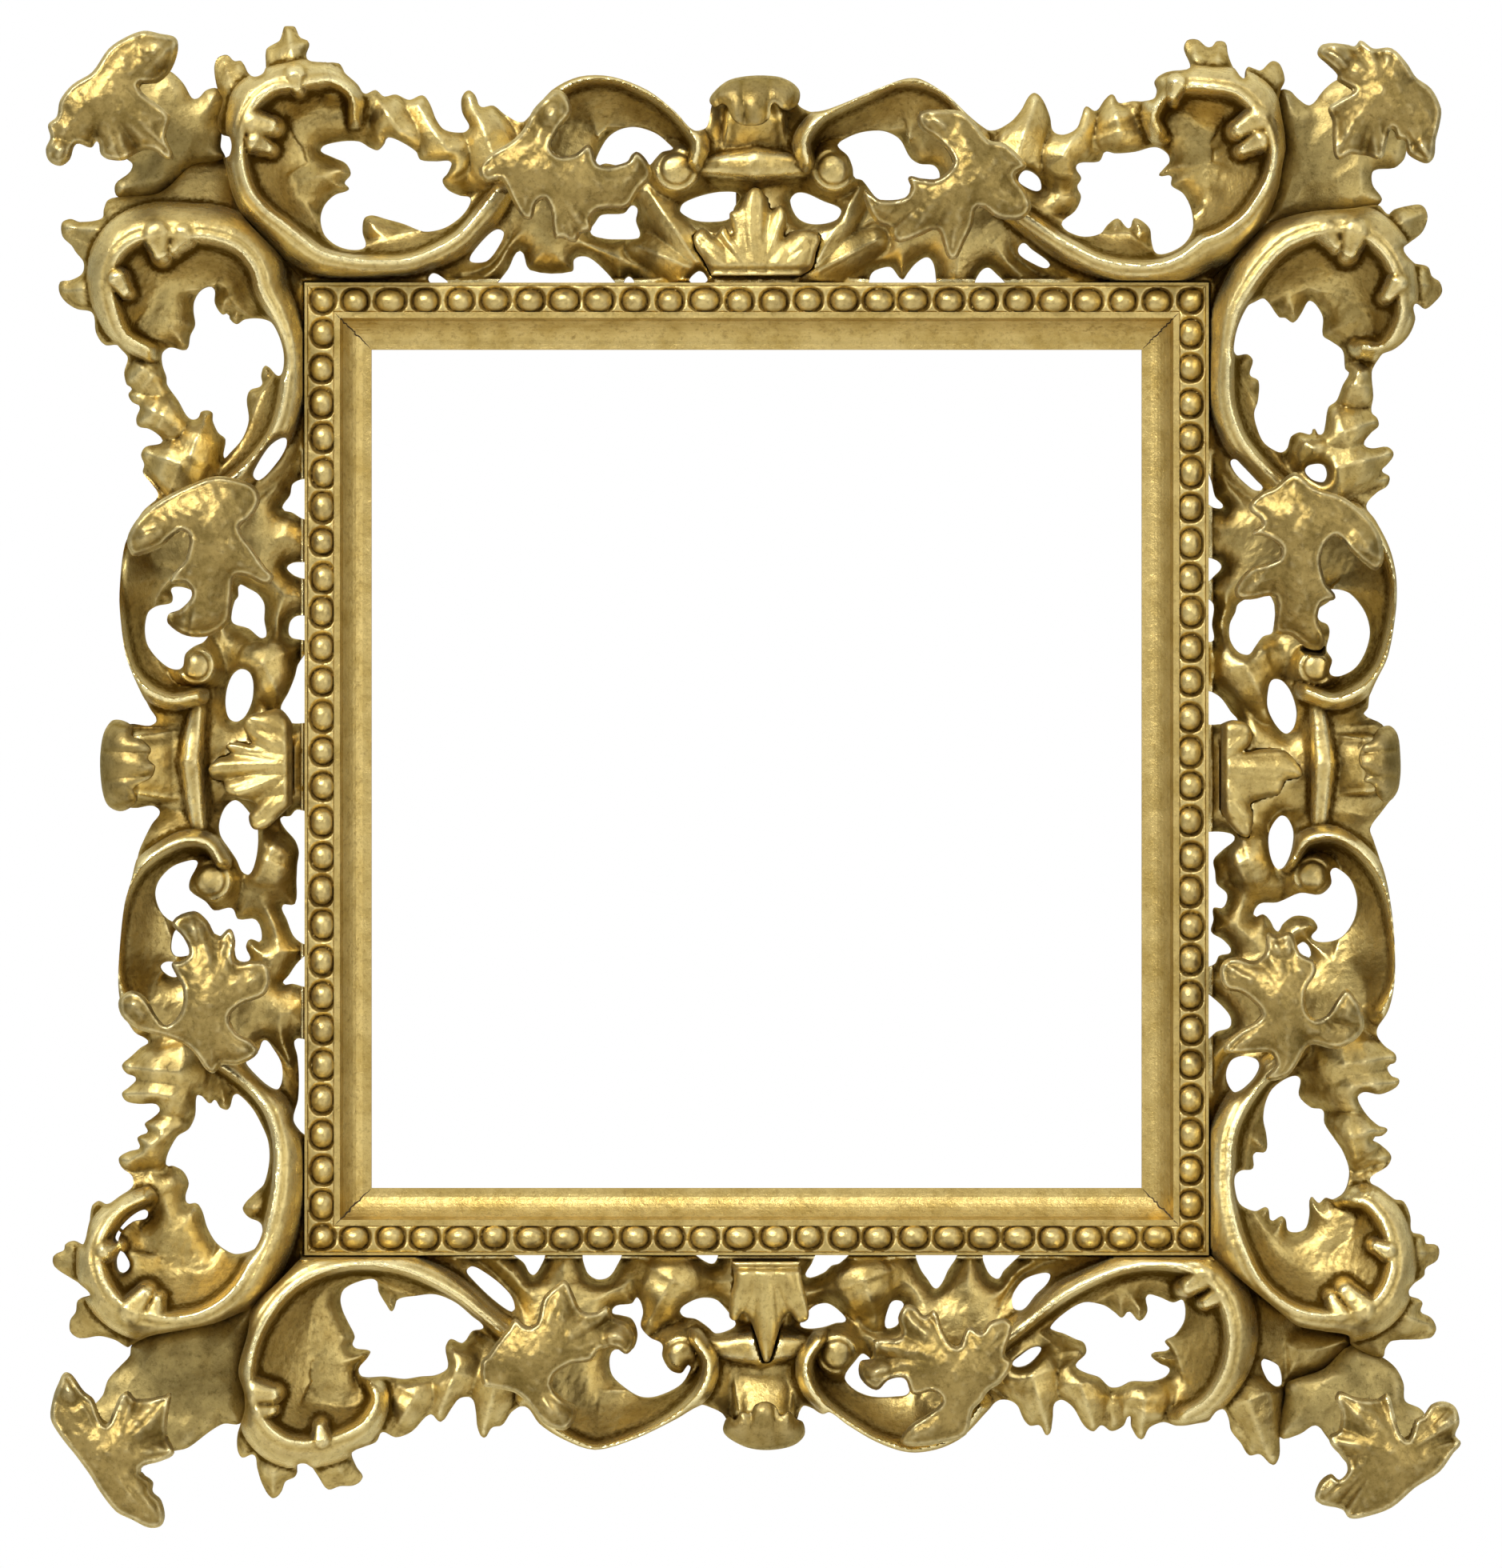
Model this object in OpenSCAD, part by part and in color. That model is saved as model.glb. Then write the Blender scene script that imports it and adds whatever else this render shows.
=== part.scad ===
// Carved and pierced gilt picture frame, seen from the front: X to the right, Z up, the wall behind at +Y.
// The frame hangs from the eye in its hanger plate, which is the origin.

/* [Moulding] */
// Width over the outer edges of the mitred inner moulding
moulding_w = 305; // [240:1:420]
// Height over the outer edges of the mitred inner moulding
moulding_h = 328; // [260:1:450]
// Width of the moulding's face, from its outer edge to the sight edge
moulding_face = 22.4; // [21:0.1:26]
// Height of the moulding's fillets above its back
moulding_t = 25; // [20:0.5:32]
// Depth of the rebate that takes the picture, from the back
rebate_depth = 11; // [6:0.5:14]
// Width of the rebate behind the sight edge
rebate_w = 5.4; // [3:0.2:7]
// Width of the hollow between the bead course and the sight edge
hollow_w = 8.6; // [6:0.2:10]

/* [Beading] */
// Distance between the beads
bead_pitch = 11.4; // [10:0.1:16]
// Diameter of a bead
bead_d = 8.2; // [6:0.1:9]
// Width of the strip that carries the beads
bead_strip_w = 9; // [7:0.1:10]
// Thickness of the strip that carries the beads
bead_strip_t = 1.6; // [1:0.1:3]

/* [Carving] */
// Reach of the carving outside the moulding
carving_w = 87; // [70:1:120]
// Height of the highest carving above the back
carving_h = 62; // [50:1:80]
// Thickness of the pierced boards
board_t = 12; // [10:0.5:16]
// Thickness of the blocks behind the corner leaves
block_t = 16; // [13:0.5:20]
// Thickness of the carved leaves
leaf_t = 5; // [3.5:0.1:7]
// Diameter of the stalk that holds a leaf to the wood behind it
stalk_d = 15; // [10:0.5:18]
// Gap left under a leaf, over the scrolls
leaf_gap = 0.6; // [0.4:0.1:1.5]
// Width of the flutes in the shells and palmettes
flute_w = 2.6; // [1.5:0.1:4]

/* [Mitre keys] */
// Length of the bow-tie key across each mitre
key_l = 12; // [8:0.5:12.5]
// Width of the key at its ends
key_w = 5; // [3:0.5:5.5]
// Thickness of the key
key_t = 3; // [2:0.5:5]

/* [Turn buttons] */
// Length of a turn button
button_l = 24; // [18:0.5:32]
// Width of a turn button
button_w = 8; // [6:0.5:11]
// Thickness of a turn button
button_t = 1.6; // [1.2:0.1:3]
// Diameter of the hole in a turn button
button_bore_d = 3.6; // [3:0.1:4.5]
// Running clearance round the screw, on the radius
button_clearance = 0.05; // [0.02:0.01:0.1]
// Gap between a button and the wood or the screw head
button_gap = 0.2; // [0.1:0.05:0.5]
// Depth of a button screw in the wood
button_screw_depth = 9; // [5:0.5:14]
// Diameter of a button screw's head
button_head_d = 6.6; // [5.5:0.1:8]
// Height of a button screw's head
button_head_t = 1.6; // [1:0.1:3]

/* [Hanger] */
// Length of the hanger plate
hanger_l = 42; // [34:1:60]
// Width of the hanger plate
hanger_w = 14; // [12:0.5:16]
// Thickness of the hanger plate
hanger_t = 1.6; // [1.2:0.1:3]
// Diameter of the eye that goes over the wall hook
eye_d = 8; // [6:0.5:9]
// Diameter of the recess in the wood behind the eye
recess_d = 11; // [9.5:0.5:12]
// Depth of the recess in the wood behind the eye
recess_depth = 7; // [4:0.5:8]
// Distance from the eye down from the top of the moulding's outer edge, upwards
hanger_rise = 38; // [30:1:50]
// Diameter of the hanger screws
hanger_screw_d = 3.5; // [3:0.1:4]
// Depth of the hanger screws in the wood
hanger_screw_depth = 8; // [5:0.5:9]
// Diameter of a hanger screw's head
hanger_head_d = 6.6; // [5.5:0.1:8]
// Height of a hanger screw's head
hanger_head_t = 1.6; // [1:0.1:3]

/* [Hidden] */
// Drawing grid: the moulding's outer edges and centre, in grid units, and the grid's reach in the two widths
grid_centre_px = [946, 961];
grid_half_px = [564, 607];
grid_carving_px = 322;
grid_relief_px = 230;

// Outer outlines of the pierced boards
top_board_px = [[396, 368], [382, 354], [350, 318], [322, 290], [303, 268], [292, 243], [285, 215], [280, 197],
    [288, 198], [292, 184], [287, 170], [276, 166], [272, 150], [276, 138], [279, 124], [272, 110], [268, 85],
    [272, 72], [284, 68], [293, 76], [302, 76], [310, 90], [320, 98], [332, 92], [333, 62], [342, 55], [350, 50],
    [355, 33], [361, 29], [369, 33], [375, 46], [386, 52], [382, 68], [390, 78], [424, 79], [432, 92], [448, 106],
    [456, 117], [470, 112], [480, 120], [495, 117], [512, 124], [528, 118], [537, 128], [545, 148], [556, 162],
    [580, 165], [587, 158], [578, 140], [577, 122], [585, 112], [594, 118], [601, 133], [617, 131], [632, 143],
    [655, 152], [690, 115], [725, 98], [765, 98], [810, 115], [845, 142], [868, 165], [884, 158], [890, 130],
    [900, 112], [945, 104], [988, 112], [1000, 133], [1022, 141], [1050, 133], [1100, 112], [1130, 101],
    [1150, 101], [1185, 122], [1215, 150], [1238, 163], [1262, 153], [1276, 138], [1286, 120], [1294, 115],
    [1304, 124], [1313, 145], [1317, 164], [1330, 168], [1346, 160], [1353, 143], [1358, 132], [1370, 138],
    [1381, 124], [1391, 117], [1399, 128], [1416, 126], [1440, 126], [1447, 112], [1444, 100], [1458, 91],
    [1488, 85], [1481, 60], [1484, 50], [1497, 49], [1508, 58], [1515, 58], [1521, 51], [1532, 53], [1535, 68],
    [1542, 86], [1554, 101], [1559, 84], [1568, 86], [1576, 88], [1590, 76], [1600, 80], [1606, 100], [1601, 112],
    [1598, 130], [1601, 150], [1604, 165], [1607, 185], [1602, 205], [1597, 235], [1588, 262], [1575, 287],
    [1545, 318], [1510, 354], [1496, 368]];
left_board_px = [[396, 368], [382, 354], [350, 318], [322, 290], [303, 268], [292, 243], [285, 215], [280, 197],
    [240, 206], [200, 241], [148, 246], [135, 250], [130, 262], [128, 273], [100, 277], [88, 273], [77, 278],
    [78, 295], [90, 307], [95, 315], [105, 328], [103, 342], [88, 350], [75, 352], [74, 365], [82, 377], [95, 385],
    [112, 388], [118, 395], [120, 415], [130, 430], [145, 430], [152, 437], [160, 447], [155, 465], [158, 480],
    [165, 485], [160, 492], [165, 502], [175, 508], [170, 522], [172, 532], [185, 535], [200, 545], [203, 553],
    [182, 558], [176, 568], [180, 580], [178, 590], [190, 605], [198, 620], [180, 640], [158, 680], [152, 720],
    [152, 760], [160, 820], [178, 865], [188, 886], [196, 900], [187, 907], [160, 905], [142, 920], [136, 960],
    [142, 1000], [165, 1010], [190, 1007], [200, 1015], [190, 1030], [180, 1050], [174, 1065], [168, 1095],
    [158, 1130], [152, 1180], [150, 1230], [155, 1265], [168, 1290], [185, 1302], [175, 1310], [162, 1322],
    [152, 1332], [158, 1342], [170, 1348], [160, 1360], [152, 1367], [158, 1377], [175, 1380], [195, 1380],
    [200, 1388], [190, 1398], [181, 1405], [185, 1415], [172, 1422], [175, 1435], [160, 1440], [148, 1448],
    [152, 1460], [165, 1470], [166, 1483], [150, 1495], [133, 1506], [122, 1502], [115, 1508], [112, 1530],
    [105, 1556], [92, 1552], [82, 1555], [80, 1563], [67, 1570], [68, 1583], [90, 1598], [110, 1610], [115, 1618],
    [98, 1625], [95, 1640], [88, 1650], [88, 1665], [100, 1673], [125, 1670], [145, 1675], [160, 1684], [165, 1681],
    [190, 1668], [230, 1660], [270, 1652], [300, 1640], [318, 1632], [350, 1600], [382, 1567], [396, 1553]];
right_board_px = [[1496, 368], [1510, 354], [1545, 318], [1575, 287], [1600, 275], [1640, 266], [1690, 262],
    [1722, 256], [1735, 268], [1742, 262], [1760, 257], [1778, 256], [1785, 270], [1778, 290], [1762, 303],
    [1752, 313], [1765, 328], [1785, 333], [1790, 345], [1800, 352], [1803, 365], [1793, 378], [1783, 385],
    [1772, 378], [1765, 385], [1768, 400], [1760, 420], [1745, 435], [1728, 442], [1722, 450], [1715, 465],
    [1717, 495], [1715, 515], [1722, 522], [1724, 532], [1715, 540], [1705, 555], [1715, 560], [1735, 558],
    [1743, 567], [1735, 580], [1728, 588], [1738, 595], [1735, 607], [1722, 615], [1708, 632], [1718, 650],
    [1735, 685], [1743, 720], [1743, 760], [1733, 820], [1718, 852], [1712, 868], [1710, 885], [1705, 893],
    [1728, 905], [1745, 930], [1748, 960], [1745, 990], [1730, 1012], [1713, 1035], [1717, 1050], [1725, 1075],
    [1733, 1110], [1740, 1160], [1742, 1220], [1735, 1260], [1722, 1285], [1722, 1295], [1732, 1308],
    [1745, 1318], [1745, 1328], [1735, 1333], [1740, 1345], [1750, 1350], [1745, 1360], [1725, 1368],
    [1705, 1365], [1697, 1372], [1710, 1395], [1725, 1408], [1735, 1412], [1728, 1420], [1715, 1423],
    [1725, 1430], [1740, 1445], [1735, 1458], [1715, 1470], [1713, 1478], [1725, 1485], [1745, 1500],
    [1755, 1502], [1763, 1520], [1765, 1540], [1780, 1545], [1783, 1555], [1798, 1558], [1797, 1575],
    [1782, 1585], [1780, 1595], [1760, 1610], [1762, 1620], [1778, 1627], [1776, 1640], [1790, 1648],
    [1796, 1662], [1788, 1673], [1740, 1676], [1732, 1685], [1728, 1697], [1690, 1682], [1685, 1668],
    [1655, 1662], [1620, 1655], [1600, 1640], [1570, 1615], [1510, 1567], [1496, 1553]];
bottom_board_px = [[396, 1554], [382, 1567], [350, 1600], [318, 1632], [312, 1665], [302, 1700], [300, 1715],
    [308, 1738], [308, 1762], [298, 1790], [297, 1810], [303, 1822], [318, 1818], [322, 1835], [328, 1855],
    [340, 1873], [350, 1868], [357, 1852], [370, 1845], [372, 1830], [385, 1828], [398, 1845], [410, 1862],
    [425, 1858], [443, 1857], [453, 1848], [445, 1835], [440, 1815], [470, 1803], [478, 1790], [495, 1797],
    [515, 1790], [538, 1768], [551, 1778], [565, 1760], [575, 1748], [590, 1748], [595, 1765], [597, 1785],
    [605, 1798], [615, 1785], [628, 1782], [640, 1765], [658, 1757], [675, 1778], [705, 1797], [745, 1810],
    [795, 1796], [845, 1772], [875, 1756], [890, 1760], [904, 1768], [918, 1790], [955, 1804], [990, 1790],
    [1003, 1758], [1015, 1760], [1027, 1767], [1037, 1763], [1058, 1778], [1095, 1800], [1135, 1814],
    [1170, 1810], [1198, 1798], [1215, 1783], [1235, 1762], [1250, 1750], [1270, 1755], [1280, 1775],
    [1288, 1783], [1300, 1782], [1310, 1795], [1316, 1775], [1318, 1755], [1328, 1750], [1342, 1760],
    [1355, 1782], [1367, 1790], [1377, 1782], [1390, 1790], [1405, 1783], [1412, 1770], [1415, 1785],
    [1427, 1800], [1437, 1785], [1455, 1778], [1470, 1782], [1505, 1778], [1512, 1775], [1520, 1763],
    [1530, 1762], [1537, 1775], [1540, 1790], [1552, 1805], [1562, 1820], [1575, 1818], [1592, 1832],
    [1600, 1820], [1600, 1797], [1603, 1765], [1607, 1745], [1607, 1735], [1612, 1727], [1655, 1712],
    [1690, 1682], [1685, 1668], [1655, 1662], [1620, 1655], [1600, 1640], [1570, 1615], [1510, 1567],
    [1496, 1554]];
// Outer outlines of the blocks glued on behind the corner leaves
corner_blocks_px = [
    [[148, 246], [200, 241], [240, 206], [280, 197], [275, 182], [276, 166], [272, 150], [276, 138], [279, 124],
        [272, 110], [258, 112], [248, 122], [240, 122], [228, 102], [212, 88], [180, 80], [140, 95], [105, 120],
        [105, 150], [135, 185], [165, 203], [162, 215], [144, 230]],
    [[1601, 112], [1598, 130], [1601, 150], [1604, 165], [1607, 185], [1602, 205], [1597, 235], [1588, 262],
        [1575, 287], [1600, 275], [1640, 266], [1690, 262], [1722, 256], [1728, 248], [1716, 230], [1718, 212],
        [1745, 208], [1757, 195], [1760, 150], [1740, 110], [1700, 90], [1670, 100], [1655, 112], [1638, 131],
        [1622, 122], [1613, 113]],
    [[1600, 1797], [1603, 1765], [1607, 1745], [1607, 1735], [1612, 1727], [1655, 1712], [1690, 1682],
        [1728, 1697], [1745, 1710], [1755, 1730], [1757, 1752], [1780, 1765], [1785, 1800], [1760, 1832],
        [1720, 1845], [1690, 1835], [1670, 1812], [1660, 1798], [1645, 1782], [1625, 1793]],
    [[165, 1681], [190, 1668], [230, 1660], [270, 1652], [300, 1640], [318, 1632], [312, 1665], [302, 1700],
        [300, 1715], [308, 1738], [308, 1762], [300, 1780], [280, 1780], [262, 1790], [235, 1810], [215, 1815],
        [185, 1828], [150, 1825], [118, 1800], [108, 1770], [128, 1745], [135, 1725], [150, 1708], [162, 1695]]];
// Holes pierced through the boards
top_holes_px = [
    [[400, 185], [420, 176], [448, 175], [462, 183], [472, 186], [480, 178], [484, 170], [500, 175], [520, 188],
        [525, 198], [545, 200], [564, 201], [560, 216], [553, 225], [560, 236], [575, 243], [588, 246], [586, 258],
        [575, 272], [555, 285], [530, 289], [505, 279], [480, 272], [465, 268], [455, 272], [453, 290], [457, 308],
        [440, 312], [420, 306], [405, 292], [400, 272], [405, 255], [418, 242], [436, 235], [430, 227], [438, 216],
        [432, 203], [415, 195]],
    [[587, 325], [590, 315], [610, 292], [622, 285], [630, 290], [625, 305], [610, 325], [595, 328]],
    [[535, 347], [541, 340], [552, 345], [560, 354], [540, 354]],
    [[618, 357], [635, 335], [650, 312], [662, 336], [715, 338], [718, 322], [735, 320], [757, 338], [773, 357]],
    [[780, 357], [786, 344], [793, 357]],
    [[745, 205], [748, 190], [760, 170], [775, 160], [795, 157], [820, 165], [838, 180], [842, 186], [828, 190],
        [818, 200], [812, 206], [800, 195], [792, 190], [785, 200], [778, 206], [757, 203]],
    [[738, 290], [745, 275], [752, 267], [780, 265], [790, 255], [797, 260], [795, 275], [800, 290], [798, 297],
        [775, 298], [755, 297]],
    [[850, 262], [855, 252], [880, 242], [905, 238], [925, 242], [918, 258], [912, 272], [895, 276], [870, 275],
        [855, 268]],
    [[862, 352], [872, 338], [880, 340], [884, 352]],
    [[988, 250], [995, 240], [1008, 240], [1030, 250], [1048, 257], [1052, 263], [1045, 275], [1020, 280],
        [998, 272]],
    [[1047, 181], [1060, 170], [1080, 163], [1105, 162], [1125, 172], [1138, 195], [1150, 203], [1168, 205],
        [1175, 215], [1172, 226], [1142, 226], [1137, 240], [1135, 250], [1120, 255], [1100, 250], [1090, 240],
        [1078, 225], [1068, 222], [1066, 210], [1060, 195]],
    [[1086, 357], [1090, 340], [1105, 333], [1115, 333], [1128, 348], [1135, 340], [1145, 328], [1160, 320],
        [1168, 330], [1171, 357]],
    [[1220, 357], [1225, 340], [1235, 333], [1245, 340], [1257, 357]],
    [[1273, 310], [1280, 302], [1290, 310], [1313, 328], [1308, 335], [1290, 328], [1275, 318]],
    [[1273, 225], [1280, 212], [1290, 213], [1300, 222], [1302, 235], [1295, 238], [1280, 232]],
    [[1327, 280], [1345, 262], [1352, 245], [1347, 232], [1352, 222], [1345, 210], [1350, 202], [1375, 200],
        [1382, 188], [1395, 190], [1420, 188], [1445, 182], [1460, 190], [1463, 200], [1455, 210], [1450, 218],
        [1465, 218], [1465, 230], [1480, 240], [1490, 260], [1492, 285], [1480, 305], [1460, 316], [1445, 316],
        [1440, 300], [1438, 285], [1428, 275], [1418, 272], [1412, 285], [1398, 272], [1385, 280], [1375, 292],
        [1350, 295]]];
left_holes_px = [
    [[242, 375], [250, 362], [262, 357], [268, 362], [268, 378], [277, 392], [285, 390], [287, 398], [295, 404],
        [305, 398], [325, 397], [340, 403], [352, 425], [357, 450], [350, 470], [332, 456], [326, 468], [327, 481],
        [312, 487], [308, 500], [311, 525], [303, 548], [288, 565], [279, 572], [281, 548], [272, 540], [265, 525],
        [264, 514], [252, 514], [248, 522], [240, 524], [232, 518], [222, 500], [208, 480], [207, 470], [202, 455],
        [202, 440], [212, 433], [232, 436], [237, 418], [243, 405], [241, 388]],
    [[316, 595], [318, 585], [335, 558], [350, 547], [359, 548], [358, 560], [345, 580], [325, 600]],
    [[385, 600], [366, 603], [362, 618], [352, 635], [365, 640], [378, 648], [385, 648]],
    [[358, 708], [365, 703], [375, 702], [385, 704], [385, 722], [370, 720], [360, 713]],
    [[385, 772], [372, 769], [363, 775], [360, 788], [363, 796], [375, 799], [385, 799]],
    [[385, 812], [372, 830], [368, 845], [360, 865], [350, 885], [357, 892], [362, 903], [385, 903]],
    [[297, 733], [300, 730], [310, 735], [322, 742], [330, 755], [330, 775], [333, 795], [325, 797], [310, 785],
        [290, 778], [289, 765], [293, 750], [297, 745]],
    [[213, 735], [225, 733], [238, 737], [250, 745], [262, 770], [262, 790], [255, 802], [243, 808], [232, 818],
        [228, 835], [212, 835], [195, 822], [183, 805], [180, 785], [184, 765], [195, 757], [213, 753], [215, 745]],
    [[300, 836], [312, 840], [317, 855], [315, 875], [306, 895], [295, 902], [285, 897], [281, 880], [283, 860],
        [290, 843]],
    [[293, 1000], [305, 1008], [320, 1030], [323, 1050], [320, 1075], [312, 1093], [302, 1090], [295, 1075],
        [285, 1060], [275, 1045], [273, 1030], [280, 1010]],
    [[385, 1015], [370, 1012], [362, 1020], [350, 1022], [355, 1035], [368, 1050], [373, 1065], [371, 1080],
        [370, 1100], [368, 1130], [352, 1132], [358, 1150], [366, 1170], [378, 1180], [385, 1180]],
    [[385, 1195], [372, 1203], [360, 1220], [353, 1230], [365, 1230], [385, 1232]],
    [[240, 1075], [248, 1078], [238, 1100], [238, 1113], [258, 1127], [268, 1138], [290, 1135], [297, 1149],
        [320, 1150], [326, 1177], [312, 1174], [307, 1184], [312, 1200], [296, 1200], [290, 1180], [262, 1165],
        [225, 1150], [214, 1152], [200, 1140], [193, 1118], [198, 1100], [215, 1083]],
    [[218, 1163], [226, 1163], [235, 1178], [240, 1190], [232, 1195], [218, 1195], [213, 1185]],
    [[200, 1207], [218, 1203], [222, 1220], [210, 1220]],
    [[330, 1300], [342, 1312], [352, 1330], [353, 1350], [347, 1362], [335, 1358], [320, 1345], [307, 1330],
        [308, 1325], [322, 1315]],
    [[385, 1300], [368, 1300], [371, 1320], [373, 1345], [372, 1375], [366, 1400], [375, 1415], [385, 1422]],
    [[245, 1370], [252, 1370], [262, 1380], [268, 1375], [275, 1385], [285, 1387], [291, 1370], [298, 1368],
        [315, 1385], [325, 1402], [335, 1425], [337, 1450], [330, 1480], [318, 1492], [303, 1510], [310, 1522],
        [325, 1528], [330, 1538], [320, 1560], [305, 1567], [290, 1568], [270, 1555], [258, 1535], [252, 1515],
        [245, 1505], [233, 1505], [231, 1495], [235, 1480], [228, 1465], [215, 1458], [207, 1458], [208, 1445],
        [215, 1430], [222, 1420], [235, 1412], [243, 1395]],
    [[183, 1512], [165, 1520], [150, 1535], [143, 1550], [152, 1556], [145, 1575], [150, 1592], [163, 1582],
        [153, 1560], [151, 1542], [165, 1528], [183, 1523]]];
right_holes_px = [
    [[1582, 372], [1600, 395], [1608, 396], [1618, 402], [1628, 390], [1637, 375], [1645, 378], [1655, 395],
        [1655, 418], [1665, 425], [1680, 437], [1683, 460], [1688, 465], [1680, 480], [1672, 500], [1662, 508],
        [1658, 530], [1655, 541], [1648, 543], [1643, 535], [1640, 543], [1625, 540], [1615, 545], [1610, 560],
        [1600, 565], [1580, 553], [1570, 530], [1568, 515], [1573, 500], [1574, 475], [1563, 468], [1567, 450],
        [1560, 442], [1543, 443], [1542, 425], [1548, 405], [1560, 382], [1570, 376]],
    [[1632, 585], [1640, 580], [1655, 580], [1660, 592], [1655, 602], [1642, 600], [1633, 592]],
    [[1538, 577], [1545, 573], [1553, 580], [1572, 600], [1580, 610], [1570, 613], [1558, 605], [1545, 592]],
    [[1507, 585], [1515, 600], [1520, 620], [1530, 633], [1515, 633], [1507, 625]],
    [[1507, 698], [1522, 700], [1528, 708], [1520, 718], [1507, 727]],
    [[1507, 748], [1518, 755], [1516, 780], [1518, 800], [1507, 800]],
    [[1548, 755], [1560, 748], [1590, 745], [1592, 790], [1580, 795], [1570, 808], [1562, 818], [1548, 815],
        [1538, 800], [1538, 780], [1545, 765]],
    [[1655, 740], [1672, 736], [1690, 742], [1708, 765], [1714, 790], [1708, 815], [1695, 835], [1675, 845],
        [1662, 842], [1665, 825], [1658, 812], [1663, 790], [1660, 780], [1650, 775], [1648, 762], [1665, 748]],
    [[1590, 850], [1603, 850], [1615, 865], [1622, 890], [1618, 910], [1608, 917], [1595, 905], [1585, 885],
        [1585, 865]],
    [[1507, 865], [1525, 870], [1540, 890], [1548, 902], [1525, 905], [1507, 903]],
    [[1600, 1020], [1610, 1022], [1618, 1040], [1615, 1065], [1605, 1085], [1595, 1085], [1587, 1065],
        [1587, 1040]],
    [[1507, 1040], [1530, 1040], [1545, 1047], [1530, 1062], [1518, 1075], [1520, 1090], [1522, 1105],
        [1535, 1118], [1530, 1135], [1518, 1135], [1518, 1150], [1515, 1165], [1530, 1175], [1540, 1190],
        [1525, 1195], [1520, 1205], [1507, 1210]],
    [[1663, 1088], [1672, 1085], [1690, 1100], [1698, 1125], [1694, 1150], [1678, 1172], [1655, 1178],
        [1640, 1172], [1648, 1160], [1640, 1148], [1620, 1145], [1605, 1155], [1598, 1165], [1588, 1150],
        [1580, 1143], [1568, 1146], [1575, 1130], [1598, 1128], [1625, 1116], [1650, 1118], [1664, 1105]],
    [[1620, 1185], [1632, 1178], [1640, 1195], [1628, 1198], [1620, 1195]],
    [[1507, 1243], [1520, 1250], [1535, 1265], [1540, 1275], [1538, 1285], [1522, 1290], [1507, 1300]],
    [[1540, 1325], [1555, 1320], [1572, 1325], [1575, 1335], [1565, 1352], [1545, 1366], [1535, 1355],
        [1533, 1340]],
    [[1620, 1345], [1627, 1350], [1625, 1370], [1640, 1385], [1655, 1388], [1657, 1405], [1670, 1425],
        [1680, 1440], [1688, 1465], [1682, 1490], [1668, 1500], [1658, 1498], [1650, 1505], [1640, 1497],
        [1638, 1520], [1632, 1538], [1612, 1540], [1608, 1525], [1603, 1521], [1590, 1527], [1585, 1510],
        [1570, 1515], [1550, 1505], [1543, 1485], [1543, 1470], [1552, 1463], [1567, 1461], [1568, 1442],
        [1583, 1440], [1584, 1420], [1580, 1400], [1582, 1380], [1590, 1362], [1605, 1350]]];
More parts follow.
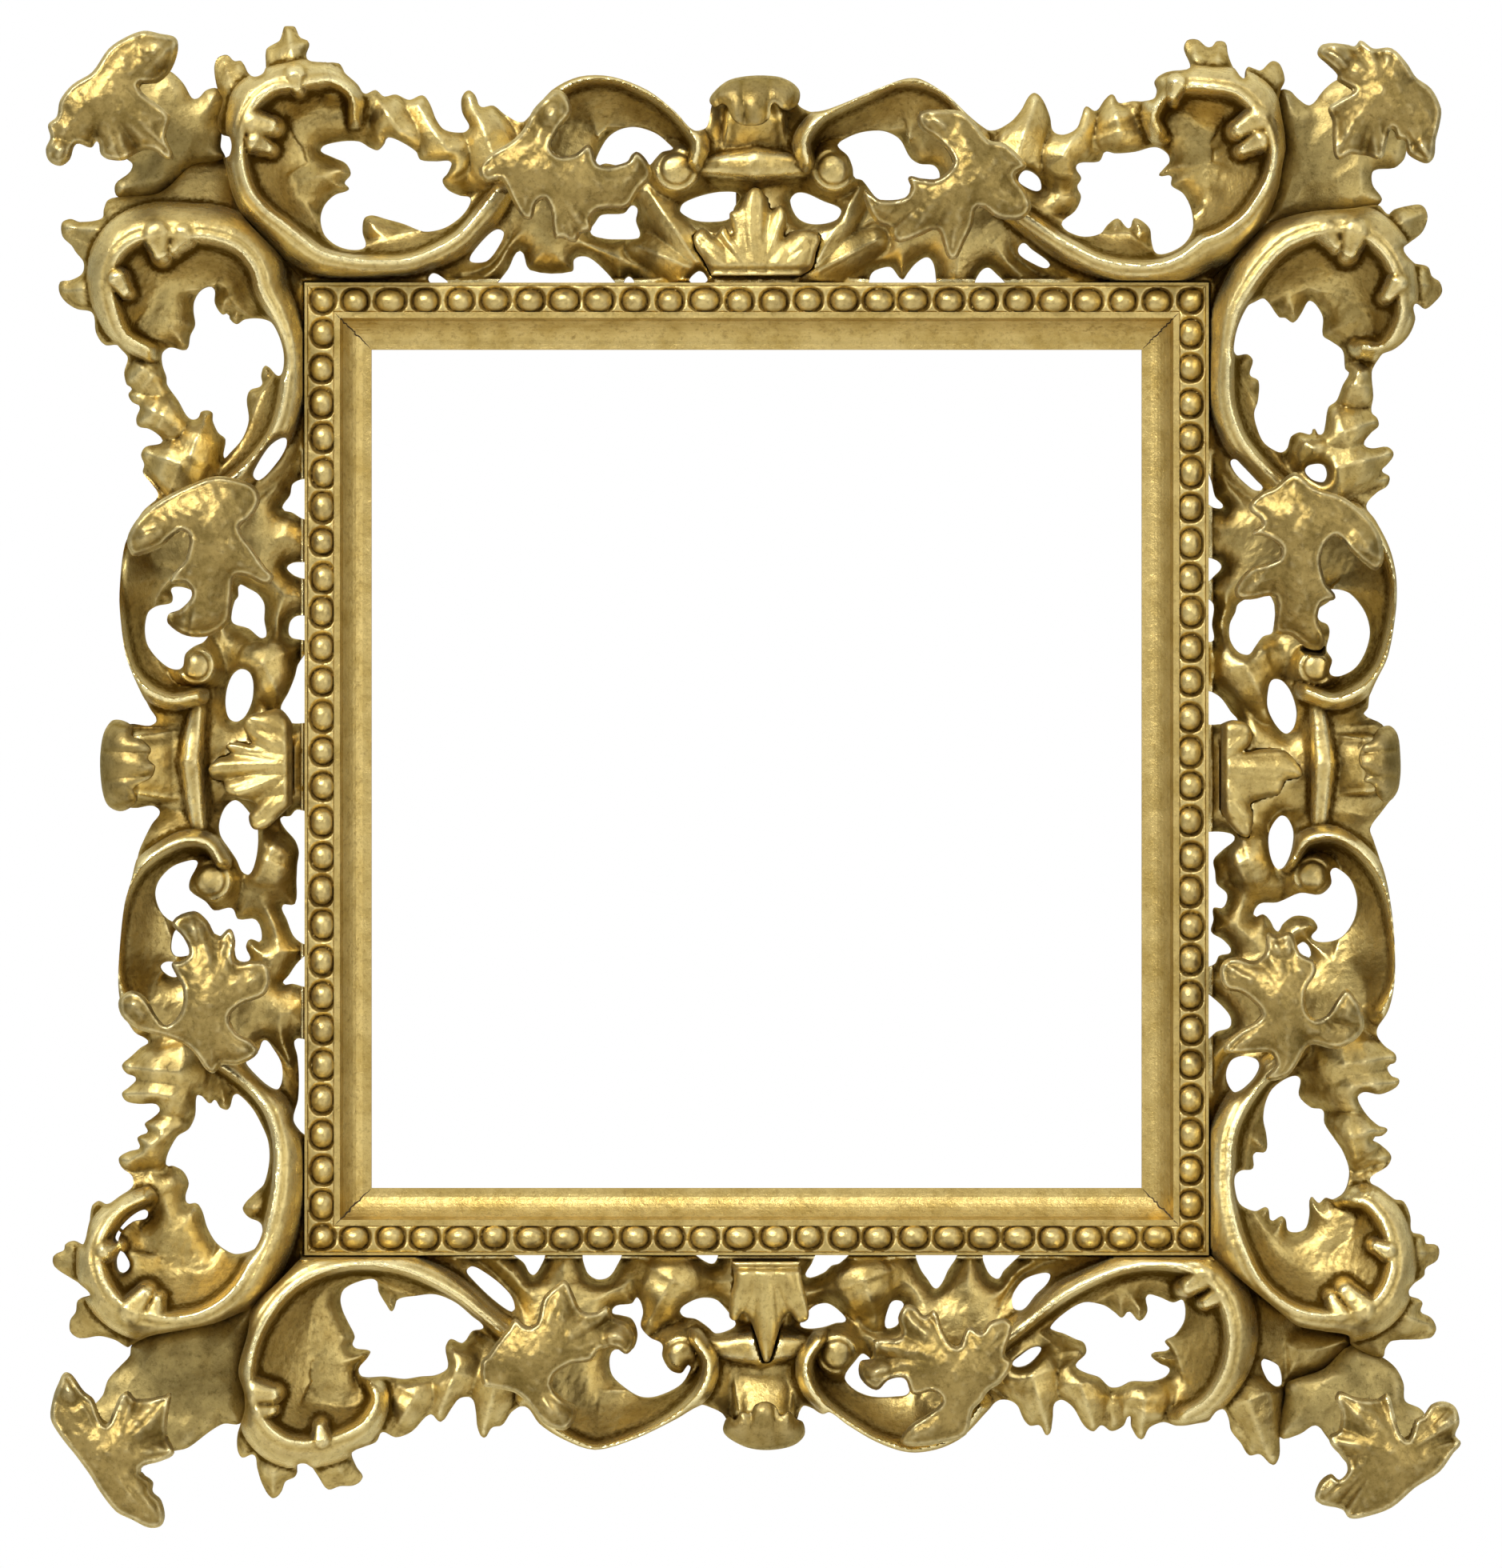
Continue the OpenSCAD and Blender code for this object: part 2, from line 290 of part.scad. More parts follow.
bottom_holes_px = [
    [[425, 1625], [430, 1612], [450, 1602], [470, 1600], [473, 1615], [483, 1632], [490, 1640], [497, 1625],
        [520, 1620], [545, 1618], [570, 1628], [590, 1645], [605, 1660], [590, 1665], [578, 1680], [563, 1675],
        [557, 1685], [560, 1710], [545, 1720], [525, 1722], [505, 1725], [480, 1722], [465, 1722], [452, 1722],
        [448, 1712], [460, 1697], [462, 1690], [445, 1687], [440, 1682], [443, 1672], [435, 1655], [428, 1640]],
    [[583, 1590], [590, 1583], [605, 1590], [625, 1605], [640, 1622], [643, 1640], [633, 1638], [610, 1620],
        [590, 1600]],
    [[640, 1564], [655, 1580], [665, 1595], [675, 1585], [680, 1564]],
    [[731, 1564], [733, 1590], [745, 1600], [760, 1598], [770, 1585], [776, 1564]],
    [[765, 1642], [770, 1633], [790, 1630], [797, 1622], [804, 1640], [801, 1658], [812, 1672], [828, 1680],
        [828, 1695], [838, 1712], [852, 1716], [862, 1705], [862, 1715], [850, 1733], [820, 1747], [800, 1747],
        [780, 1735], [765, 1720], [762, 1700], [768, 1688], [785, 1690], [793, 1685], [797, 1668], [790, 1650],
        [775, 1645]],
    [[850, 1640], [855, 1632], [875, 1623], [895, 1625], [910, 1640], [920, 1655], [915, 1662], [895, 1668],
        [885, 1660], [870, 1650], [855, 1647]],
    [[868, 1564], [880, 1577], [893, 1580], [896, 1564]],
    [[1008, 1597], [1015, 1580], [1024, 1564], [1062, 1564], [1050, 1580], [1040, 1583], [1030, 1592]],
    [[1010, 1640], [1020, 1632], [1035, 1630], [1050, 1640], [1058, 1652], [1045, 1655], [1030, 1660],
        [1010, 1662], [1000, 1657]],
    [[1147, 1564], [1150, 1585], [1160, 1600], [1170, 1612], [1178, 1605], [1185, 1590], [1196, 1564]],
    [[1231, 1564], [1235, 1590], [1248, 1600], [1255, 1590], [1265, 1580], [1277, 1564]],
    [[1107, 1660], [1113, 1630], [1120, 1626], [1130, 1630], [1125, 1645], [1122, 1658]],
    [[1056, 1722], [1070, 1700], [1080, 1692], [1100, 1712], [1130, 1720], [1137, 1742], [1120, 1747],
        [1090, 1747], [1068, 1738]],
    [[1268, 1615], [1280, 1600], [1300, 1592], [1313, 1593], [1310, 1605], [1295, 1620], [1280, 1638],
        [1268, 1637], [1265, 1625]],
    [[1265, 1705], [1275, 1695], [1290, 1685], [1302, 1685], [1298, 1695], [1285, 1707], [1272, 1710]],
    [[1313, 1660], [1330, 1642], [1355, 1628], [1380, 1632], [1395, 1642], [1403, 1648], [1412, 1640],
        [1425, 1652], [1435, 1640], [1434, 1620], [1450, 1622], [1467, 1629], [1479, 1625], [1482, 1650],
        [1470, 1670], [1457, 1678], [1463, 1688], [1440, 1694], [1450, 1705], [1463, 1712], [1458, 1722],
        [1440, 1728], [1415, 1728], [1400, 1735], [1388, 1735], [1375, 1723], [1360, 1718], [1348, 1712],
        [1345, 1705], [1358, 1692], [1356, 1680], [1345, 1675], [1330, 1668], [1320, 1665]],
    [[1577, 1700], [1590, 1702], [1600, 1710], [1603, 1732], [1595, 1734], [1583, 1722]]];
// Scrolls: the board, the side of the travel on which the scroll is rounded (1 left of it on the drawing,
// -1 right), and the crest's points, each with its height, the width outside it and the hollow's inside it
scrolls_px = [
    ["top", -1, [[443, 152, 120, 8, 10], [440, 122, 140, 12, 14], [418, 106, 150, 18, 18], [395, 107, 158, 27, 35],
        [370, 112, 165, 28, 45], [345, 116, 170, 26, 70], [325, 132, 172, 30, 80], [312, 155, 172, 24, 85],
        [306, 185, 172, 18, 90], [308, 215, 170, 20, 90], [318, 243, 168, 22, 75], [338, 266, 165, 22, 55],
        [358, 281, 162, 26, 40], [382, 300, 158, 28, 26], [405, 316, 152, 24, 20], [440, 324, 146, 20, 16],
        [480, 327, 140, 16, 30], [515, 324, 134, 16, 35], [548, 311, 128, 18, 30], [575, 294, 122, 20, 26],
        [598, 268, 116, 22, 22], [622, 238, 110, 18, 16]]],
    ["top", 1, [[1450, 165, 120, 14, 12], [1443, 145, 140, 14, 16], [1458, 122, 150, 22, 20],
        [1482, 113, 158, 25, 40], [1512, 114, 164, 24, 60], [1542, 120, 168, 28, 70], [1562, 137, 170, 30, 85],
        [1578, 160, 172, 24, 100], [1588, 190, 172, 14, 110], [1584, 220, 170, 16, 105], [1572, 245, 168, 22, 90],
        [1552, 272, 165, 26, 70], [1525, 292, 162, 30, 45], [1500, 302, 158, 30, 30], [1475, 320, 152, 26, 22],
        [1445, 331, 146, 20, 18], [1410, 332, 140, 18, 40], [1375, 325, 134, 18, 35], [1345, 310, 128, 20, 28],
        [1315, 292, 122, 20, 22], [1290, 275, 116, 18, 18], [1262, 255, 110, 16, 14]]],
    ["left", 1, [[190, 436, 110, 14, 12], [160, 418, 125, 16, 20], [147, 388, 140, 22, 60], [142, 355, 150, 26, 80],
        [150, 325, 160, 30, 85], [170, 306, 166, 34, 80], [200, 298, 170, 36, 75], [235, 299, 172, 36, 65],
        [270, 302, 172, 36, 60], [300, 314, 170, 34, 50], [320, 338, 168, 30, 45], [328, 366, 164, 28, 38],
        [342, 394, 158, 26, 18], [354, 425, 152, 22, 12], [358, 460, 146, 20, 12], [355, 500, 140, 20, 30],
        [343, 540, 134, 20, 32], [320, 572, 126, 18, 26], [292, 597, 118, 16, 20], [262, 615, 110, 16, 14]]],
    ["right", -1, [[1702, 432, 110, 14, 12], [1728, 432, 125, 16, 20], [1746, 405, 140, 18, 50],
        [1748, 375, 150, 20, 60], [1740, 345, 160, 24, 70], [1725, 318, 166, 30, 75], [1700, 298, 170, 32, 75],
        [1668, 292, 172, 32, 70], [1635, 298, 172, 34, 70], [1605, 312, 170, 34, 60], [1582, 334, 168, 32, 50],
        [1562, 362, 164, 28, 30], [1546, 395, 158, 26, 14], [1540, 430, 152, 22, 12], [1536, 465, 146, 20, 14],
        [1537, 505, 140, 20, 32], [1550, 545, 134, 20, 30], [1572, 575, 126, 18, 24], [1598, 600, 118, 16, 18],
        [1625, 618, 110, 16, 14]]],
    ["left", -1, [[183, 1498, 110, 12, 14], [155, 1512, 125, 16, 30], [137, 1535, 140, 20, 60],
        [128, 1560, 150, 24, 80], [132, 1590, 160, 28, 90], [148, 1618, 166, 30, 90], [175, 1636, 170, 30, 85],
        [210, 1643, 172, 28, 75], [245, 1640, 172, 28, 70], [275, 1626, 170, 30, 55], [298, 1604, 168, 34, 45],
        [315, 1575, 164, 34, 40], [332, 1540, 158, 32, 16], [342, 1505, 152, 30, 12], [347, 1465, 146, 28, 12],
        [346, 1425, 140, 26, 12], [336, 1390, 134, 24, 12], [316, 1362, 126, 20, 14], [292, 1342, 118, 18, 14],
        [265, 1325, 110, 16, 14]]],
    ["right", 1, [[1684, 1500, 110, 14, 12], [1708, 1506, 125, 22, 30], [1727, 1530, 140, 24, 60],
        [1735, 1560, 150, 26, 80], [1734, 1590, 160, 28, 90], [1720, 1618, 166, 32, 90], [1692, 1636, 170, 32, 85],
        [1660, 1640, 172, 28, 80], [1625, 1636, 172, 28, 70], [1595, 1620, 170, 30, 60], [1572, 1596, 168, 32, 50],
        [1556, 1564, 164, 32, 40], [1544, 1530, 158, 30, 30], [1538, 1495, 152, 28, 20], [1537, 1458, 146, 26, 20],
        [1540, 1420, 140, 24, 24], [1552, 1388, 134, 22, 20], [1572, 1358, 126, 20, 16], [1596, 1336, 118, 18, 14],
        [1622, 1318, 110, 16, 14]]],
    ["bottom", 1, [[461, 1721, 110, 12, 12], [470, 1748, 125, 14, 16], [455, 1776, 140, 20, 30],
        [425, 1792, 150, 26, 50], [392, 1799, 160, 28, 70], [360, 1795, 166, 30, 85], [335, 1775, 170, 28, 95],
        [320, 1745, 172, 20, 100], [316, 1712, 172, 16, 100], [322, 1678, 170, 20, 90], [338, 1644, 168, 26, 75],
        [362, 1614, 164, 28, 50], [392, 1594, 158, 26, 28], [425, 1583, 152, 16, 18], [460, 1580, 146, 14, 16],
        [500, 1585, 140, 16, 30], [540, 1600, 134, 18, 26], [575, 1622, 126, 18, 20], [604, 1645, 118, 16, 16],
        [632, 1668, 110, 16, 14]]],
    ["bottom", -1, [[1478, 1765, 115, 16, 20], [1505, 1748, 130, 20, 40], [1524, 1720, 145, 24, 60],
        [1534, 1688, 158, 28, 75], [1534, 1655, 166, 30, 80], [1524, 1622, 170, 30, 70], [1503, 1596, 168, 28, 50],
        [1472, 1583, 164, 24, 30], [1438, 1580, 158, 16, 24], [1400, 1586, 150, 14, 24], [1365, 1600, 144, 14, 28],
        [1332, 1618, 136, 16, 24], [1302, 1640, 126, 16, 18], [1275, 1662, 118, 16, 16], [1250, 1682, 110, 14, 14]]],
    ["top", 1, [[672, 168, 120, 14, 20], [682, 138, 132, 16, 40], [702, 115, 140, 14, 60], [732, 101, 146, 8, 75],
        [768, 101, 148, 6, 62], [800, 113, 148, 8, 50], [830, 130, 146, 10, 40], [854, 153, 142, 12, 34],
        [870, 180, 136, 14, 26], [866, 204, 128, 12, 18]]],
    ["top", 1, [[1012, 204, 128, 12, 18], [1008, 178, 136, 14, 26], [1024, 152, 142, 12, 34],
        [1054, 134, 146, 10, 40], [1088, 118, 148, 8, 50], [1122, 104, 148, 6, 62], [1156, 106, 146, 8, 75],
        [1186, 122, 140, 14, 60], [1206, 146, 132, 16, 40], [1220, 176, 120, 14, 20]]],
    ["left", -1, [[190, 640, 120, 14, 20], [163, 662, 132, 14, 40], [147, 692, 140, 10, 60], [144, 726, 146, 6, 75],
        [150, 762, 148, 6, 45], [155, 800, 148, 8, 36], [166, 836, 146, 10, 34], [186, 860, 142, 12, 30],
        [216, 873, 136, 12, 26], [248, 868, 128, 12, 20]]],
    ["left", -1, [[276, 1078, 128, 12, 20], [262, 1056, 136, 12, 26], [234, 1052, 142, 12, 28],
        [204, 1064, 146, 10, 32], [177, 1086, 148, 10, 40], [160, 1115, 148, 8, 45], [151, 1150, 146, 6, 60],
        [147, 1190, 140, 6, 75], [150, 1228, 132, 10, 60], [165, 1262, 120, 14, 30]]],
    ["right", 1, [[1690, 645, 120, 14, 20], [1716, 667, 132, 14, 40], [1734, 697, 140, 10, 60],
        [1742, 732, 146, 6, 75], [1741, 770, 148, 6, 45], [1734, 806, 148, 8, 36], [1721, 838, 146, 10, 34],
        [1698, 861, 142, 12, 30], [1666, 873, 136, 12, 26], [1632, 862, 128, 12, 20]]],
    ["right", 1, [[1614, 1078, 128, 12, 20], [1632, 1052, 136, 12, 26], [1662, 1046, 142, 12, 28],
        [1690, 1058, 146, 10, 32], [1714, 1082, 148, 10, 40], [1730, 1112, 148, 8, 45], [1739, 1148, 146, 6, 60],
        [1744, 1190, 140, 6, 75], [1742, 1230, 132, 10, 60], [1726, 1264, 120, 14, 30]]],
    ["bottom", -1, [[662, 1745, 120, 14, 20], [682, 1773, 132, 14, 40], [712, 1796, 140, 10, 60],
        [748, 1808, 146, 6, 75], [790, 1796, 148, 6, 62], [828, 1778, 148, 8, 50], [858, 1756, 146, 10, 40],
        [879, 1730, 142, 12, 34], [884, 1700, 136, 12, 26], [868, 1674, 128, 12, 18]]],
    ["bottom", -1, [[1026, 1674, 128, 12, 18], [1010, 1700, 136, 12, 26], [1014, 1730, 142, 12, 34],
        [1036, 1758, 146, 10, 40], [1066, 1780, 148, 8, 50], [1102, 1799, 148, 6, 62], [1140, 1808, 146, 6, 75],
        [1176, 1802, 140, 8, 60], [1204, 1784, 132, 12, 40], [1224, 1756, 120, 14, 20]]]];
// Round eyes at the inner ends of the small scrolls: board, centre and radius
eyes_px = [["top", [846, 212, 26]], ["top", [1042, 212, 26]], ["left", [246, 832, 22]], ["left", [264, 1100, 25]],
    ["right", [1645, 834, 22]], ["right", [1640, 1094, 23]], ["bottom", [852, 1694, 24]],
    ["bottom", [1046, 1692, 24]]];
// Ribs of the acanthus tufts: board, start and end, each with its height and radius
ribs_px = [
    ["top", [372, 90, 105, 22], [360, 38, 60, 8]], ["top", [410, 120, 100, 16], [428, 84, 60, 8]],
    ["top", [300, 140, 105, 18], [282, 80, 60, 8]], ["top", [500, 165, 80, 20], [470, 120, 55, 9]],
    ["top", [560, 190, 85, 20], [524, 132, 55, 9]], ["top", [620, 200, 90, 22], [588, 122, 55, 9]],
    ["top", [840, 300, 90, 26], [812, 240, 60, 10]], ["top", [1060, 300, 90, 26], [1075, 235, 60, 10]],
    ["top", [1270, 200, 90, 22], [1294, 126, 55, 9]], ["top", [1330, 195, 85, 18], [1356, 140, 55, 8]],
    ["top", [1400, 165, 80, 20], [1391, 126, 55, 9]], ["top", [1490, 95, 105, 20], [1494, 58, 60, 9]],
    ["top", [1520, 95, 105, 16], [1524, 60, 60, 8]], ["top", [1575, 130, 100, 18], [1590, 88, 60, 9]],
    ["left", [150, 290, 100, 20], [90, 284, 60, 9]], ["left", [120, 360, 100, 18], [84, 364, 60, 8]],
    ["left", [190, 470, 80, 22], [165, 448, 55, 9]], ["left", [205, 520, 85, 22], [175, 505, 55, 9]],
    ["left", [225, 580, 90, 24], [190, 568, 55, 9]], ["left", [240, 570, 95, 16], [258, 522, 60, 7]],
    ["left", [330, 830, 90, 22], [355, 880, 60, 10]], ["left", [335, 1075, 90, 22], [350, 1040, 60, 10]],
    ["left", [225, 1340, 90, 24], [165, 1335, 55, 9]], ["left", [215, 1370, 90, 22], [162, 1366, 55, 9]],
    ["left", [205, 1420, 80, 22], [165, 1450, 55, 9]], ["left", [130, 1580, 100, 18], [80, 1572, 60, 9]],
    ["left", [150, 1650, 100, 20], [105, 1655, 60, 9]], ["left", [135, 1520, 95, 14], [122, 1508, 60, 7]],
    ["right", [1735, 285, 100, 20], [1775, 268, 60, 9]], ["right", [1765, 355, 100, 18], [1792, 358, 60, 8]],
    ["right", [1695, 480, 80, 20], [1700, 450, 55, 9]], ["right", [1680, 540, 85, 22], [1716, 528, 55, 9]],
    ["right", [1670, 585, 90, 24], [1732, 568, 55, 9]], ["right", [1640, 560, 95, 16], [1622, 545, 60, 7]],
    ["right", [1555, 830, 90, 22], [1585, 885, 60, 10]], ["right", [1560, 1075, 90, 22], [1532, 1085, 60, 10]],
    ["right", [1680, 1330, 90, 24], [1738, 1322, 55, 9]], ["right", [1690, 1360, 90, 22], [1742, 1352, 55, 9]],
    ["right", [1690, 1420, 80, 22], [1728, 1412, 55, 9]], ["right", [1760, 1565, 100, 18], [1790, 1566, 60, 9]],
    ["right", [1740, 1640, 100, 20], [1785, 1655, 60, 9]], ["right", [1745, 1525, 95, 14], [1752, 1508, 60, 7]],
    ["bottom", [345, 1820, 105, 22], [342, 1862, 60, 8]], ["bottom", [415, 1815, 100, 18], [432, 1848, 60, 8]],
    ["bottom", [315, 1790, 100, 16], [306, 1814, 60, 8]], ["bottom", [520, 1745, 80, 20], [495, 1786, 55, 9]],
    ["bottom", [570, 1715, 85, 20], [550, 1766, 55, 9]], ["bottom", [620, 1730, 90, 20], [605, 1788, 55, 9]],
    ["bottom", [840, 1600, 90, 24], [812, 1650, 60, 10]], ["bottom", [1080, 1600, 90, 24], [1095, 1645, 60, 10]],
    ["bottom", [1290, 1720, 90, 22], [1309, 1785, 55, 9]], ["bottom", [1350, 1730, 85, 20], [1366, 1780, 55, 9]],
    ["bottom", [1430, 1750, 80, 20], [1427, 1790, 55, 9]], ["bottom", [1560, 1750, 100, 22], [1585, 1820, 60, 9]],
    ["bottom", [1500, 1765, 90, 16], [1545, 1795, 60, 8]], ["bottom", [1565, 1640, 60, 14], [1585, 1690, 60, 8]]];
// Carved leaves laid over the boards: name, board, hub with its height, and outline
leaves_px = [
    ["top_left_leaf", "top", [688, 212, 184], [[655, 165], [640, 180], [615, 195], [600, 214], [608, 230], [628, 228],
        [640, 250], [655, 275], [666, 276], [672, 258], [682, 252], [690, 268], [694, 300], [704, 300], [720, 305],
        [728, 294], [740, 290], [740, 274], [752, 264], [784, 262], [800, 240], [815, 222], [810, 204], [796, 192],
        [786, 204], [766, 210], [748, 208], [738, 184], [720, 196], [700, 198], [690, 186], [700, 165], [716, 144],
        [711, 124], [698, 115], [684, 124], [668, 140]]],
    ["top_right_leaf", "top", [1206, 222, 184], [[1150, 142], [1170, 140], [1200, 142], [1218, 156], [1235, 178],
        [1255, 182], [1275, 200], [1282, 211], [1268, 222], [1280, 240], [1288, 262], [1275, 277], [1245, 275],
        [1222, 262], [1215, 285], [1205, 305], [1195, 325], [1185, 325], [1177, 305], [1170, 290], [1150, 297],
        [1125, 305], [1115, 300], [1112, 288], [1095, 280], [1082, 258], [1080, 240], [1090, 245], [1100, 252],
        [1130, 250], [1138, 238], [1135, 224], [1150, 226], [1172, 226], [1190, 208], [1184, 192], [1168, 176],
        [1152, 166], [1145, 152]]],
    ["left_upper_leaf", "left", [262, 660, 184], [[270, 597], [300, 600], [322, 610], [328, 628], [315, 650],
        [303, 660], [318, 685], [335, 710], [345, 722], [335, 732], [312, 722], [297, 722], [293, 745], [288, 778],
        [265, 795], [235, 795], [212, 780], [213, 768], [228, 762], [243, 745], [235, 730], [215, 728], [235, 700],
        [240, 672], [228, 665], [205, 685], [180, 695], [168, 695], [162, 675], [175, 650], [195, 632],
        [230, 612]]],
    ["left_lower_leaf", "left", [262, 1250, 184], [[218, 1152], [245, 1138], [262, 1150], [275, 1170], [290, 1160],
        [297, 1175], [297, 1200], [318, 1200], [336, 1203], [341, 1225], [333, 1243], [305, 1255], [290, 1270],
        [300, 1290], [318, 1300], [325, 1315], [300, 1330], [280, 1330], [270, 1340], [260, 1335], [250, 1320],
        [236, 1306], [210, 1295], [175, 1285], [155, 1268], [152, 1248], [168, 1237], [185, 1245], [200, 1270],
        [212, 1280], [230, 1262], [232, 1235], [222, 1215], [218, 1203], [230, 1200], [240, 1190], [232, 1170]]],
    ["right_upper_leaf", "right", [1628, 660, 184], [[1605, 597], [1618, 592], [1640, 610], [1675, 622], [1705, 645],
        [1722, 670], [1727, 700], [1718, 714], [1702, 705], [1685, 690], [1668, 672], [1655, 680], [1648, 700],
        [1655, 730], [1667, 748], [1650, 755], [1645, 775], [1655, 800], [1650, 812], [1632, 810], [1612, 795],
        [1592, 790], [1592, 748], [1562, 750], [1545, 748], [1542, 735], [1560, 712], [1595, 700], [1598, 685],
        [1578, 672], [1562, 668], [1575, 655], [1558, 636], [1572, 618], [1590, 610]]],
    ["right_lower_leaf", "right", [1606, 1250, 184], [[1528, 1200], [1545, 1195], [1565, 1200], [1578, 1190],
        [1582, 1165], [1592, 1168], [1612, 1165], [1622, 1190], [1640, 1200], [1642, 1215], [1630, 1235],
        [1630, 1260], [1640, 1272], [1655, 1268], [1668, 1248], [1680, 1235], [1690, 1245], [1700, 1262],
        [1702, 1285], [1690, 1300], [1665, 1310], [1635, 1305], [1618, 1330], [1605, 1345], [1580, 1347],
        [1592, 1330], [1585, 1315], [1560, 1315], [1530, 1315], [1528, 1305], [1545, 1288], [1562, 1278],
        [1574, 1266], [1562, 1250], [1548, 1240], [1530, 1235], [1522, 1215]]],
    ["bottom_left_leaf", "bottom", [672, 1688, 184], [[645, 1645], [660, 1655], [672, 1650], [680, 1620], [695, 1605],
        [708, 1598], [718, 1615], [728, 1635], [745, 1638], [760, 1630], [768, 1645], [785, 1652], [795, 1672],
        [785, 1690], [770, 1682], [750, 1685], [740, 1698], [715, 1702], [695, 1715], [692, 1730], [705, 1745],
        [722, 1757], [718, 1775], [705, 1785], [680, 1775], [660, 1750], [645, 1738], [620, 1732], [605, 1728],
        [603, 1700], [612, 1690], [622, 1675], [638, 1655]]],
    ["bottom_right_leaf", "bottom", [1192, 1706, 184], [[1122, 1645], [1132, 1628], [1145, 1632], [1155, 1642],
        [1168, 1635], [1178, 1660], [1195, 1680], [1205, 1660], [1212, 1655], [1225, 1662], [1235, 1650],
        [1255, 1645], [1265, 1655], [1255, 1690], [1265, 1700], [1250, 1725], [1235, 1735], [1226, 1748],
        [1215, 1760], [1207, 1790], [1180, 1800], [1140, 1805], [1125, 1800], [1135, 1780], [1162, 1762],
        [1176, 1748], [1165, 1736], [1140, 1740], [1130, 1720], [1110, 1722], [1095, 1735], [1075, 1720],
        [1075, 1700], [1090, 1695], [1092, 1672], [1125, 1668]]]];
corner_leaves_px = [
    ["top_left_corner_leaf", 0, [140, 122, 214], [[62, 190], [66, 205], [80, 211], [92, 203], [100, 184], [118, 188],
        [126, 180], [130, 196], [140, 203], [160, 204], [180, 192], [196, 192], [212, 203], [221, 200], [212, 175],
        [217, 150], [206, 138], [178, 112], [200, 108], [216, 94], [226, 70], [224, 52], [205, 47], [184, 43],
        [160, 52], [140, 66], [120, 95], [96, 110], [80, 130], [76, 150], [65, 160], [68, 176]]],
    ["top_right_corner_leaf", 1, [1722, 124, 214], [[1643, 72], [1650, 60], [1680, 60], [1690, 62], [1697, 55],
        [1712, 65], [1735, 65], [1755, 85], [1765, 100], [1785, 115], [1797, 140], [1795, 160], [1790, 180],
        [1788, 200], [1780, 208], [1765, 203], [1755, 195], [1752, 180], [1742, 178], [1736, 165], [1730, 180],
        [1722, 203], [1705, 198], [1685, 197], [1667, 203], [1662, 180], [1662, 155], [1656, 140], [1665, 132],
        [1688, 118], [1680, 112], [1668, 105], [1668, 98], [1655, 85]]],
    ["bottom_right_corner_leaf", 2, [1735, 1812, 214], [[1642, 1872], [1645, 1850], [1660, 1838], [1670, 1845],
        [1680, 1835], [1678, 1822], [1660, 1802], [1658, 1790], [1670, 1783], [1672, 1760], [1665, 1745],
        [1670, 1735], [1690, 1742], [1718, 1745], [1730, 1738], [1738, 1760], [1745, 1785], [1756, 1795],
        [1765, 1770], [1775, 1765], [1785, 1752], [1800, 1748], [1815, 1755], [1820, 1775], [1815, 1790],
        [1822, 1800], [1812, 1812], [1795, 1835], [1765, 1855], [1735, 1880], [1700, 1892], [1683, 1893],
        [1675, 1883]]],
    ["bottom_left_corner_leaf", 3, [140, 1808, 214], [[85, 1712], [95, 1715], [110, 1735], [122, 1745], [130, 1768],
        [138, 1776], [146, 1760], [155, 1740], [165, 1735], [175, 1745], [210, 1740], [218, 1737], [215, 1760],
        [213, 1790], [222, 1812], [205, 1822], [180, 1832], [195, 1848], [195, 1860], [205, 1870], [210, 1890],
        [205, 1903], [190, 1905], [170, 1895], [150, 1885], [130, 1860], [118, 1840], [100, 1815], [80, 1790],
        [68, 1768], [72, 1740], [78, 1725]]]];
// Fan-shaped palmettes against the moulding: name, the point their flutes spread from, and outline
palmettes_px = [
    ["top_palmette", [946, 352, 110], [[945, 235], [958, 246], [964, 264], [976, 258], [984, 274], [980, 298],
        [990, 290], [1010, 288], [1025, 296], [1020, 315], [1015, 335], [1000, 345], [890, 345], [880, 325],
        [870, 310], [868, 295], [880, 285], [893, 295], [905, 283], [916, 298], [912, 268], [925, 260], [934, 242]]],
    ["bottom_palmette", [957, 1570, 110], [[915, 1576], [1000, 1576], [1003, 1600], [1010, 1630], [1010, 1648],
        [998, 1652], [985, 1640], [972, 1668], [962, 1700], [955, 1700], [945, 1668], [932, 1640], [920, 1650],
        [912, 1645], [913, 1620], [918, 1600]]],
    ["left_palmette", [378, 955, 110], [[366, 905], [366, 1005], [350, 1020], [335, 1034], [318, 1036], [312, 1020],
        [320, 1005], [300, 998], [284, 990], [280, 976], [268, 974], [262, 960], [274, 948], [290, 942], [284, 932],
        [300, 928], [316, 930], [306, 912], [310, 896], [330, 890], [350, 886], [360, 895]]],
    ["right_palmette", [1514, 960, 110], [[1526, 905], [1540, 900], [1558, 905], [1564, 918], [1560, 932],
        [1552, 940], [1580, 936], [1605, 938], [1622, 956], [1626, 970], [1606, 975], [1598, 992], [1578, 998],
        [1562, 1004], [1566, 1020], [1560, 1045], [1550, 1044], [1536, 1030], [1526, 1012]]]];
// Rounded shells at the outer edge: name, centre and radius
shells_px = [["top_shell", [946, 142, 50]], ["bottom_shell", [955, 1760, 50]], ["left_shell", [182, 952, 50]],
    ["right_shell", [1700, 962, 50]]];

// Overrun of the cuts
eps = 1;
// Lap of the boards under the moulding on the drawing, and the glue gap round it
lap_px = 14;
glue_gap = 0.1;
// Fillets of the moulding: outside the beads, between the beads and the hollow
outer_fillet_w = 0.9;
inner_fillet_w = 2;
// Drop from the moulding's fillets to the foot of the hollow
hollow_drop = 8;
// Flats in the hollow's curve
hollow_steps = 8;
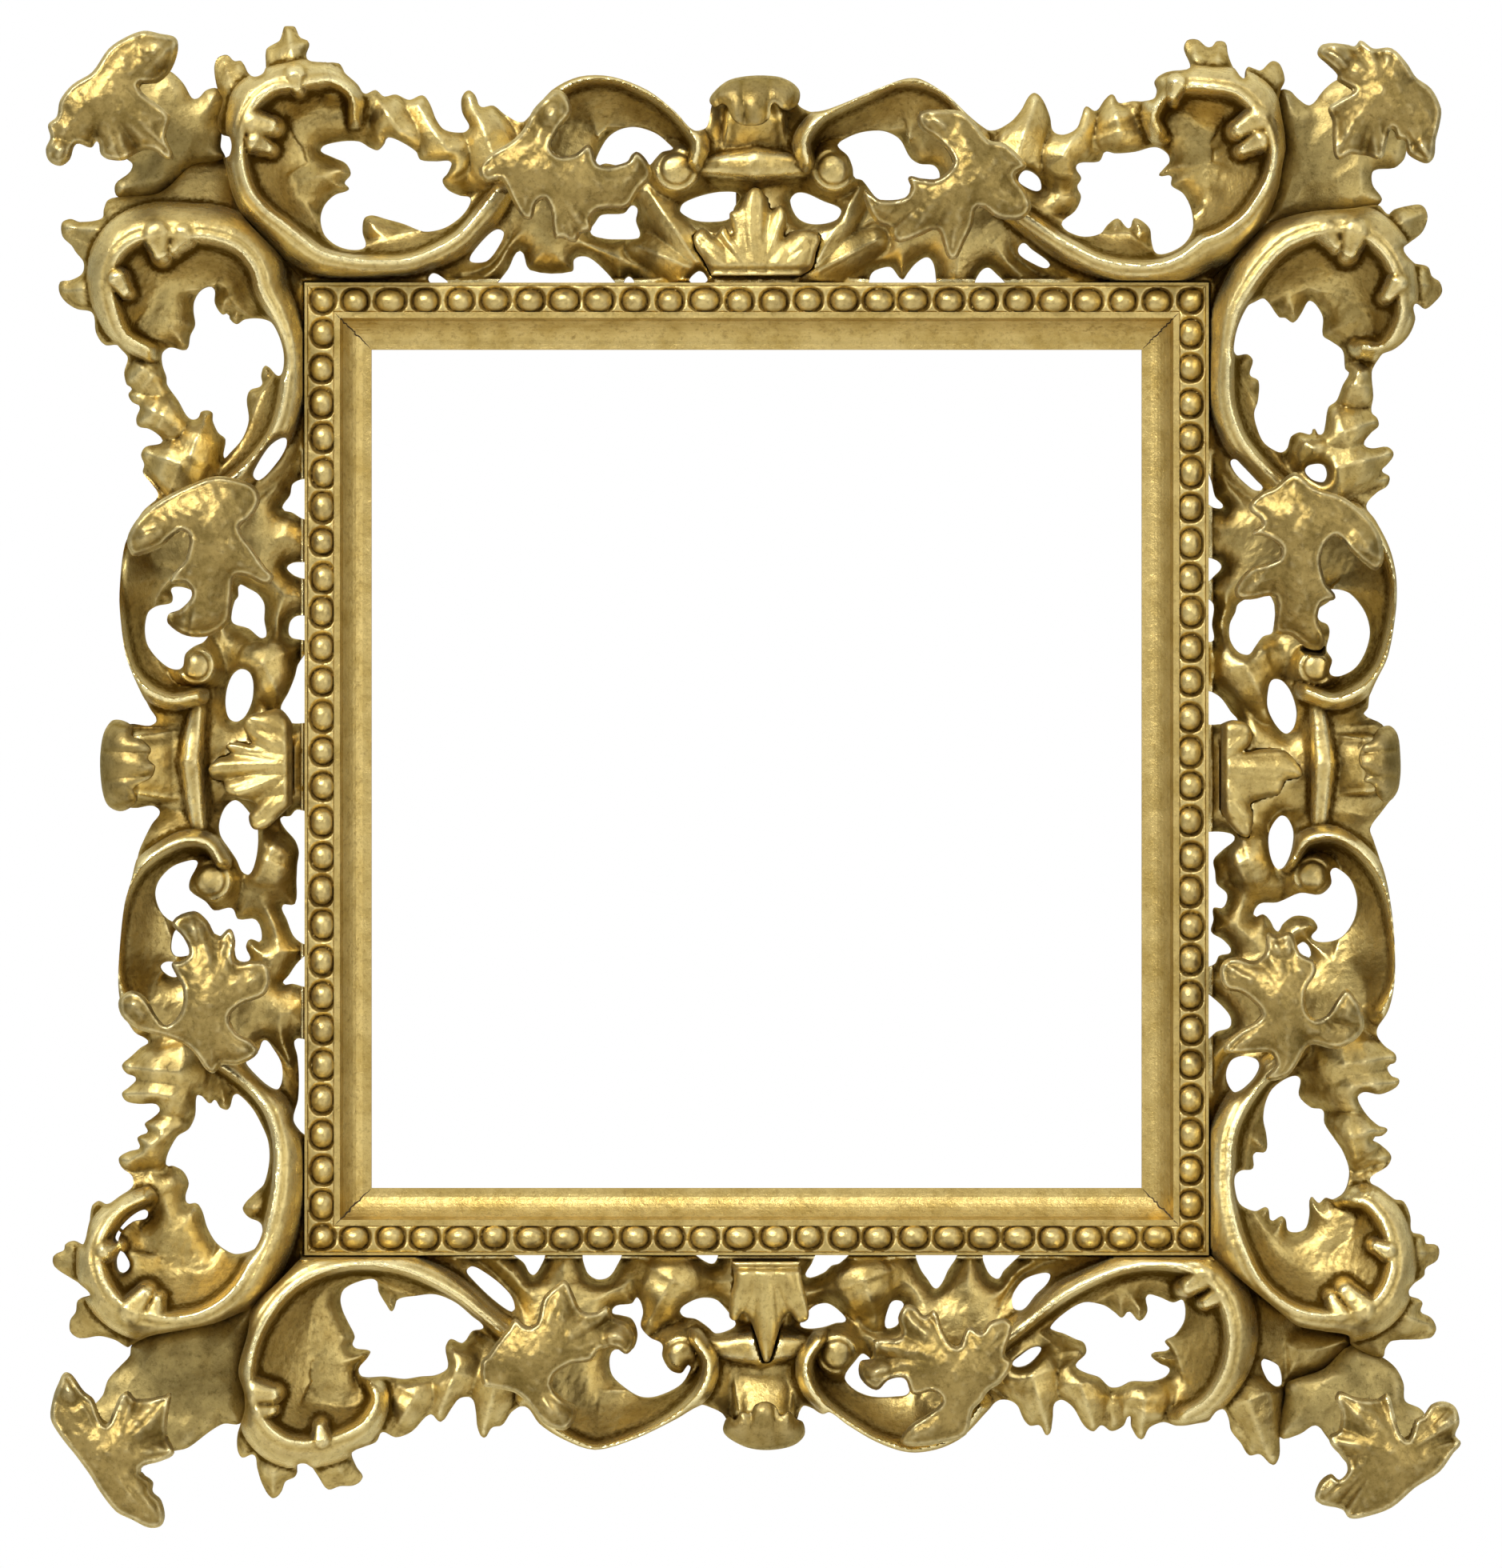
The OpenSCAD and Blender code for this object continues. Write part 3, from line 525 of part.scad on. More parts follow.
// Shares of the carving's reach: radius of the leaves' domes
leaf_dome_share = 0.53;
// Section of a scroll, as shares of its widths outwards or, below zero, inwards, and of its crest's height
scroll_shares = [[-1, 0.3], [-0.4, 0.46], [-0.1, 0.72], [0, 1], [0.4, 0.95], [0.8, 0.68], [1, 0.34]];
// Least height of a section's top as a share of the board's thickness, and least bend of a crest
least_share = 0.8;
least_bend_share = 0.01;
// Greatest share of the bend's radius that a hollow may take
fold_share = 0.85;
// Core of a stretch that runs on into the next: share of the section, height of its middle as a share of the
// board's thickness, and share of the stretch's length
core_share = 0.75;
heart_share = 0.65;
run_on_share = 0.12;
// Turn of the ribs' eight flats, and the width of a rib's top as a share of its foot's
rib_turn = 13;
rib_top_share = 0.45;
// Fineness to which the points of the scrolls are rounded
fine_step = 0.01;
// Least share of the farthest lobe's reach at which a lobe gets a vein
vein_share = 0.62;
// Diameter of the veins cut in the leaves, and the angle that they run down the dome
vein_w = 1.8;
vein_turn = 84;
// Height of the shell's foot as a share of its radius, and the number of its flutes
shell_foot_share = 0.5;
shell_flutes = 7;
// Angle that a flute runs down its dome
flute_turn = 88;
// Directions of the palmettes' flutes, about the way out from the moulding
flute_angles = [-64, -42, -21, 0, 21, 42, 64];
// Distance of the hanger's first screw from the eye, between the screws, and from the eye to the plate's top
hanger_screw_from_eye = 14;
hanger_screw_pitch = 14;
hanger_top_w = 7;
// Width of a screw head's outer face as a share of the head's diameter
head_top_share = 0.7;
// Widening of the drilled holes in the carved board
drill_gap = 0.15;

grid_mm = [moulding_w / 2 / grid_half_px[0], moulding_h / 2 / grid_half_px[1]];
lap_w = max(lap_px * grid_mm[0], lap_px * grid_mm[1]) + glue_gap;
back_mid = (lap_w + moulding_face - rebate_w) / 2;
sight_t = moulding_t - hollow_drop;
eye_up = moulding_h / 2 + hanger_rise;
button_at = [moulding_w / 4, moulding_h / 4];
shank_d = button_bore_d - 2 * button_clearance;
leaf_dome_r = carving_w * leaf_dome_share;
gilt = "#b8974a";
gilt_dark = "#8a6d2f";
bare_wood = "#8b6b45";
brass = "#b5964f";
steel = "#8d8f92";

// A place on the drawing in millimetres from the middle of the moulding, and a height above its back
function place(v, axis) = let (d = v - grid_centre_px[axis], h = grid_half_px[axis], a = abs(d),
    m = a <= h ? a * grid_mm[axis] : h * grid_mm[axis] + (a - h) * carving_w / grid_carving_px)
    sign(d) * m * (axis == 0 ? 1 : -1);
function at(p) = [place(p[0], 0), place(p[1], 1)];
function map(pts) = [for (p = pts) at(p)];
function up(z) = z * carving_h / grid_relief_px;
function wide(w) = w * carving_w / grid_carving_px;

// Stands the drawing up, with its face to the front and the eye at the origin
module lay() {
    rotate([90, 0, 0]) translate([0, -eye_up, 0]) children();
}
// The four sides of the moulding, with the way in to the picture along -Y
module to_side(side) {
    if (side == "top") translate([0, moulding_h / 2, 0]) children();
    if (side == "bottom") translate([0, -moulding_h / 2, 0]) rotate([0, 0, 180]) children();
    if (side == "left") translate([-moulding_w / 2, 0, 0]) rotate([0, 0, 90]) children();
    if (side == "right") translate([moulding_w / 2, 0, 0]) rotate([0, 0, -90]) children();
}
function side_length(side) = side == "top" || side == "bottom" ? moulding_w : moulding_h;
function side_offset(side) = side == "top" || side == "bottom" ? button_at[0] : button_at[1];
module mitred(length) {
    intersection() {
        children();
        translate([0, 0, -eps]) linear_extrude(moulding_t + 2 * eps) polygon([[-length / 2, 0], [length / 2, 0],
            [length / 2 - moulding_face, -moulding_face], [moulding_face - length / 2, -moulding_face]]);
    }
}
module run(length, profile) {
    translate([-length / 2, 0, 0]) rotate([90, 0, 90]) linear_extrude(length)
        polygon([for (p = profile) [-p[0], p[1]]]);
}

hollow_from = outer_fillet_w + bead_strip_w + inner_fillet_w;
rail_profile = concat(
    [[0, board_t], [0, moulding_t], [outer_fillet_w, moulding_t], [outer_fillet_w, moulding_t - bead_strip_t],
        [outer_fillet_w + bead_strip_w, moulding_t - bead_strip_t], [outer_fillet_w + bead_strip_w, moulding_t],
        [hollow_from, moulding_t]],
    [for (i = [1:hollow_steps]) let (t = i / hollow_steps)
        [hollow_from + hollow_w * t, sight_t + (hollow_drop - outer_fillet_w) * pow(1 - t, 2)]],
    [[moulding_face, sight_t], [moulding_face, rebate_depth], [moulding_face - rebate_w, rebate_depth],
        [moulding_face - rebate_w, 0], [lap_w, 0], [lap_w, board_t]]);

module key() {
    translate([0, 0, -eps]) linear_extrude(key_t + eps) key_outline();
}
module key_outline() {
    polygon([[-key_l / 2, -key_w / 2], [-key_l / 2, key_w / 2], [0, key_w / 4], [key_l / 2, key_w / 2],
        [key_l / 2, -key_w / 2], [0, -key_w / 4]]);
}
module to_mitres() {
    for (sx = [-1, 1]) for (sy = [-1, 1])
        translate([sx * (moulding_w / 2 - back_mid), sy * (moulding_h / 2 - back_mid), 0])
            rotate([0, 0, -45 * sx * sy]) children();
}
module button_hole(side) {
    to_side(side) translate([side_offset(side), -back_mid, -eps])
        cylinder(d = shank_d, h = button_screw_depth + eps, $fn = 48);
}
module rail(side) {
    color(gilt) lay() difference() {
        to_side(side) mitred(side_length(side)) run(side_length(side), rail_profile);
        to_mitres() key();
        button_hole(side);
    }
}

// A strip let into the moulding, with its beads
module beads(side) {
    length = side_length(side);
    middle = outer_fillet_w + bead_strip_w / 2;
    count = round((length - 2 * middle) / bead_pitch);
    step = (length - 2 * middle) / count;
    last = side == "top" || side == "bottom" ? count : count - 1;
    color(gilt) lay() to_side(side) {
        mitred(length) run(length, [[outer_fillet_w, moulding_t - bead_strip_t], [outer_fillet_w, moulding_t],
            [outer_fillet_w + bead_strip_w, moulding_t], [outer_fillet_w + bead_strip_w, moulding_t - bead_strip_t]]);
        intersection() {
            translate([-length / 2, -2 * middle, moulding_t - bead_strip_t / 2])
                cube([length, 2 * middle, bead_d]);
            for (i = [side == "top" || side == "bottom" ? 1 : 1:count - 1])
                translate([i * step - length / 2 + middle, -middle, moulding_t]) sphere(d = bead_d, $fn = 32);
        }
    }
}

// A scroll, swept along its crest: a rounded ridge outside, and the slope of the hollow inside
function unit(v) = v / norm(v);
function side_on(v, side) = [-v[1], v[0]] * side;
function along(st, i) = at(st[min(i + 1, len(st) - 1)]) - at(st[max(i - 1, 0)]);
// Radius of the crest's bend at a point, so that the hollow never folds over itself
function bend(st, i) = i == 0 || i == len(st) - 1 ? carving_w : let (a = unit(at(st[i]) - at(st[i - 1])),
    b = unit(at(st[i + 1]) - at(st[i]))) norm(along(st, i)) / 2 / max(norm(b - a), least_bend_share);
function section(st, i, side) = let (c = at(st[i]), n = side_on(unit(along(st, i)), side),
    inner = min(wide(st[i][4]), bend(st, i) * fold_share)) concat(
        [for (s = scroll_shares) concat(c + n * s[0] * (s[0] > 0 ? wide(st[i][3]) : inner),
            max(up(st[i][2]) * s[1], board_t * least_share))],
        [for (s = [scroll_shares[len(scroll_shares) - 1], scroll_shares[0]])
            concat(c + n * s[0] * (s[0] > 0 ? wide(st[i][3]) : inner), board_t / 2)]);
// One stretch of a scroll, between two of its sections, with cores that run on inside the stretches next to it;
// a core is the section drawn in towards a point low under the crest
function heart(pts) = let (crest = pts[floor(len(scroll_shares) / 2)]) [crest[0], crest[1], board_t * heart_share];
function core(pts, step) = [for (p = pts) heart(pts) + (p - heart(pts)) * core_share + step * run_on_share];
module stretch(a, b) {
    n = len(a);
    loop = [for (j = [0:n - 1]) j];
    step = heart(b) - heart(a);
    rings = [for (p = concat(core(a, -step), a, b, core(b, step))) [for (v = p) round(v / fine_step) * fine_step]];
    polyhedron(rings, concat([loop], [[for (j = loop) 4 * n - 1 - j]], [for (i = [0, n, 2 * n]) for (j = loop)
        let (k = (j + 1) % n) for (t = [[i + j, i + n + j, i + n + k], [i + j, i + n + k, i + k]]) t]));
}
module scroll(st, side) {
    for (i = [0:len(st) - 2])
        if (side < 0) stretch(section(st, i, side), section(st, i + 1, side));
        else stretch(section(st, i + 1, side), section(st, i, side));
}
module eye(e) {
    c = at(e);
    r = wide(e[2]);
    translate([c[0], c[1], board_t / 2]) rotate([0, 0, rib_turn]) {
        cylinder(r = r, h = r + board_t / 2, $fn = 12);
        translate([0, 0, r + board_t / 2]) sphere(r = r, $fn = 12);
    }
}
module rib(a, b) {
    hull() for (e = [a, b]) let (c = at(e), r = wide(e[3])) translate([c[0], c[1], board_t / 2])
        rotate([0, 0, rib_turn]) cylinder(r1 = r, r2 = r * rib_top_share, h = up(e[2]) - board_t / 2, $fn = 8);
}
module pierced(outline, holes) {
    difference() {
        polygon(map(outline));
        for (h = holes) polygon(map(h));
    }
}

// A leaf's lobes: the points of its outline farthest out from its hub
function reach(l, i) = let (n = len(l[3])) norm(at(l[3][(i + n) % n]) - at(l[2]));
function lobes(l) = let (far = max([for (i = [0:len(l[3]) - 1]) reach(l, i)]))
    [for (i = [0:len(l[3]) - 1]) if (reach(l, i) >= reach(l, i - 1) && reach(l, i) > reach(l, i + 1)
        && reach(l, i) > far * vein_share) at(l[3][i]) - at(l[2])];
// A shell cut to the leaf's outline from a dome, with a vein to each lobe, on a stalk
module leaf(l, seat) {
    c = at(l[2]);
    top = up(l[2][2]);
    color(gilt) lay() difference() {
        intersection() {
            translate([0, 0, seat]) linear_extrude(top - seat + eps) polygon(map(l[3]));
            translate([c[0], c[1], top - leaf_dome_r]) difference() {
                sphere(r = leaf_dome_r, $fn = 96);
                difference() {
                    sphere(r = leaf_dome_r - leaf_t, $fn = 96);
                    translate([0, 0, -leaf_dome_r]) cylinder(d = stalk_d, h = 2 * leaf_dome_r, $fn = 48);
                }
            }
        }
        for (v = lobes(l)) translate([c[0], c[1], top - leaf_dome_r]) rotate([0, 0, atan2(v[1], v[0])])
            rotate([90, 0, 0]) rotate_extrude(angle = vein_turn, $fn = 96)
                translate([leaf_dome_r, 0]) circle(d = vein_w, $fn = 16);
    }
}
// The space that a leaf needs over a board
module leaf_room(l) {
    c = at(l[2]);
    top = up(l[2][2]);
    difference() {
        translate([0, 0, -eps]) linear_extrude(carving_h + 2 * eps) offset(delta = leaf_gap) polygon(map(l[3]));
        translate([c[0], c[1], top - leaf_dome_r]) sphere(r = leaf_dome_r - leaf_t - leaf_gap, $fn = 20);
    }
    translate([c[0], c[1], -eps]) cylinder(d = stalk_d + 2 * leaf_gap, h = carving_h + 2 * eps, $fn = 24);
}
// Flutes round a dome, from its top down
module flutes(r, angles) {
    for (a = angles) rotate([0, 0, a]) rotate([90, 0, 0])
        rotate_extrude(angle = flute_turn, $fn = 96) translate([r, 0]) circle(d = flute_w, $fn = 16);
}
function outward(side) = side == "top" ? 90 : side == "bottom" ? -90 : side == "left" ? 180 : 0;
module palmette(p, side) {
    c = at(p[1]);
    top = up(p[1][2]);
    r = carving_w;
    color(gilt) lay() difference() {
        intersection() {
            translate([0, 0, board_t]) linear_extrude(top - board_t) polygon(map(p[2]));
            translate([c[0], c[1], top - r]) sphere(r = r, $fn = 96);
        }
        translate([c[0], c[1], top - r]) flutes(r, [for (a = flute_angles) a + outward(side)]);
    }
}
module shell(s, side) {
    c = at(s[1]);
    r = wide(s[1][2]);
    color(gilt) lay() translate([c[0], c[1], board_t]) difference() {
        union() {
            cylinder(r = r, h = r * shell_foot_share, $fn = 64);
            intersection() {
                translate([0, 0, r * shell_foot_share]) sphere(r = r, $fn = 64);
                cylinder(r = r + eps, h = 2 * r, $fn = 64);
            }
        }
        translate([0, 0, r * shell_foot_share]) flutes(r,
            [for (i = [0:shell_flutes - 1]) outward(side) + 180 / (shell_flutes - 1) * (i - (shell_flutes - 1) / 2)]);
    }
}
// Scrolls, ribs and eyes of a board, with room for the pieces that lie on it
module relief(side) {
    difference() {
        union() {
            for (s = scrolls_px) if (s[0] == side) scroll(s[2], s[1]);
            for (r = ribs_px) if (r[0] == side) rib(r[1], r[2]);
            for (e = eyes_px) if (e[0] == side) eye(e[1]);
        }
        translate([-moulding_w / 2, -moulding_h / 2, -eps]) cube([moulding_w, moulding_h, carving_h + 2 * eps]);
        for (l = leaves_px) if (l[1] == side) leaf_room(l);
        for (p = palmettes_px) if (p[0] == str(side, "_palmette")) translate([0, 0, -eps])
            linear_extrude(carving_h + 2 * eps) offset(delta = leaf_gap) polygon(map(p[2]));
        for (s = shells_px) if (s[0] == str(side, "_shell")) let (c = at(s[1])) translate([c[0], c[1], -eps])
            cylinder(r = wide(s[1][2]) + leaf_gap, h = carving_h + 2 * eps, $fn = 40);
    }
}
module board(side, outline, holes) {
    color(gilt) lay() difference() {
        intersection() {
            linear_extrude(carving_h) pierced(outline, holes);
            union() {
                translate([-moulding_w / 2 - carving_w, -moulding_h / 2 - carving_w, 0])
                    cube([moulding_w + 2 * carving_w, moulding_h + 2 * carving_w, board_t]);
                relief(side);
            }
        }
        if (side == "top") hanger_drilling();
    }
}
module block(i) {
    color(gilt_dark) lay() linear_extrude(block_t) polygon(map(corner_blocks_px[i]));
}

module hanger_drilling() {
    translate([0, eye_up, -eps]) {
        cylinder(d = recess_d, h = recess_depth + eps, $fn = 32);
        for (i = [0, 1]) translate([0, -hanger_screw_from_eye - i * hanger_screw_pitch, 0])
            cylinder(d = hanger_screw_d + 2 * drill_gap, h = hanger_screw_depth + eps, $fn = 24);
    }
}
module hanger_plate() {
    color(brass) lay() translate([0, eye_up, -hanger_t]) difference() {
        union() {
            translate([0, hanger_top_w - hanger_w / 2, 0]) cylinder(d = hanger_w, h = hanger_t, $fn = 64);
            translate([-hanger_w / 2, hanger_top_w - hanger_l, 0])
                cube([hanger_w, hanger_l - hanger_w / 2, hanger_t]);
        }
        translate([0, 0, -eps]) cylinder(d = eye_d, h = hanger_t + 2 * eps, $fn = 64);
        for (i = [0, 1]) translate([0, -hanger_screw_from_eye - i * hanger_screw_pitch, -eps])
            cylinder(d = hanger_screw_d, h = hanger_t + 2 * eps, $fn = 48);
    }
}
module screw(shank, depth, head, head_t, from) {
    translate([0, 0, -from]) cylinder(d = shank, h = depth + from, $fn = 48);
    translate([0, 0, -from - head_t]) difference() {
        cylinder(d1 = head * head_top_share, d2 = head, h = head_t, $fn = 48);
        translate([-head, -head_t / 4, -head_t / 2]) cube([2 * head, head_t / 2, head_t]);
    }
}
module hanger_screws() {
    color(steel) lay() for (i = [0, 1])
        translate([0, eye_up - hanger_screw_from_eye - i * hanger_screw_pitch, 0])
            screw(hanger_screw_d, hanger_screw_depth, hanger_head_d, hanger_head_t, hanger_t);
}
module button(side) {
    color(brass) lay() to_side(side) translate([side_offset(side), -back_mid, -button_gap - button_t]) difference() {
        linear_extrude(button_t) {
            square([button_l - button_w, button_w], center = true);
            for (s = [-1, 1]) translate([s * (button_l - button_w) / 2, 0]) circle(d = button_w, $fn = 48);
        }
        translate([0, 0, -eps]) cylinder(d = button_bore_d, h = button_t + 2 * eps, $fn = 48);
    }
}
module button_screws() {
    color(steel) lay() for (side = ["top", "right", "bottom", "left"])
        to_side(side) translate([side_offset(side), -back_mid, 0])
            screw(shank_d, button_screw_depth, button_head_d, button_head_t, button_t + 2 * button_gap);
}
module mitre_keys() {
    color(bare_wood) lay() to_mitres() linear_extrude(key_t) key_outline();
}

rail("top");  // top_rail
rail("right");  // right_rail
rail("bottom");  // bottom_rail
rail("left");  // left_rail
beads("top");  // top_beads
beads("right");  // right_beads
beads("bottom");  // bottom_beads
beads("left");  // left_beads
board("top", top_board_px, top_holes_px);  // top_board
board("right", right_board_px, right_holes_px);  // right_board
board("bottom", bottom_board_px, bottom_holes_px);  // bottom_board
board("left", left_board_px, left_holes_px);  // left_board
block(0);  // top_left_block
block(1);  // top_right_block
block(2);  // bottom_right_block
block(3);  // bottom_left_block
leaf(corner_leaves_px[0], block_t);  // top_left_corner_leaf
leaf(corner_leaves_px[1], block_t);  // top_right_corner_leaf
leaf(corner_leaves_px[2], block_t);  // bottom_right_corner_leaf
leaf(corner_leaves_px[3], block_t);  // bottom_left_corner_leaf
leaf(leaves_px[0], board_t);  // top_left_leaf
leaf(leaves_px[1], board_t);  // top_right_leaf
leaf(leaves_px[2], board_t);  // left_upper_leaf
leaf(leaves_px[3], board_t);  // left_lower_leaf
leaf(leaves_px[4], board_t);  // right_upper_leaf
leaf(leaves_px[5], board_t);  // right_lower_leaf
leaf(leaves_px[6], board_t);  // bottom_left_leaf
leaf(leaves_px[7], board_t);  // bottom_right_leaf
palmette(palmettes_px[0], "top");  // top_palmette
palmette(palmettes_px[1], "bottom");  // bottom_palmette
palmette(palmettes_px[2], "left");  // left_palmette
palmette(palmettes_px[3], "right");  // right_palmette
shell(shells_px[0], "top");  // top_shell
shell(shells_px[1], "bottom");  // bottom_shell
shell(shells_px[2], "left");  // left_shell
shell(shells_px[3], "right");  // right_shell
mitre_keys();
hanger_plate();
hanger_screws();
button("top");  // top_button
button("right");  // right_button
button("bottom");  // bottom_button
button("left");  // left_button
button_screws();
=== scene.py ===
# A carved and pierced gilt picture frame in baroque style, about 479 x 502 x 62 mm, hung from an eye behind
# its top edge. It is put together as the real one is: four mitred rails with bead courses, four pierced and
# carved boards round them, blocks and leaves at the corners, and leaves, palmettes and shells laid on.
import math

import bpy
import numpy as np
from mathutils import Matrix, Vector
from mathutils.geometry import delaunay_2d_cdt


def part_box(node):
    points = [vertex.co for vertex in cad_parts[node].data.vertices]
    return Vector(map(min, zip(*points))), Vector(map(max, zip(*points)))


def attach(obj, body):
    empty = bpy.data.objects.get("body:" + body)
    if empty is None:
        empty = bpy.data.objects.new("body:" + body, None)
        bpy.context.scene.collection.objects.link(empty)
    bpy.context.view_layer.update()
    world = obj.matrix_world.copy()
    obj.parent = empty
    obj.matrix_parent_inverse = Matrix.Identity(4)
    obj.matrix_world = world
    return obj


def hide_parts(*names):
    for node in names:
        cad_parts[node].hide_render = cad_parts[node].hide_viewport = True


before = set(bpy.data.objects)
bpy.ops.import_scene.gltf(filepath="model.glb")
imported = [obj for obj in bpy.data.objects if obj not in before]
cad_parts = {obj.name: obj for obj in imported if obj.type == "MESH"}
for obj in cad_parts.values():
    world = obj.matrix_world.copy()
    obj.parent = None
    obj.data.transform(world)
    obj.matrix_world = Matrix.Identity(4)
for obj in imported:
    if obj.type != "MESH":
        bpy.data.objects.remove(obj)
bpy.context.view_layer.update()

# Moulding rails
# Four mitred lengths of lime-wood moulding with a bead groove, a hollow and a flat sight edge, gessoed and
# gilded with the rest. The backs and the rebate are left as bare wood.
MM = 0.001
sides = ("top", "right", "bottom", "left")
moulding_left, moulding_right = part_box("left_rail")[0][0] / MM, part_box("right_rail")[1][0] / MM
moulding_top, moulding_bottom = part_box("top_rail")[1][2] / MM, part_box("bottom_rail")[0][2] / MM
moulding_w, moulding_h = moulding_right - moulding_left, moulding_top - moulding_bottom
centre_z = (moulding_top + moulding_bottom) / 2
gold_metallic = 0.95  # a little clay shows through the leaf
edge_tint = "#f4e4b4"  # gold stays yellow where it is seen edge on
wood_dark, wood_pale = "#7c5f3e", "#a98a62"
worn_angle = 0.6  # arrises of CAD pieces that turn by more than this, in radians, are worn soft


def tone(hex_code):
    """An sRGB hex colour as linear RGBA."""
    parts = [int(hex_code[i:i + 2], 16) / 255 for i in (1, 3, 5)]
    return [c / 12.92 if c <= 0.04045 else ((c + 0.055) / 1.055) ** 2.4 for c in parts] + [1.0]


def add(owner, kind, settings=(), links=()):
    """One shader node, with its settings and what feeds it: a socket, or a node that gives its first output.

    A ramp's stops are places and colours. A number as a name means the socket at that place.
    """
    node = owner.node_tree.nodes.new("ShaderNode" + kind)
    for name, value in dict(settings).items():
        if name == "stops":
            for stop, (place, colour) in zip(node.color_ramp.elements, value):
                stop.position, stop.color = place, tone(colour)
        elif isinstance(name, str) and hasattr(node, name):
            setattr(node, name, value)
        else:
            node.inputs[name].default_value = value
    for name, source in dict(links).items():
        owner.node_tree.links.new(getattr(source, "outputs", [source])[0], node.inputs[name])
    return node


def new_material(name):
    """An empty material, and the place on the piece that its patterns are drawn by."""
    material = bpy.data.materials.new(name)
    material.use_nodes = True
    material.node_tree.nodes.clear()
    return material, {"Vector": add(material, "TexCoord").outputs["Object"]}


def per_metre(mm):
    """Scale of a noise whose patches are about that many millimetres across."""
    return 1000 / mm


def gold_leaf(name, deep, shade, leaf, bright, dull=0.0, wood_behind=False):
    """Loose gold leaf on brown clay over gesso on lime wood, burnished with a stone.

    To the eye it is a real metal surface of about 75% brightness: sharp and straw-coloured on the worn crests,
    with a painted highlight there, matt and deeper in the hollows, with painted shade and dirt there, and
    brown where dirt has stayed.
    """
    m, place = new_material(name)
    hollow, wear_and_highlight = (add(m, "Attribute", {"attribute_name": made}).outputs["Fac"]
                      for made in ("hollow", "wear_and_highlight"))
    # Patches where leaf laps leaf or is worn thin, specks of dirt, brush marks, and soft unevenness, each in mm
    patches, specks, fine, lumps = (
        add(m, "TexNoise", {"Scale": per_metre(mm), "Detail": detail, "Roughness": harsh}, place)
        for mm, detail, harsh in ((11, 6, 0.66), (1.9, 6, 0.72), (0.6, 3, 0.6), (5, 2, 0.5)))
    gild = add(m, "ValToRGB", {"stops": ((0.34, shade), (0.60, leaf))}, {"Fac": patches})
    # The crests are mixed towards the bright colour: wear, and a painted highlight
    on_crests = add(m, "MixRGB", {"Color2": tone(bright)}, {"Fac": wear_and_highlight, "Color1": gild})
    # Painted shade and dirt darken the hollows towards the deep colour, broken up by the dirt specks
    spread = add(m, "MapRange", {"From Min": 0.42, "From Max": 0.70, "To Min": -0.22, "To Max": 0.46},
                 {"Value": specks})
    darkening = add(m, "Math", {"operation": "ADD", "use_clamp": True}, {0: hollow, 1: spread})
    colour = add(m, "MixRGB", {"Color2": tone(deep)}, {"Fac": darkening, "Color1": on_crests})
    # Burnished crests shine, hollows and speckled places are matt
    shine = add(m, "MapRange", {"To Min": 0.37 + dull, "To Max": 0.18 + dull}, {"Value": wear_and_highlight})
    rough = add(m, "Math", {"operation": "MULTIPLY_ADD", "use_clamp": True, 1: 0.26}, {0: darkening, 2: shine})
    # Brush marks in the gesso and pits, about 0.1 mm deep
    pits = add(m, "Math", {"operation": "MULTIPLY_ADD", 1: 0.35}, {0: fine, 2: specks})
    relief = add(m, "Math", {"operation": "MULTIPLY_ADD", 1: 1.5}, {0: lumps, 2: pits})
    bump = add(m, "Bump", {"Strength": 0.55, "Distance": 0.0004}, {"Height": relief})
    looks = {"Base Color": colour, "Roughness": rough, "Normal": bump}
    if wood_behind:
        # Faces towards the wall are bare wood
        facing = add(m, "SeparateXYZ", links={"Vector": add(m, "NewGeometry").outputs["Normal"]})
        bare = add(m, "Math", {"operation": "GREATER_THAN", 1: 0.5}, {0: facing.outputs["Y"]})
        wood = add(m, "MixRGB", {"Color1": tone(wood_dark), "Color2": tone(wood_pale)}, {"Fac": specks})
        metal = add(m, "Math", {"operation": "MULTIPLY_ADD", 1: -gold_metallic, 2: gold_metallic},
                    {0: bare})
        looks = {"Base Color": add(m, "MixRGB", links={"Fac": bare, "Color1": colour, "Color2": wood}),
                 "Roughness": add(m, "Math", {"operation": "MAXIMUM"}, {0: rough, 1: bare}),
                 "Metallic": metal, "Normal": bump}
    gold = add(m, "BsdfPrincipled", {"Metallic": gold_metallic, "Specular Tint": tone(edge_tint)}, looks)
    add(m, "OutputMaterial", links={"Surface": gold})
    return m


def finish_node(node, material, edge_mm):
    """Puts one material on a CAD piece and softens its arrises, as gesso or a file does."""
    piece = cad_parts[node]
    piece.data.materials.clear()
    piece.data.materials.append(material)
    bevel = piece.modifiers.new("worn edges", "BEVEL")
    bevel.width, bevel.segments, bevel.limit_method, bevel.angle_limit = edge_mm * MM, 2, "ANGLE", worn_angle
    bevel.harden_normals = True


# Colours: deep is painted shade and dirt in hollows, bright is wear and a painted highlight on crests
moulding_gold = gold_leaf("burnished_moulding_leaf", "#5c4618", "#b09654", "#c9b170", "#f8eaba", wood_behind=True)
for side in sides:
    finish_node(f"{side}_rail", moulding_gold, 0.35)

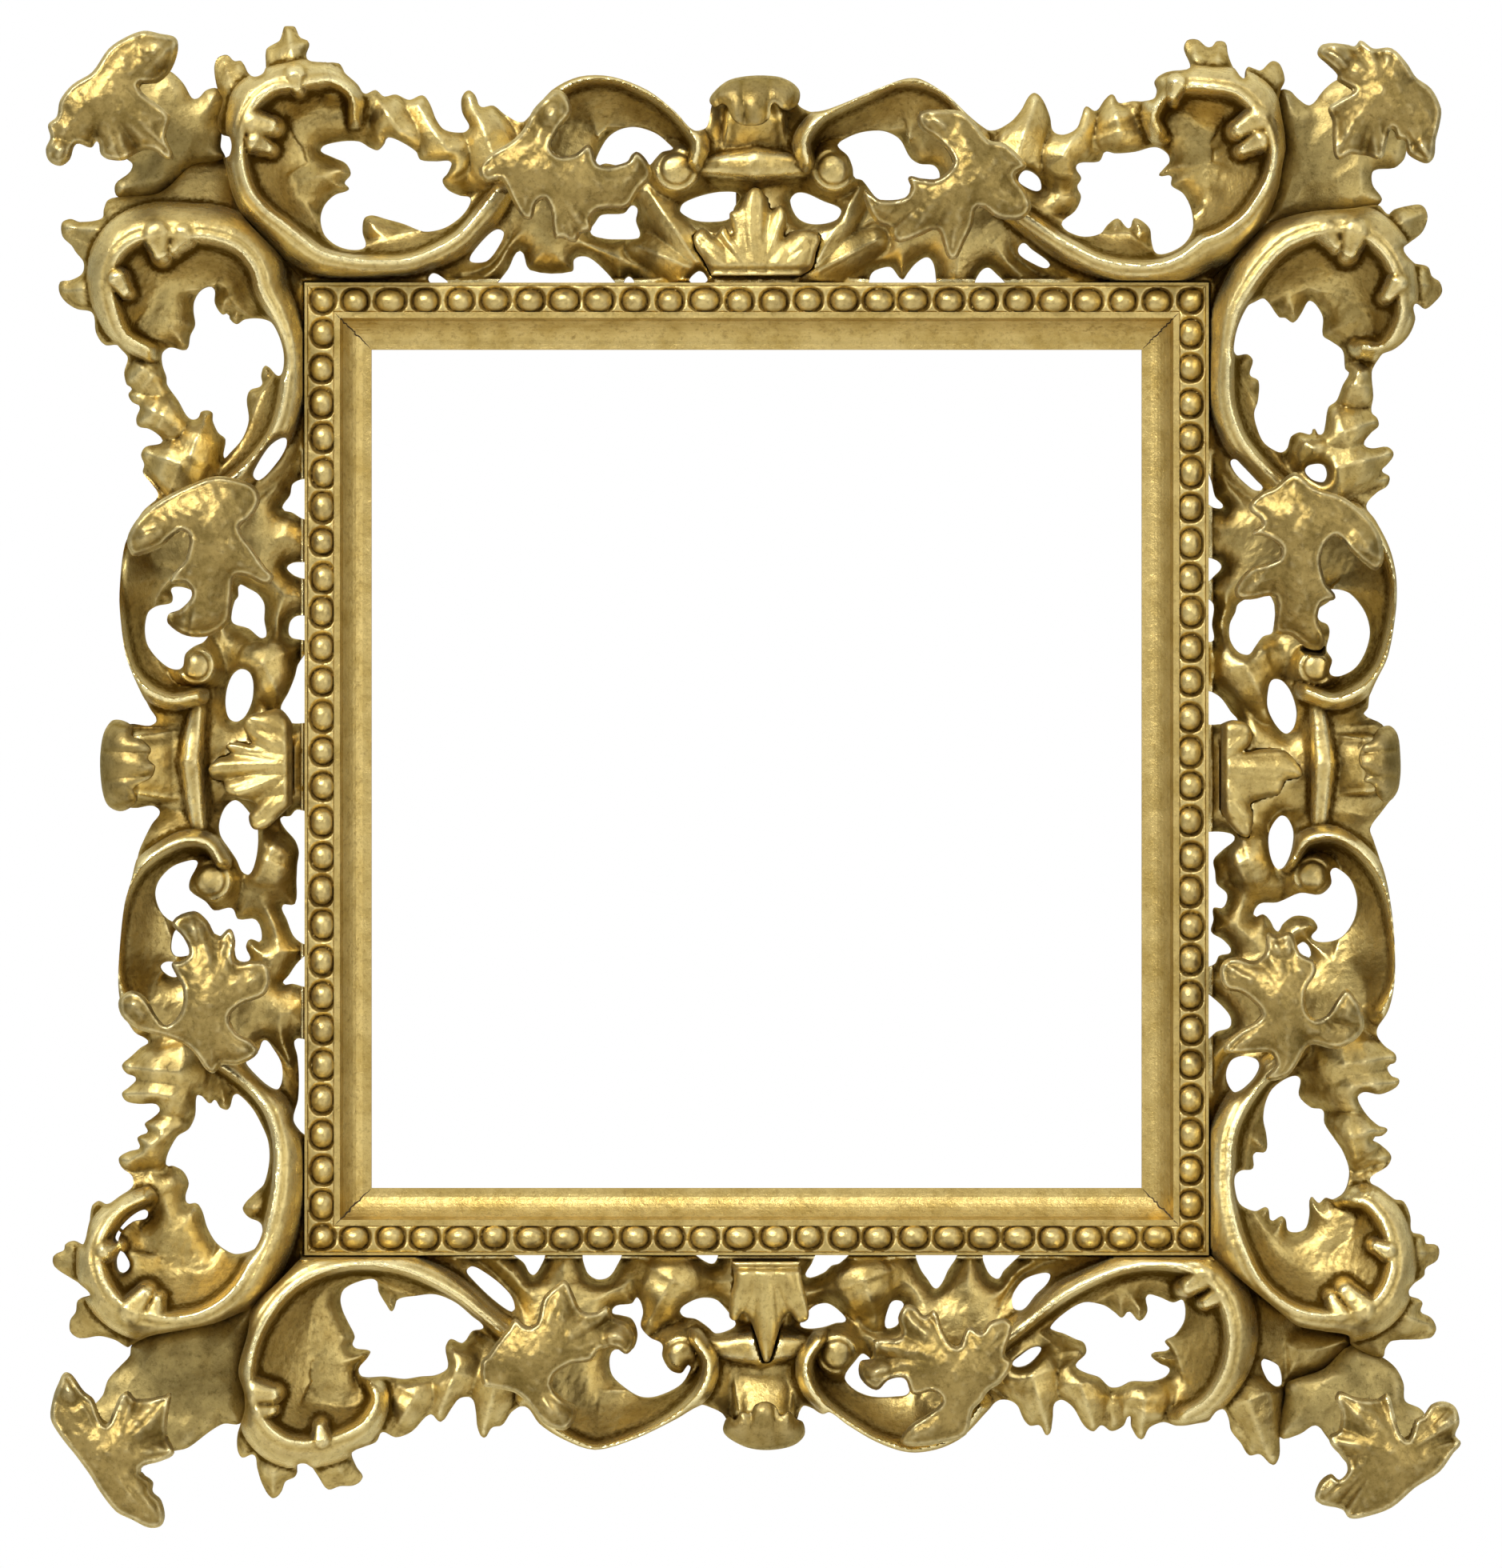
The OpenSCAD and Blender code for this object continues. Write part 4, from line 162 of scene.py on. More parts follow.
# Bead courses
# A strip let into each rail and carved in place: squarish round beads of 9 x 7.5 mm, close together, each a
# little different, because they were cut by eye, and gilded with the same burnished leaf.
bead_strip_w, bead_long, bead_across, bead_high, bead_pitch = 9.0, 9.1, 7.5, 4.2, 11.6
bead_edge, bead_shift = 0.9, 0.7  # fillet outside the strip, and the beads' place inwards of its middle
bead_square = 2.25  # 2 would be an ellipse, and more is squarer
bead_wander = 0.3  # how far a bead may stand from its even place
bead_longs, bead_highs = (0.96, -0.08, 0.07), (0.94, -0.12, 0.06)  # shares: the mean, and the spread round it
strip_low, strip_top, strip_round, bead_cell = 23.4, 25.0, 0.5, 0.42
pit_depth, pit_share = 1.6, 0.35  # the pit round a bead reaches out by that share of its size
outline_reach = 13.0  # distances from an outline are worked out up to this
mark_waves = 9
straight_from, curve_pieces, curve_pull = 17.0, 4, 0.9  # edges longer than the first stay straight
rim_outside, rim_inside = 0.71, 0.3  # cells outside and inside the outline from which grid points go onto it
crease_r, trough_r, rim_w = 1.0, 3.0, 1.4  # mm round a point for its creases, its troughs, and the rim's wear
crease_out, trough_out, crest_out = (0.05, 1.1), (0.8, 5), (0.1, 1.3)  # mm off the surface round it: from, over
# Weights of painted shade and dirt in creases, troughs and on the back, and of wear with a painted highlight on
# crests
crease_shade_and_dirt, trough_shade_and_dirt, crest_wear_and_highlight, back_shade_and_dirt = 0.75, 0.38, 0.85, 0.5
one_spot, sliver = 0.02, 0.004  # rim points this near, in mm, are one, and triangles this small, in cells, go
sharp_angle = math.radians(62)
burnished_gold = gold_leaf("burnished_gold_leaf", "#5a4212", "#a68e52", "#c8b272", "#faecb4")


def drawing_to_world(points, heights):
    """Points in mm from the middle of the moulding, X right and Y up, with heights off the back."""
    return np.column_stack([points[:, 0], -heights, points[:, 1] + centre_z]) * MM


def to_outline(points, loops, reach=outline_reach):
    """How far each point lies inside the loops (negative outside), and the nearest point on them."""
    order = np.argsort(points[:, 0], kind="stable")
    px, py = points[order, 0], points[order, 1]
    best = np.full(len(points), reach * reach)
    near_x, near_y = px.copy(), py.copy()
    inside = np.zeros(len(points), bool)
    for loop in loops:
        for (ax, ay), (bx, by) in zip(loop, np.roll(loop, -1, axis=0)):
            ex, ey = bx - ax, by - ay
            length = ex * ex + ey * ey
            if length < 1e-12:
                continue
            i, j = np.searchsorted(px, [min(ax, bx) - reach, max(ax, bx) + reach])
            share = np.clip(((px[i:j] - ax) * ex + (py[i:j] - ay) * ey) / length, 0, 1)
            qx, qy = ax + share * ex, ay + share * ey
            gap = (px[i:j] - qx) ** 2 + (py[i:j] - qy) ** 2
            closer = gap < best[i:j]
            best[i:j][closer], near_x[i:j][closer], near_y[i:j][closer] = gap[closer], qx[closer], qy[closer]
            if ax != bx:
                i, j = np.searchsorted(px, [min(ax, bx), max(ax, bx)])
                inside[i:j] ^= py[i:j] < ay + (px[i:j] - ax) * ey / ex
    depth, nearest = np.zeros(len(points)), np.zeros_like(points)
    depth[order] = np.where(inside, 1, -1) * np.sqrt(best)
    nearest[order] = np.column_stack([near_x, near_y])
    return depth, nearest


def rounded(loop, straight=straight_from, pieces=curve_pieces, pull=curve_pull):
    """A sawn outline turned into smooth lobes: a curve through its points, with its long edges kept straight."""
    found = []
    for k in range(len(loop)):
        p0, p1, p2, p3 = loop[k - 1], loop[k], loop[(k + 1) % len(loop)], loop[(k + 2) % len(loop)]
        length = np.linalg.norm(p2 - p1)
        if length > straight:
            found.append(p1)
            continue
        before, after = p2 - p0, p3 - p1
        m1 = before / max(np.linalg.norm(before), 1e-6) * length * pull * (np.linalg.norm(p1 - p0) < straight)
        m2 = after / max(np.linalg.norm(after), 1e-6) * length * pull * (np.linalg.norm(p3 - p2) < straight)
        for t in np.arange(pieces) / pieces:
            found.append((2 * t ** 3 - 3 * t * t + 1) * p1 + (t ** 3 - 2 * t * t + t) * m1
                         + (3 * t * t - 2 * t ** 3) * p2 + (t ** 3 - t * t) * m2)
    return np.array(found)


def blurred(grid, mask, cells):
    """A soft average over that many grid cells each way, counting only the piece itself."""
    def soften(a):
        for axis in (0, 1, 0, 1):
            pad = [(0, 0), (0, 0)]
            pad[axis] = (cells + 1, cells)
            total = np.cumsum(np.pad(a, pad), axis=axis)
            take = np.arange(a.shape[axis])
            a = (np.take(total, take + 2 * cells + 1, axis) - np.take(total, take, axis)) / (2 * cells + 1)
        return a
    return soften(grid * mask) / np.maximum(soften(mask.astype(float)), 1e-6)


def tool_marks(points, depth_mm, seed, shortest=4.5, longest=13.0):
    """Shallow unevenness of hand carving, as waves in several directions."""
    rng = np.random.default_rng(seed)
    marks = np.zeros(len(points))
    for _ in range(mark_waves):
        turn, wave, phase = rng.uniform(0, math.pi), rng.uniform(shortest, longest), rng.uniform(0, 2 * math.pi)
        along = points[:, 0] * math.cos(turn) + points[:, 1] * math.sin(turn)
        marks += np.sin(along * 2 * math.pi / wave + phase)
    return marks * depth_mm / math.sqrt(mark_waves)


def twice_area(points, triangles):
    p, q, r = (points[triangles[:, k]] for k in range(3))
    return (q[:, 0] - p[:, 0]) * (r[:, 1] - p[:, 1]) - (q[:, 1] - p[:, 1]) * (r[:, 0] - p[:, 0])


def rim_rings(rim_edges):
    """Closed rings of point numbers along edges that follow each other."""
    following = {}
    for i, j in rim_edges.tolist():
        following.setdefault(i, []).append(j)
    rings = []
    while following:
        here = next(iter(following))
        ring = []
        while here in following:
            ring.append(here)
            onward = following[here].pop()
            if not following[here]:
                del following[here]
            here = onward
        if len(ring) > 2:
            rings.append(ring)
    return rings


def flat_back(points, rim_edges):
    """Triangles of a flat back inside the rim, with its pierced holes, as rows of rim point numbers."""
    rim = np.unique(rim_edges)
    place = np.full(len(points), -1)
    place[rim] = np.arange(len(rim))
    _, _, faces, origin, _, _ = delaunay_2d_cdt(
        [Vector(p) for p in points[rim].tolist()], place[rim_edges].tolist(), [], 0, 1e-7)
    number = np.array([rim[o[0]] if len(o) else -1 for o in origin])
    triangles = number[np.array([f for f in faces if len(f) == 3])]
    triangles = triangles[(triangles >= 0).all(axis=1)]
    depth, _ = to_outline(points[triangles].mean(axis=1), [points[e] for e in rim_rings(rim_edges)])
    triangles = triangles[depth > 0]
    area = twice_area(points, triangles)
    triangles[area > 0] = triangles[area > 0][:, ::-1]
    return triangles[np.abs(area) > 1e-9]


def put_in_scene(name, data):
    thing = bpy.data.objects.new(name, data)
    bpy.context.scene.collection.objects.link(thing)
    return thing


def carve(name, node, loops, cell, height, under=0.0, back=None, front=burnished_gold, rim_wear_and_highlight=0.0):
    """A carved piece as one closed mesh that stands for a CAD node.

    A grid of cells of so many mm lies over the outline, and its rim points are drawn onto the outline itself.
    height(points, depth) gives the surface. under is the flat back's height, or a function that gives it.
    """
    low = np.min([loop.min(0) for loop in loops], axis=0) - cell
    high = np.max([loop.max(0) for loop in loops], axis=0) + cell
    nx, ny = (np.ceil((high - low) / cell).astype(int) + 1)
    gx, gy = np.meshgrid(low[0] + cell * np.arange(nx), low[1] + cell * np.arange(ny), indexing="ij")
    points = np.column_stack([gx.ravel(), gy.ravel()])
    depth, nearest = to_outline(points, loops)
    solid = depth > -rim_outside * cell
    rim = solid & (depth < rim_inside * cell)
    points[rim], depth[rim] = nearest[rim], 0
    tops = np.zeros(len(points))
    tops[solid] = height(points[solid], depth[solid])
    # Painted shade and dirt darken the creases and troughs, found against the surface round them, and wear
    # with a painted highlight lightens the crests and the rim
    mask, grid = solid.reshape(nx, ny), tops.reshape(nx, ny)
    fine = blurred(grid, mask, max(1, round(crease_r / cell)))
    broad = blurred(grid, mask, max(2, round(trough_r / cell)))
    inner = np.clip(depth.reshape(nx, ny) / rim_w, 0, 1)
    creases, troughs, crests = (np.clip((off - least) / over, 0, 1) for off, (least, over) in (
        (fine - grid, crease_out), (broad - grid, trough_out), (grid - fine, crest_out)))
    hollow = (creases * crease_shade_and_dirt + troughs * trough_shade_and_dirt) * inner
    wear_and_highlight = crests * crest_wear_and_highlight + rim_wear_and_highlight * (1 - inner)
    index = np.arange(nx * ny).reshape(nx, ny)
    # Points that fell on the same spot of the outline become one
    key = np.round(points[rim] / one_spot).astype(np.int64)
    _, first, again = np.unique(key, axis=0, return_index=True, return_inverse=True)
    same = np.arange(nx * ny)
    same[np.flatnonzero(rim)] = np.flatnonzero(rim)[first][again.ravel()]
    # Each cell is cut along its flatter diagonal, and a cell with one corner outside gives one triangle
    flat = [same[c].ravel() for c in (index[:-1, :-1], index[1:, :-1], index[1:, 1:], index[:-1, 1:])]
    good = [c.ravel() for c in (mask[:-1, :-1], mask[1:, :-1], mask[1:, 1:], mask[:-1, 1:])]
    steep = np.abs(tops[flat[0]] - tops[flat[2]]) > np.abs(tops[flat[1]] - tops[flat[3]])
    whole = good[0] & good[1] & good[2] & good[3]
    cuts = [(whole & ~steep, (0, 1, 2)), (whole & ~steep, (0, 2, 3)),
            (whole & steep, (0, 1, 3)), (whole & steep, (1, 2, 3))]
    for gone in range(4):
        a, b, c = [k for k in range(4) if k != gone]
        cuts.append((good[a] & good[b] & good[c] & ~good[gone], (a, b, c)))
    faces = np.vstack([np.column_stack([flat[k][wanted] for k in corners]) for wanted, corners in cuts])
    faces = faces[twice_area(points, faces) > sliver * cell * cell]
    # Only the points in use stay
    used = np.unique(faces)
    number = np.full(nx * ny, -1)
    number[used] = np.arange(len(used))
    faces = number[faces]
    points, depth, tops = points[used], depth[used], tops[used]
    hollow, wear_and_highlight = hollow.ravel()[used], np.clip(wear_and_highlight.ravel()[used], 0, 1)
    # The rim: edges with a face on one side only
    edges = np.vstack([faces[:, [0, 1]], faces[:, [1, 2]], faces[:, [2, 0]]])
    n = len(points)
    rim_edges = edges[~np.isin(edges @ [n, 1], edges @ [1, n])]
    down = np.full(n, -1)
    if callable(under):
        bottoms, lower = under(points, depth, tops), np.arange(n)
        down[lower] = lower + n
        backs = down[faces[:, ::-1]]
    else:
        bottoms, lower = np.full(n, float(under)), np.unique(rim_edges)
        down[lower] = n + np.arange(len(lower))
        backs = down[flat_back(points, rim_edges)]
    vertices = np.vstack([drawing_to_world(points, tops), drawing_to_world(points[lower], bottoms[lower])])
    i, j = rim_edges[:, 0], rim_edges[:, 1]
    walls = np.vstack([np.column_stack([j, i, down[i]]), np.column_stack([j, down[i], down[j]])])
    triangles = np.vstack([faces, walls, backs]).astype(np.int32)
    mesh = bpy.data.meshes.new(name)
    mesh.vertices.add(len(vertices))
    mesh.vertices.foreach_set("co", vertices.astype(np.float32).ravel())
    mesh.loops.add(triangles.size)
    mesh.loops.foreach_set("vertex_index", triangles.ravel())
    mesh.polygons.add(len(triangles))
    mesh.polygons.foreach_set("loop_start", np.arange(0, triangles.size, 3, dtype=np.int32))
    mesh.update(calc_edges=True)
    # The back and the feet of the walls get half the painted shade and dirt, and no painted highlight or wear
    for label, values, behind in (("hollow", hollow, back_shade_and_dirt), ("wear_and_highlight", wear_and_highlight, 0.0)):
        values = np.concatenate([values, np.full(len(lower), behind)]).astype(np.float32)
        mesh.attributes.new(label, "FLOAT", "POINT").data.foreach_set("value", values)
    mesh.polygons.foreach_set("use_smooth", np.ones(len(triangles), bool))
    mesh.set_sharp_from_angle(angle=sharp_angle)
    mesh.materials.append(front)
    if back:
        mesh.materials.append(back)
        slots = np.zeros(len(triangles), np.int32)
        slots[len(faces) + len(walls):] = 1
        mesh.polygons.foreach_set("material_index", slots)
    piece = put_in_scene(name, mesh)
    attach(piece, "body")
    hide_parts(node)


def bead_course(side):
    """The strip is drawn with its outer edge along X, and then turned to its side of the frame."""
    lying = side in ("top", "bottom")
    half, reach = (moulding_w / 2, moulding_h / 2) if lying else (moulding_h / 2, moulding_w / 2)
    inner, outer = bead_edge + bead_strip_w, bead_edge
    middle = bead_edge + bead_strip_w / 2
    count = round((half - middle) * 2 / bead_pitch)
    step = (half - middle) * 2 / count
    ox, oy = {"top": (0, 1), "bottom": (0, -1), "left": (-1, 0), "right": (1, 0)}[side]
    x = np.array([-half + outer, -half + inner, half - inner, half - outer])
    y = np.array([-outer, -inner, -inner, -outer])
    loop = np.column_stack([x * oy + (y + reach) * ox, -x * ox + (y + reach) * oy])
    rng = np.random.default_rng(len(side) * 7 + ord(side[0]))
    # The beads at the two ends are shared with the next strip, so they are not varied
    varied = np.ones(count + 1)
    varied[[0, -1]] = 0
    wander = rng.uniform(-bead_wander, bead_wander, count + 1)
    places = -half + middle + step * np.arange(count + 1) + varied * wander
    longs, highs = (size * (mean + varied * rng.uniform(less, more, count + 1))
                    for size, (mean, less, more) in ((bead_long / 2, bead_longs), (bead_high, bead_highs)))
    shifts = varied * rng.uniform(-bead_wander, bead_wander, count + 1)

    def height(points, depth):
        x = points[:, 0] * oy - points[:, 1] * ox
        y = points[:, 0] * ox + points[:, 1] * oy - reach + middle + bead_shift
        k = np.argmin(np.abs(x[:, None] - places[None, :]), axis=1)
        dx, dy = (x - places[k]) / longs[k], (y - shifts[k]) / (bead_across / 2)
        # A bead is a little square, and stands in a shallow pit
        size = (np.abs(dx) ** bead_square + np.abs(dy) ** bead_square) ** (1 / bead_square)
        bead = strip_top - pit_depth + (highs[k] + pit_depth) * np.sqrt(np.clip(1 - size ** 2, 0, 1))
        pit = strip_top - pit_depth * np.clip(1 + pit_share - size, 0, pit_share) / pit_share
        edge = strip_top - strip_round * np.exp(-depth / strip_round)
        return np.where(size < 1, bead, np.minimum(pit, edge)) + tool_marks(points, 0.05, 5)

    if np.sum(loop[:, 0] * np.roll(loop[:, 1], -1) - np.roll(loop[:, 0], -1) * loop[:, 1]) < 0:
        loop = loop[::-1]
    carve(f"{side}_bead_course", f"{side}_beads", [loop], bead_cell, height, under=strip_low)


for side in sides:
    bead_course(side)

# Pierced boards
# Four boards of lime wood, 12 mm thick at the back, sawn and pierced to the outline and then carved in the
# round with gouges: big C-scrolls with a thin lip and a deep hollow, small scrolls, and acanthus tufts between.
# All the tables are in pixels of the photograph, and their heights in 230ths of the frame's depth.
drawing_centre, drawing_half = np.array([946.0, 961.0]), np.array([564.0, 607.0])
carving_w, carving_h, relief_px, reach_px = 87.0, 62.0, 230.0, 322.0
board_t, board_edge_t, board_rise, board_fall, board_cell = 12.0, 5.5, 8.5, 3.2, 0.58
leaf_dome_r, leaf_room, trough_floor = 46.1, 5.2, 12.5
side_slope, fold_slope = 2.4, 10.0  # how steeply forms fall off beside a band or an eye, and beside a fold
scroll_swell, scroll_foot = 1.25, 0.48  # its outer width against the table's, and its height at the foot
scroll_lip, line_at, line_w, line_deep = 1.9, 2.6, 0.7, 0.5  # the lip's half width, and a line cut outside it
scroll_margin, scroll_least, scroll_power = 6, 0.6, 2.6  # mm beyond its widths, least width, and its roundness
roll_fall, trough_fall = 0.9, 2.5  # slopes beyond the band and beyond the hollow
floor_share, hollow_share, hollow_power, lip_share = 0.45, 0.62, 1.7, 0.38
tuft_arch, tuft_crease, tuft_vein, tuft_rim = 2.6, 2.3, 0.55, 3.0
tuft_top, tuft_power, tuft_vein_w, tuft_rim_w, tuft_least = 0.9, 1.8, 0.22, 1.2, 0.75
tuft_from, tuft_over = 0.12, 0.5  # weight of the nearest rib at which a tuft starts, and over which it grows
lobe_swell, lobe_foot, neck_edge = 1.12, 0.72, 2.2
seam_w, seam_depth = 1.7, 40  # next to the moulding the rim counts as lying so deep inside, so it isn't rounded
high_from, high_rim, high_rim_w = 10, 4.5, 1.3  # the rim of a high form is rounded more
leaf_clear, palmette_clear, moulding_clear = 9, 14, 25  # how steeply the board rises beside what lies on it
board_least = 2.5
moulding_gap, leaf_gap, palmette_gap = 0.15, 0.25, 0.15
# Scrolls of each board: the side of the travel on which the scroll is rounded (1 left of it on the drawing,
# -1 right), and the crest's points, each with its height, the width outside it and the hollow's inside it
scrolls_px = {
    "top": [
        [-1, [[443, 152, 120, 8, 10], [440, 122, 140, 12, 14], [418, 106, 150, 18, 18], [395, 107, 158, 27, 35],
            [370, 112, 165, 28, 45], [345, 116, 170, 26, 70], [325, 132, 172, 30, 80], [312, 155, 172, 24, 85],
            [306, 185, 172, 18, 90], [308, 215, 170, 20, 90], [318, 243, 168, 22, 75], [338, 266, 165, 22, 55],
            [358, 281, 162, 26, 40], [382, 300, 158, 28, 26], [405, 316, 152, 24, 20], [440, 324, 146, 20, 16],
            [480, 327, 140, 16, 30], [515, 324, 134, 16, 35], [548, 311, 128, 18, 30], [575, 294, 122, 20, 26],
            [598, 268, 116, 22, 22], [622, 238, 110, 18, 16]]],
        [1, [[1450, 165, 120, 14, 12], [1443, 145, 140, 14, 16], [1458, 122, 150, 22, 20], [1482, 113, 158, 25, 40],
            [1512, 114, 164, 24, 60], [1542, 120, 168, 28, 70], [1562, 137, 170, 30, 85], [1578, 160, 172, 24, 100],
            [1588, 190, 172, 14, 110], [1584, 220, 170, 16, 105], [1572, 245, 168, 22, 90], [1552, 272, 165, 26, 70],
            [1525, 292, 162, 30, 45], [1500, 302, 158, 30, 30], [1475, 320, 152, 26, 22], [1445, 331, 146, 20, 18],
            [1410, 332, 140, 18, 40], [1375, 325, 134, 18, 35], [1345, 310, 128, 20, 28], [1315, 292, 122, 20, 22],
            [1290, 275, 116, 18, 18], [1262, 255, 110, 16, 14]]],
        [1, [[672, 168, 120, 14, 20], [682, 138, 132, 16, 40], [702, 115, 140, 14, 60], [732, 101, 146, 8, 75],
            [768, 101, 148, 6, 62], [800, 113, 148, 8, 50], [830, 130, 146, 10, 40], [854, 153, 142, 12, 34],
            [870, 180, 136, 14, 26], [866, 204, 128, 12, 18]]],
        [1, [[1012, 204, 128, 12, 18], [1008, 178, 136, 14, 26], [1024, 152, 142, 12, 34], [1054, 134, 146, 10, 40],
            [1088, 118, 148, 8, 50], [1122, 104, 148, 6, 62], [1156, 106, 146, 8, 75], [1186, 122, 140, 14, 60],
            [1206, 146, 132, 16, 40], [1220, 176, 120, 14, 20]]]],
    "right": [
        [-1, [[1702, 432, 110, 14, 12], [1728, 432, 125, 16, 20], [1746, 405, 140, 18, 50], [1748, 375, 150, 20, 60],
            [1740, 345, 160, 24, 70], [1725, 318, 166, 30, 75], [1700, 298, 170, 32, 75], [1668, 292, 172, 32, 70],
            [1635, 298, 172, 34, 70], [1605, 312, 170, 34, 60], [1582, 334, 168, 32, 50], [1562, 362, 164, 28, 30],
            [1546, 395, 158, 26, 14], [1540, 430, 152, 22, 12], [1536, 465, 146, 20, 14], [1537, 505, 140, 20, 32],
            [1550, 545, 134, 20, 30], [1572, 575, 126, 18, 24], [1598, 600, 118, 16, 18], [1625, 618, 110, 16, 14]]],
        [1, [[1684, 1500, 110, 14, 12], [1708, 1506, 125, 22, 30], [1727, 1530, 140, 24, 60],
            [1735, 1560, 150, 26, 80], [1734, 1590, 160, 28, 90], [1720, 1618, 166, 32, 90],
            [1692, 1636, 170, 32, 85], [1660, 1640, 172, 28, 80], [1625, 1636, 172, 28, 70],
            [1595, 1620, 170, 30, 60], [1572, 1596, 168, 32, 50], [1556, 1564, 164, 32, 40],
            [1544, 1530, 158, 30, 30], [1538, 1495, 152, 28, 20], [1537, 1458, 146, 26, 20],
            [1540, 1420, 140, 24, 24], [1552, 1388, 134, 22, 20], [1572, 1358, 126, 20, 16],
            [1596, 1336, 118, 18, 14], [1622, 1318, 110, 16, 14]]],
        [1, [[1690, 645, 120, 14, 20], [1716, 667, 132, 14, 40], [1734, 697, 140, 10, 60], [1742, 732, 146, 6, 75],
            [1741, 770, 148, 6, 45], [1734, 806, 148, 8, 36], [1721, 838, 146, 10, 34], [1698, 861, 142, 12, 30],
            [1666, 873, 136, 12, 26], [1632, 862, 128, 12, 20]]],
        [1, [[1614, 1078, 128, 12, 20], [1632, 1052, 136, 12, 26], [1662, 1046, 142, 12, 28],
            [1690, 1058, 146, 10, 32], [1714, 1082, 148, 10, 40], [1730, 1112, 148, 8, 45], [1739, 1148, 146, 6, 60],
            [1744, 1190, 140, 6, 75], [1742, 1230, 132, 10, 60], [1726, 1264, 120, 14, 30]]]],
    "bottom": [
        [1, [[461, 1721, 110, 12, 12], [470, 1748, 125, 14, 16], [455, 1776, 140, 20, 30], [425, 1792, 150, 26, 50],
            [392, 1799, 160, 28, 70], [360, 1795, 166, 30, 85], [335, 1775, 170, 28, 95], [320, 1745, 172, 20, 100],
            [316, 1712, 172, 16, 100], [322, 1678, 170, 20, 90], [338, 1644, 168, 26, 75], [362, 1614, 164, 28, 50],
            [392, 1594, 158, 26, 28], [425, 1583, 152, 16, 18], [460, 1580, 146, 14, 16], [500, 1585, 140, 16, 30],
            [540, 1600, 134, 18, 26], [575, 1622, 126, 18, 20], [604, 1645, 118, 16, 16], [632, 1668, 110, 16, 14]]],
        [-1, [[1478, 1765, 115, 16, 20], [1505, 1748, 130, 20, 40], [1524, 1720, 145, 24, 60],
            [1534, 1688, 158, 28, 75], [1534, 1655, 166, 30, 80], [1524, 1622, 170, 30, 70],
            [1503, 1596, 168, 28, 50], [1472, 1583, 164, 24, 30], [1438, 1580, 158, 16, 24],
            [1400, 1586, 150, 14, 24], [1365, 1600, 144, 14, 28], [1332, 1618, 136, 16, 24],
            [1302, 1640, 126, 16, 18], [1275, 1662, 118, 16, 16], [1250, 1682, 110, 14, 14]]],
        [-1, [[662, 1745, 120, 14, 20], [682, 1773, 132, 14, 40], [712, 1796, 140, 10, 60], [748, 1808, 146, 6, 75],
            [790, 1796, 148, 6, 62], [828, 1778, 148, 8, 50], [858, 1756, 146, 10, 40], [879, 1730, 142, 12, 34],
            [884, 1700, 136, 12, 26], [868, 1674, 128, 12, 18]]],
        [-1, [[1026, 1674, 128, 12, 18], [1010, 1700, 136, 12, 26], [1014, 1730, 142, 12, 34],
            [1036, 1758, 146, 10, 40], [1066, 1780, 148, 8, 50], [1102, 1799, 148, 6, 62], [1140, 1808, 146, 6, 75],
            [1176, 1802, 140, 8, 60], [1204, 1784, 132, 12, 40], [1224, 1756, 120, 14, 20]]]],
    "left": [
        [1, [[190, 436, 110, 14, 12], [160, 418, 125, 16, 20], [147, 388, 140, 22, 60], [142, 355, 150, 26, 80],
            [150, 325, 160, 30, 85], [170, 306, 166, 34, 80], [200, 298, 170, 36, 75], [235, 299, 172, 36, 65],
            [270, 302, 172, 36, 60], [300, 314, 170, 34, 50], [320, 338, 168, 30, 45], [328, 366, 164, 28, 38],
            [342, 394, 158, 26, 18], [354, 425, 152, 22, 12], [358, 460, 146, 20, 12], [355, 500, 140, 20, 30],
            [343, 540, 134, 20, 32], [320, 572, 126, 18, 26], [292, 597, 118, 16, 20], [262, 615, 110, 16, 14]]],
        [-1, [[183, 1498, 110, 12, 14], [155, 1512, 125, 16, 30], [137, 1535, 140, 20, 60], [128, 1560, 150, 24, 80],
            [132, 1590, 160, 28, 90], [148, 1618, 166, 30, 90], [175, 1636, 170, 30, 85], [210, 1643, 172, 28, 75],
            [245, 1640, 172, 28, 70], [275, 1626, 170, 30, 55], [298, 1604, 168, 34, 45], [315, 1575, 164, 34, 40],
            [332, 1540, 158, 32, 16], [342, 1505, 152, 30, 12], [347, 1465, 146, 28, 12], [346, 1425, 140, 26, 12],
            [336, 1390, 134, 24, 12], [316, 1362, 126, 20, 14], [292, 1342, 118, 18, 14], [265, 1325, 110, 16, 14]]],
        [-1, [[190, 640, 120, 14, 20], [163, 662, 132, 14, 40], [147, 692, 140, 10, 60], [144, 726, 146, 6, 75],
            [150, 762, 148, 6, 45], [155, 800, 148, 8, 36], [166, 836, 146, 10, 34], [186, 860, 142, 12, 30],
            [216, 873, 136, 12, 26], [248, 868, 128, 12, 20]]],
        [-1, [[276, 1078, 128, 12, 20], [262, 1056, 136, 12, 26], [234, 1052, 142, 12, 28], [204, 1064, 146, 10, 32],
            [177, 1086, 148, 10, 40], [160, 1115, 148, 8, 45], [151, 1150, 146, 6, 60], [147, 1190, 140, 6, 75],
            [150, 1228, 132, 10, 60], [165, 1262, 120, 14, 30]]]]}
# Round eyes at the inner ends of the small scrolls: centre and radius
eyes_px = {"top": [[846, 212, 26], [1042, 212, 26]], "left": [[246, 832, 22], [264, 1100, 25]],
           "right": [[1645, 834, 22], [1640, 1094, 23]], "bottom": [[852, 1694, 24], [1046, 1692, 24]]}
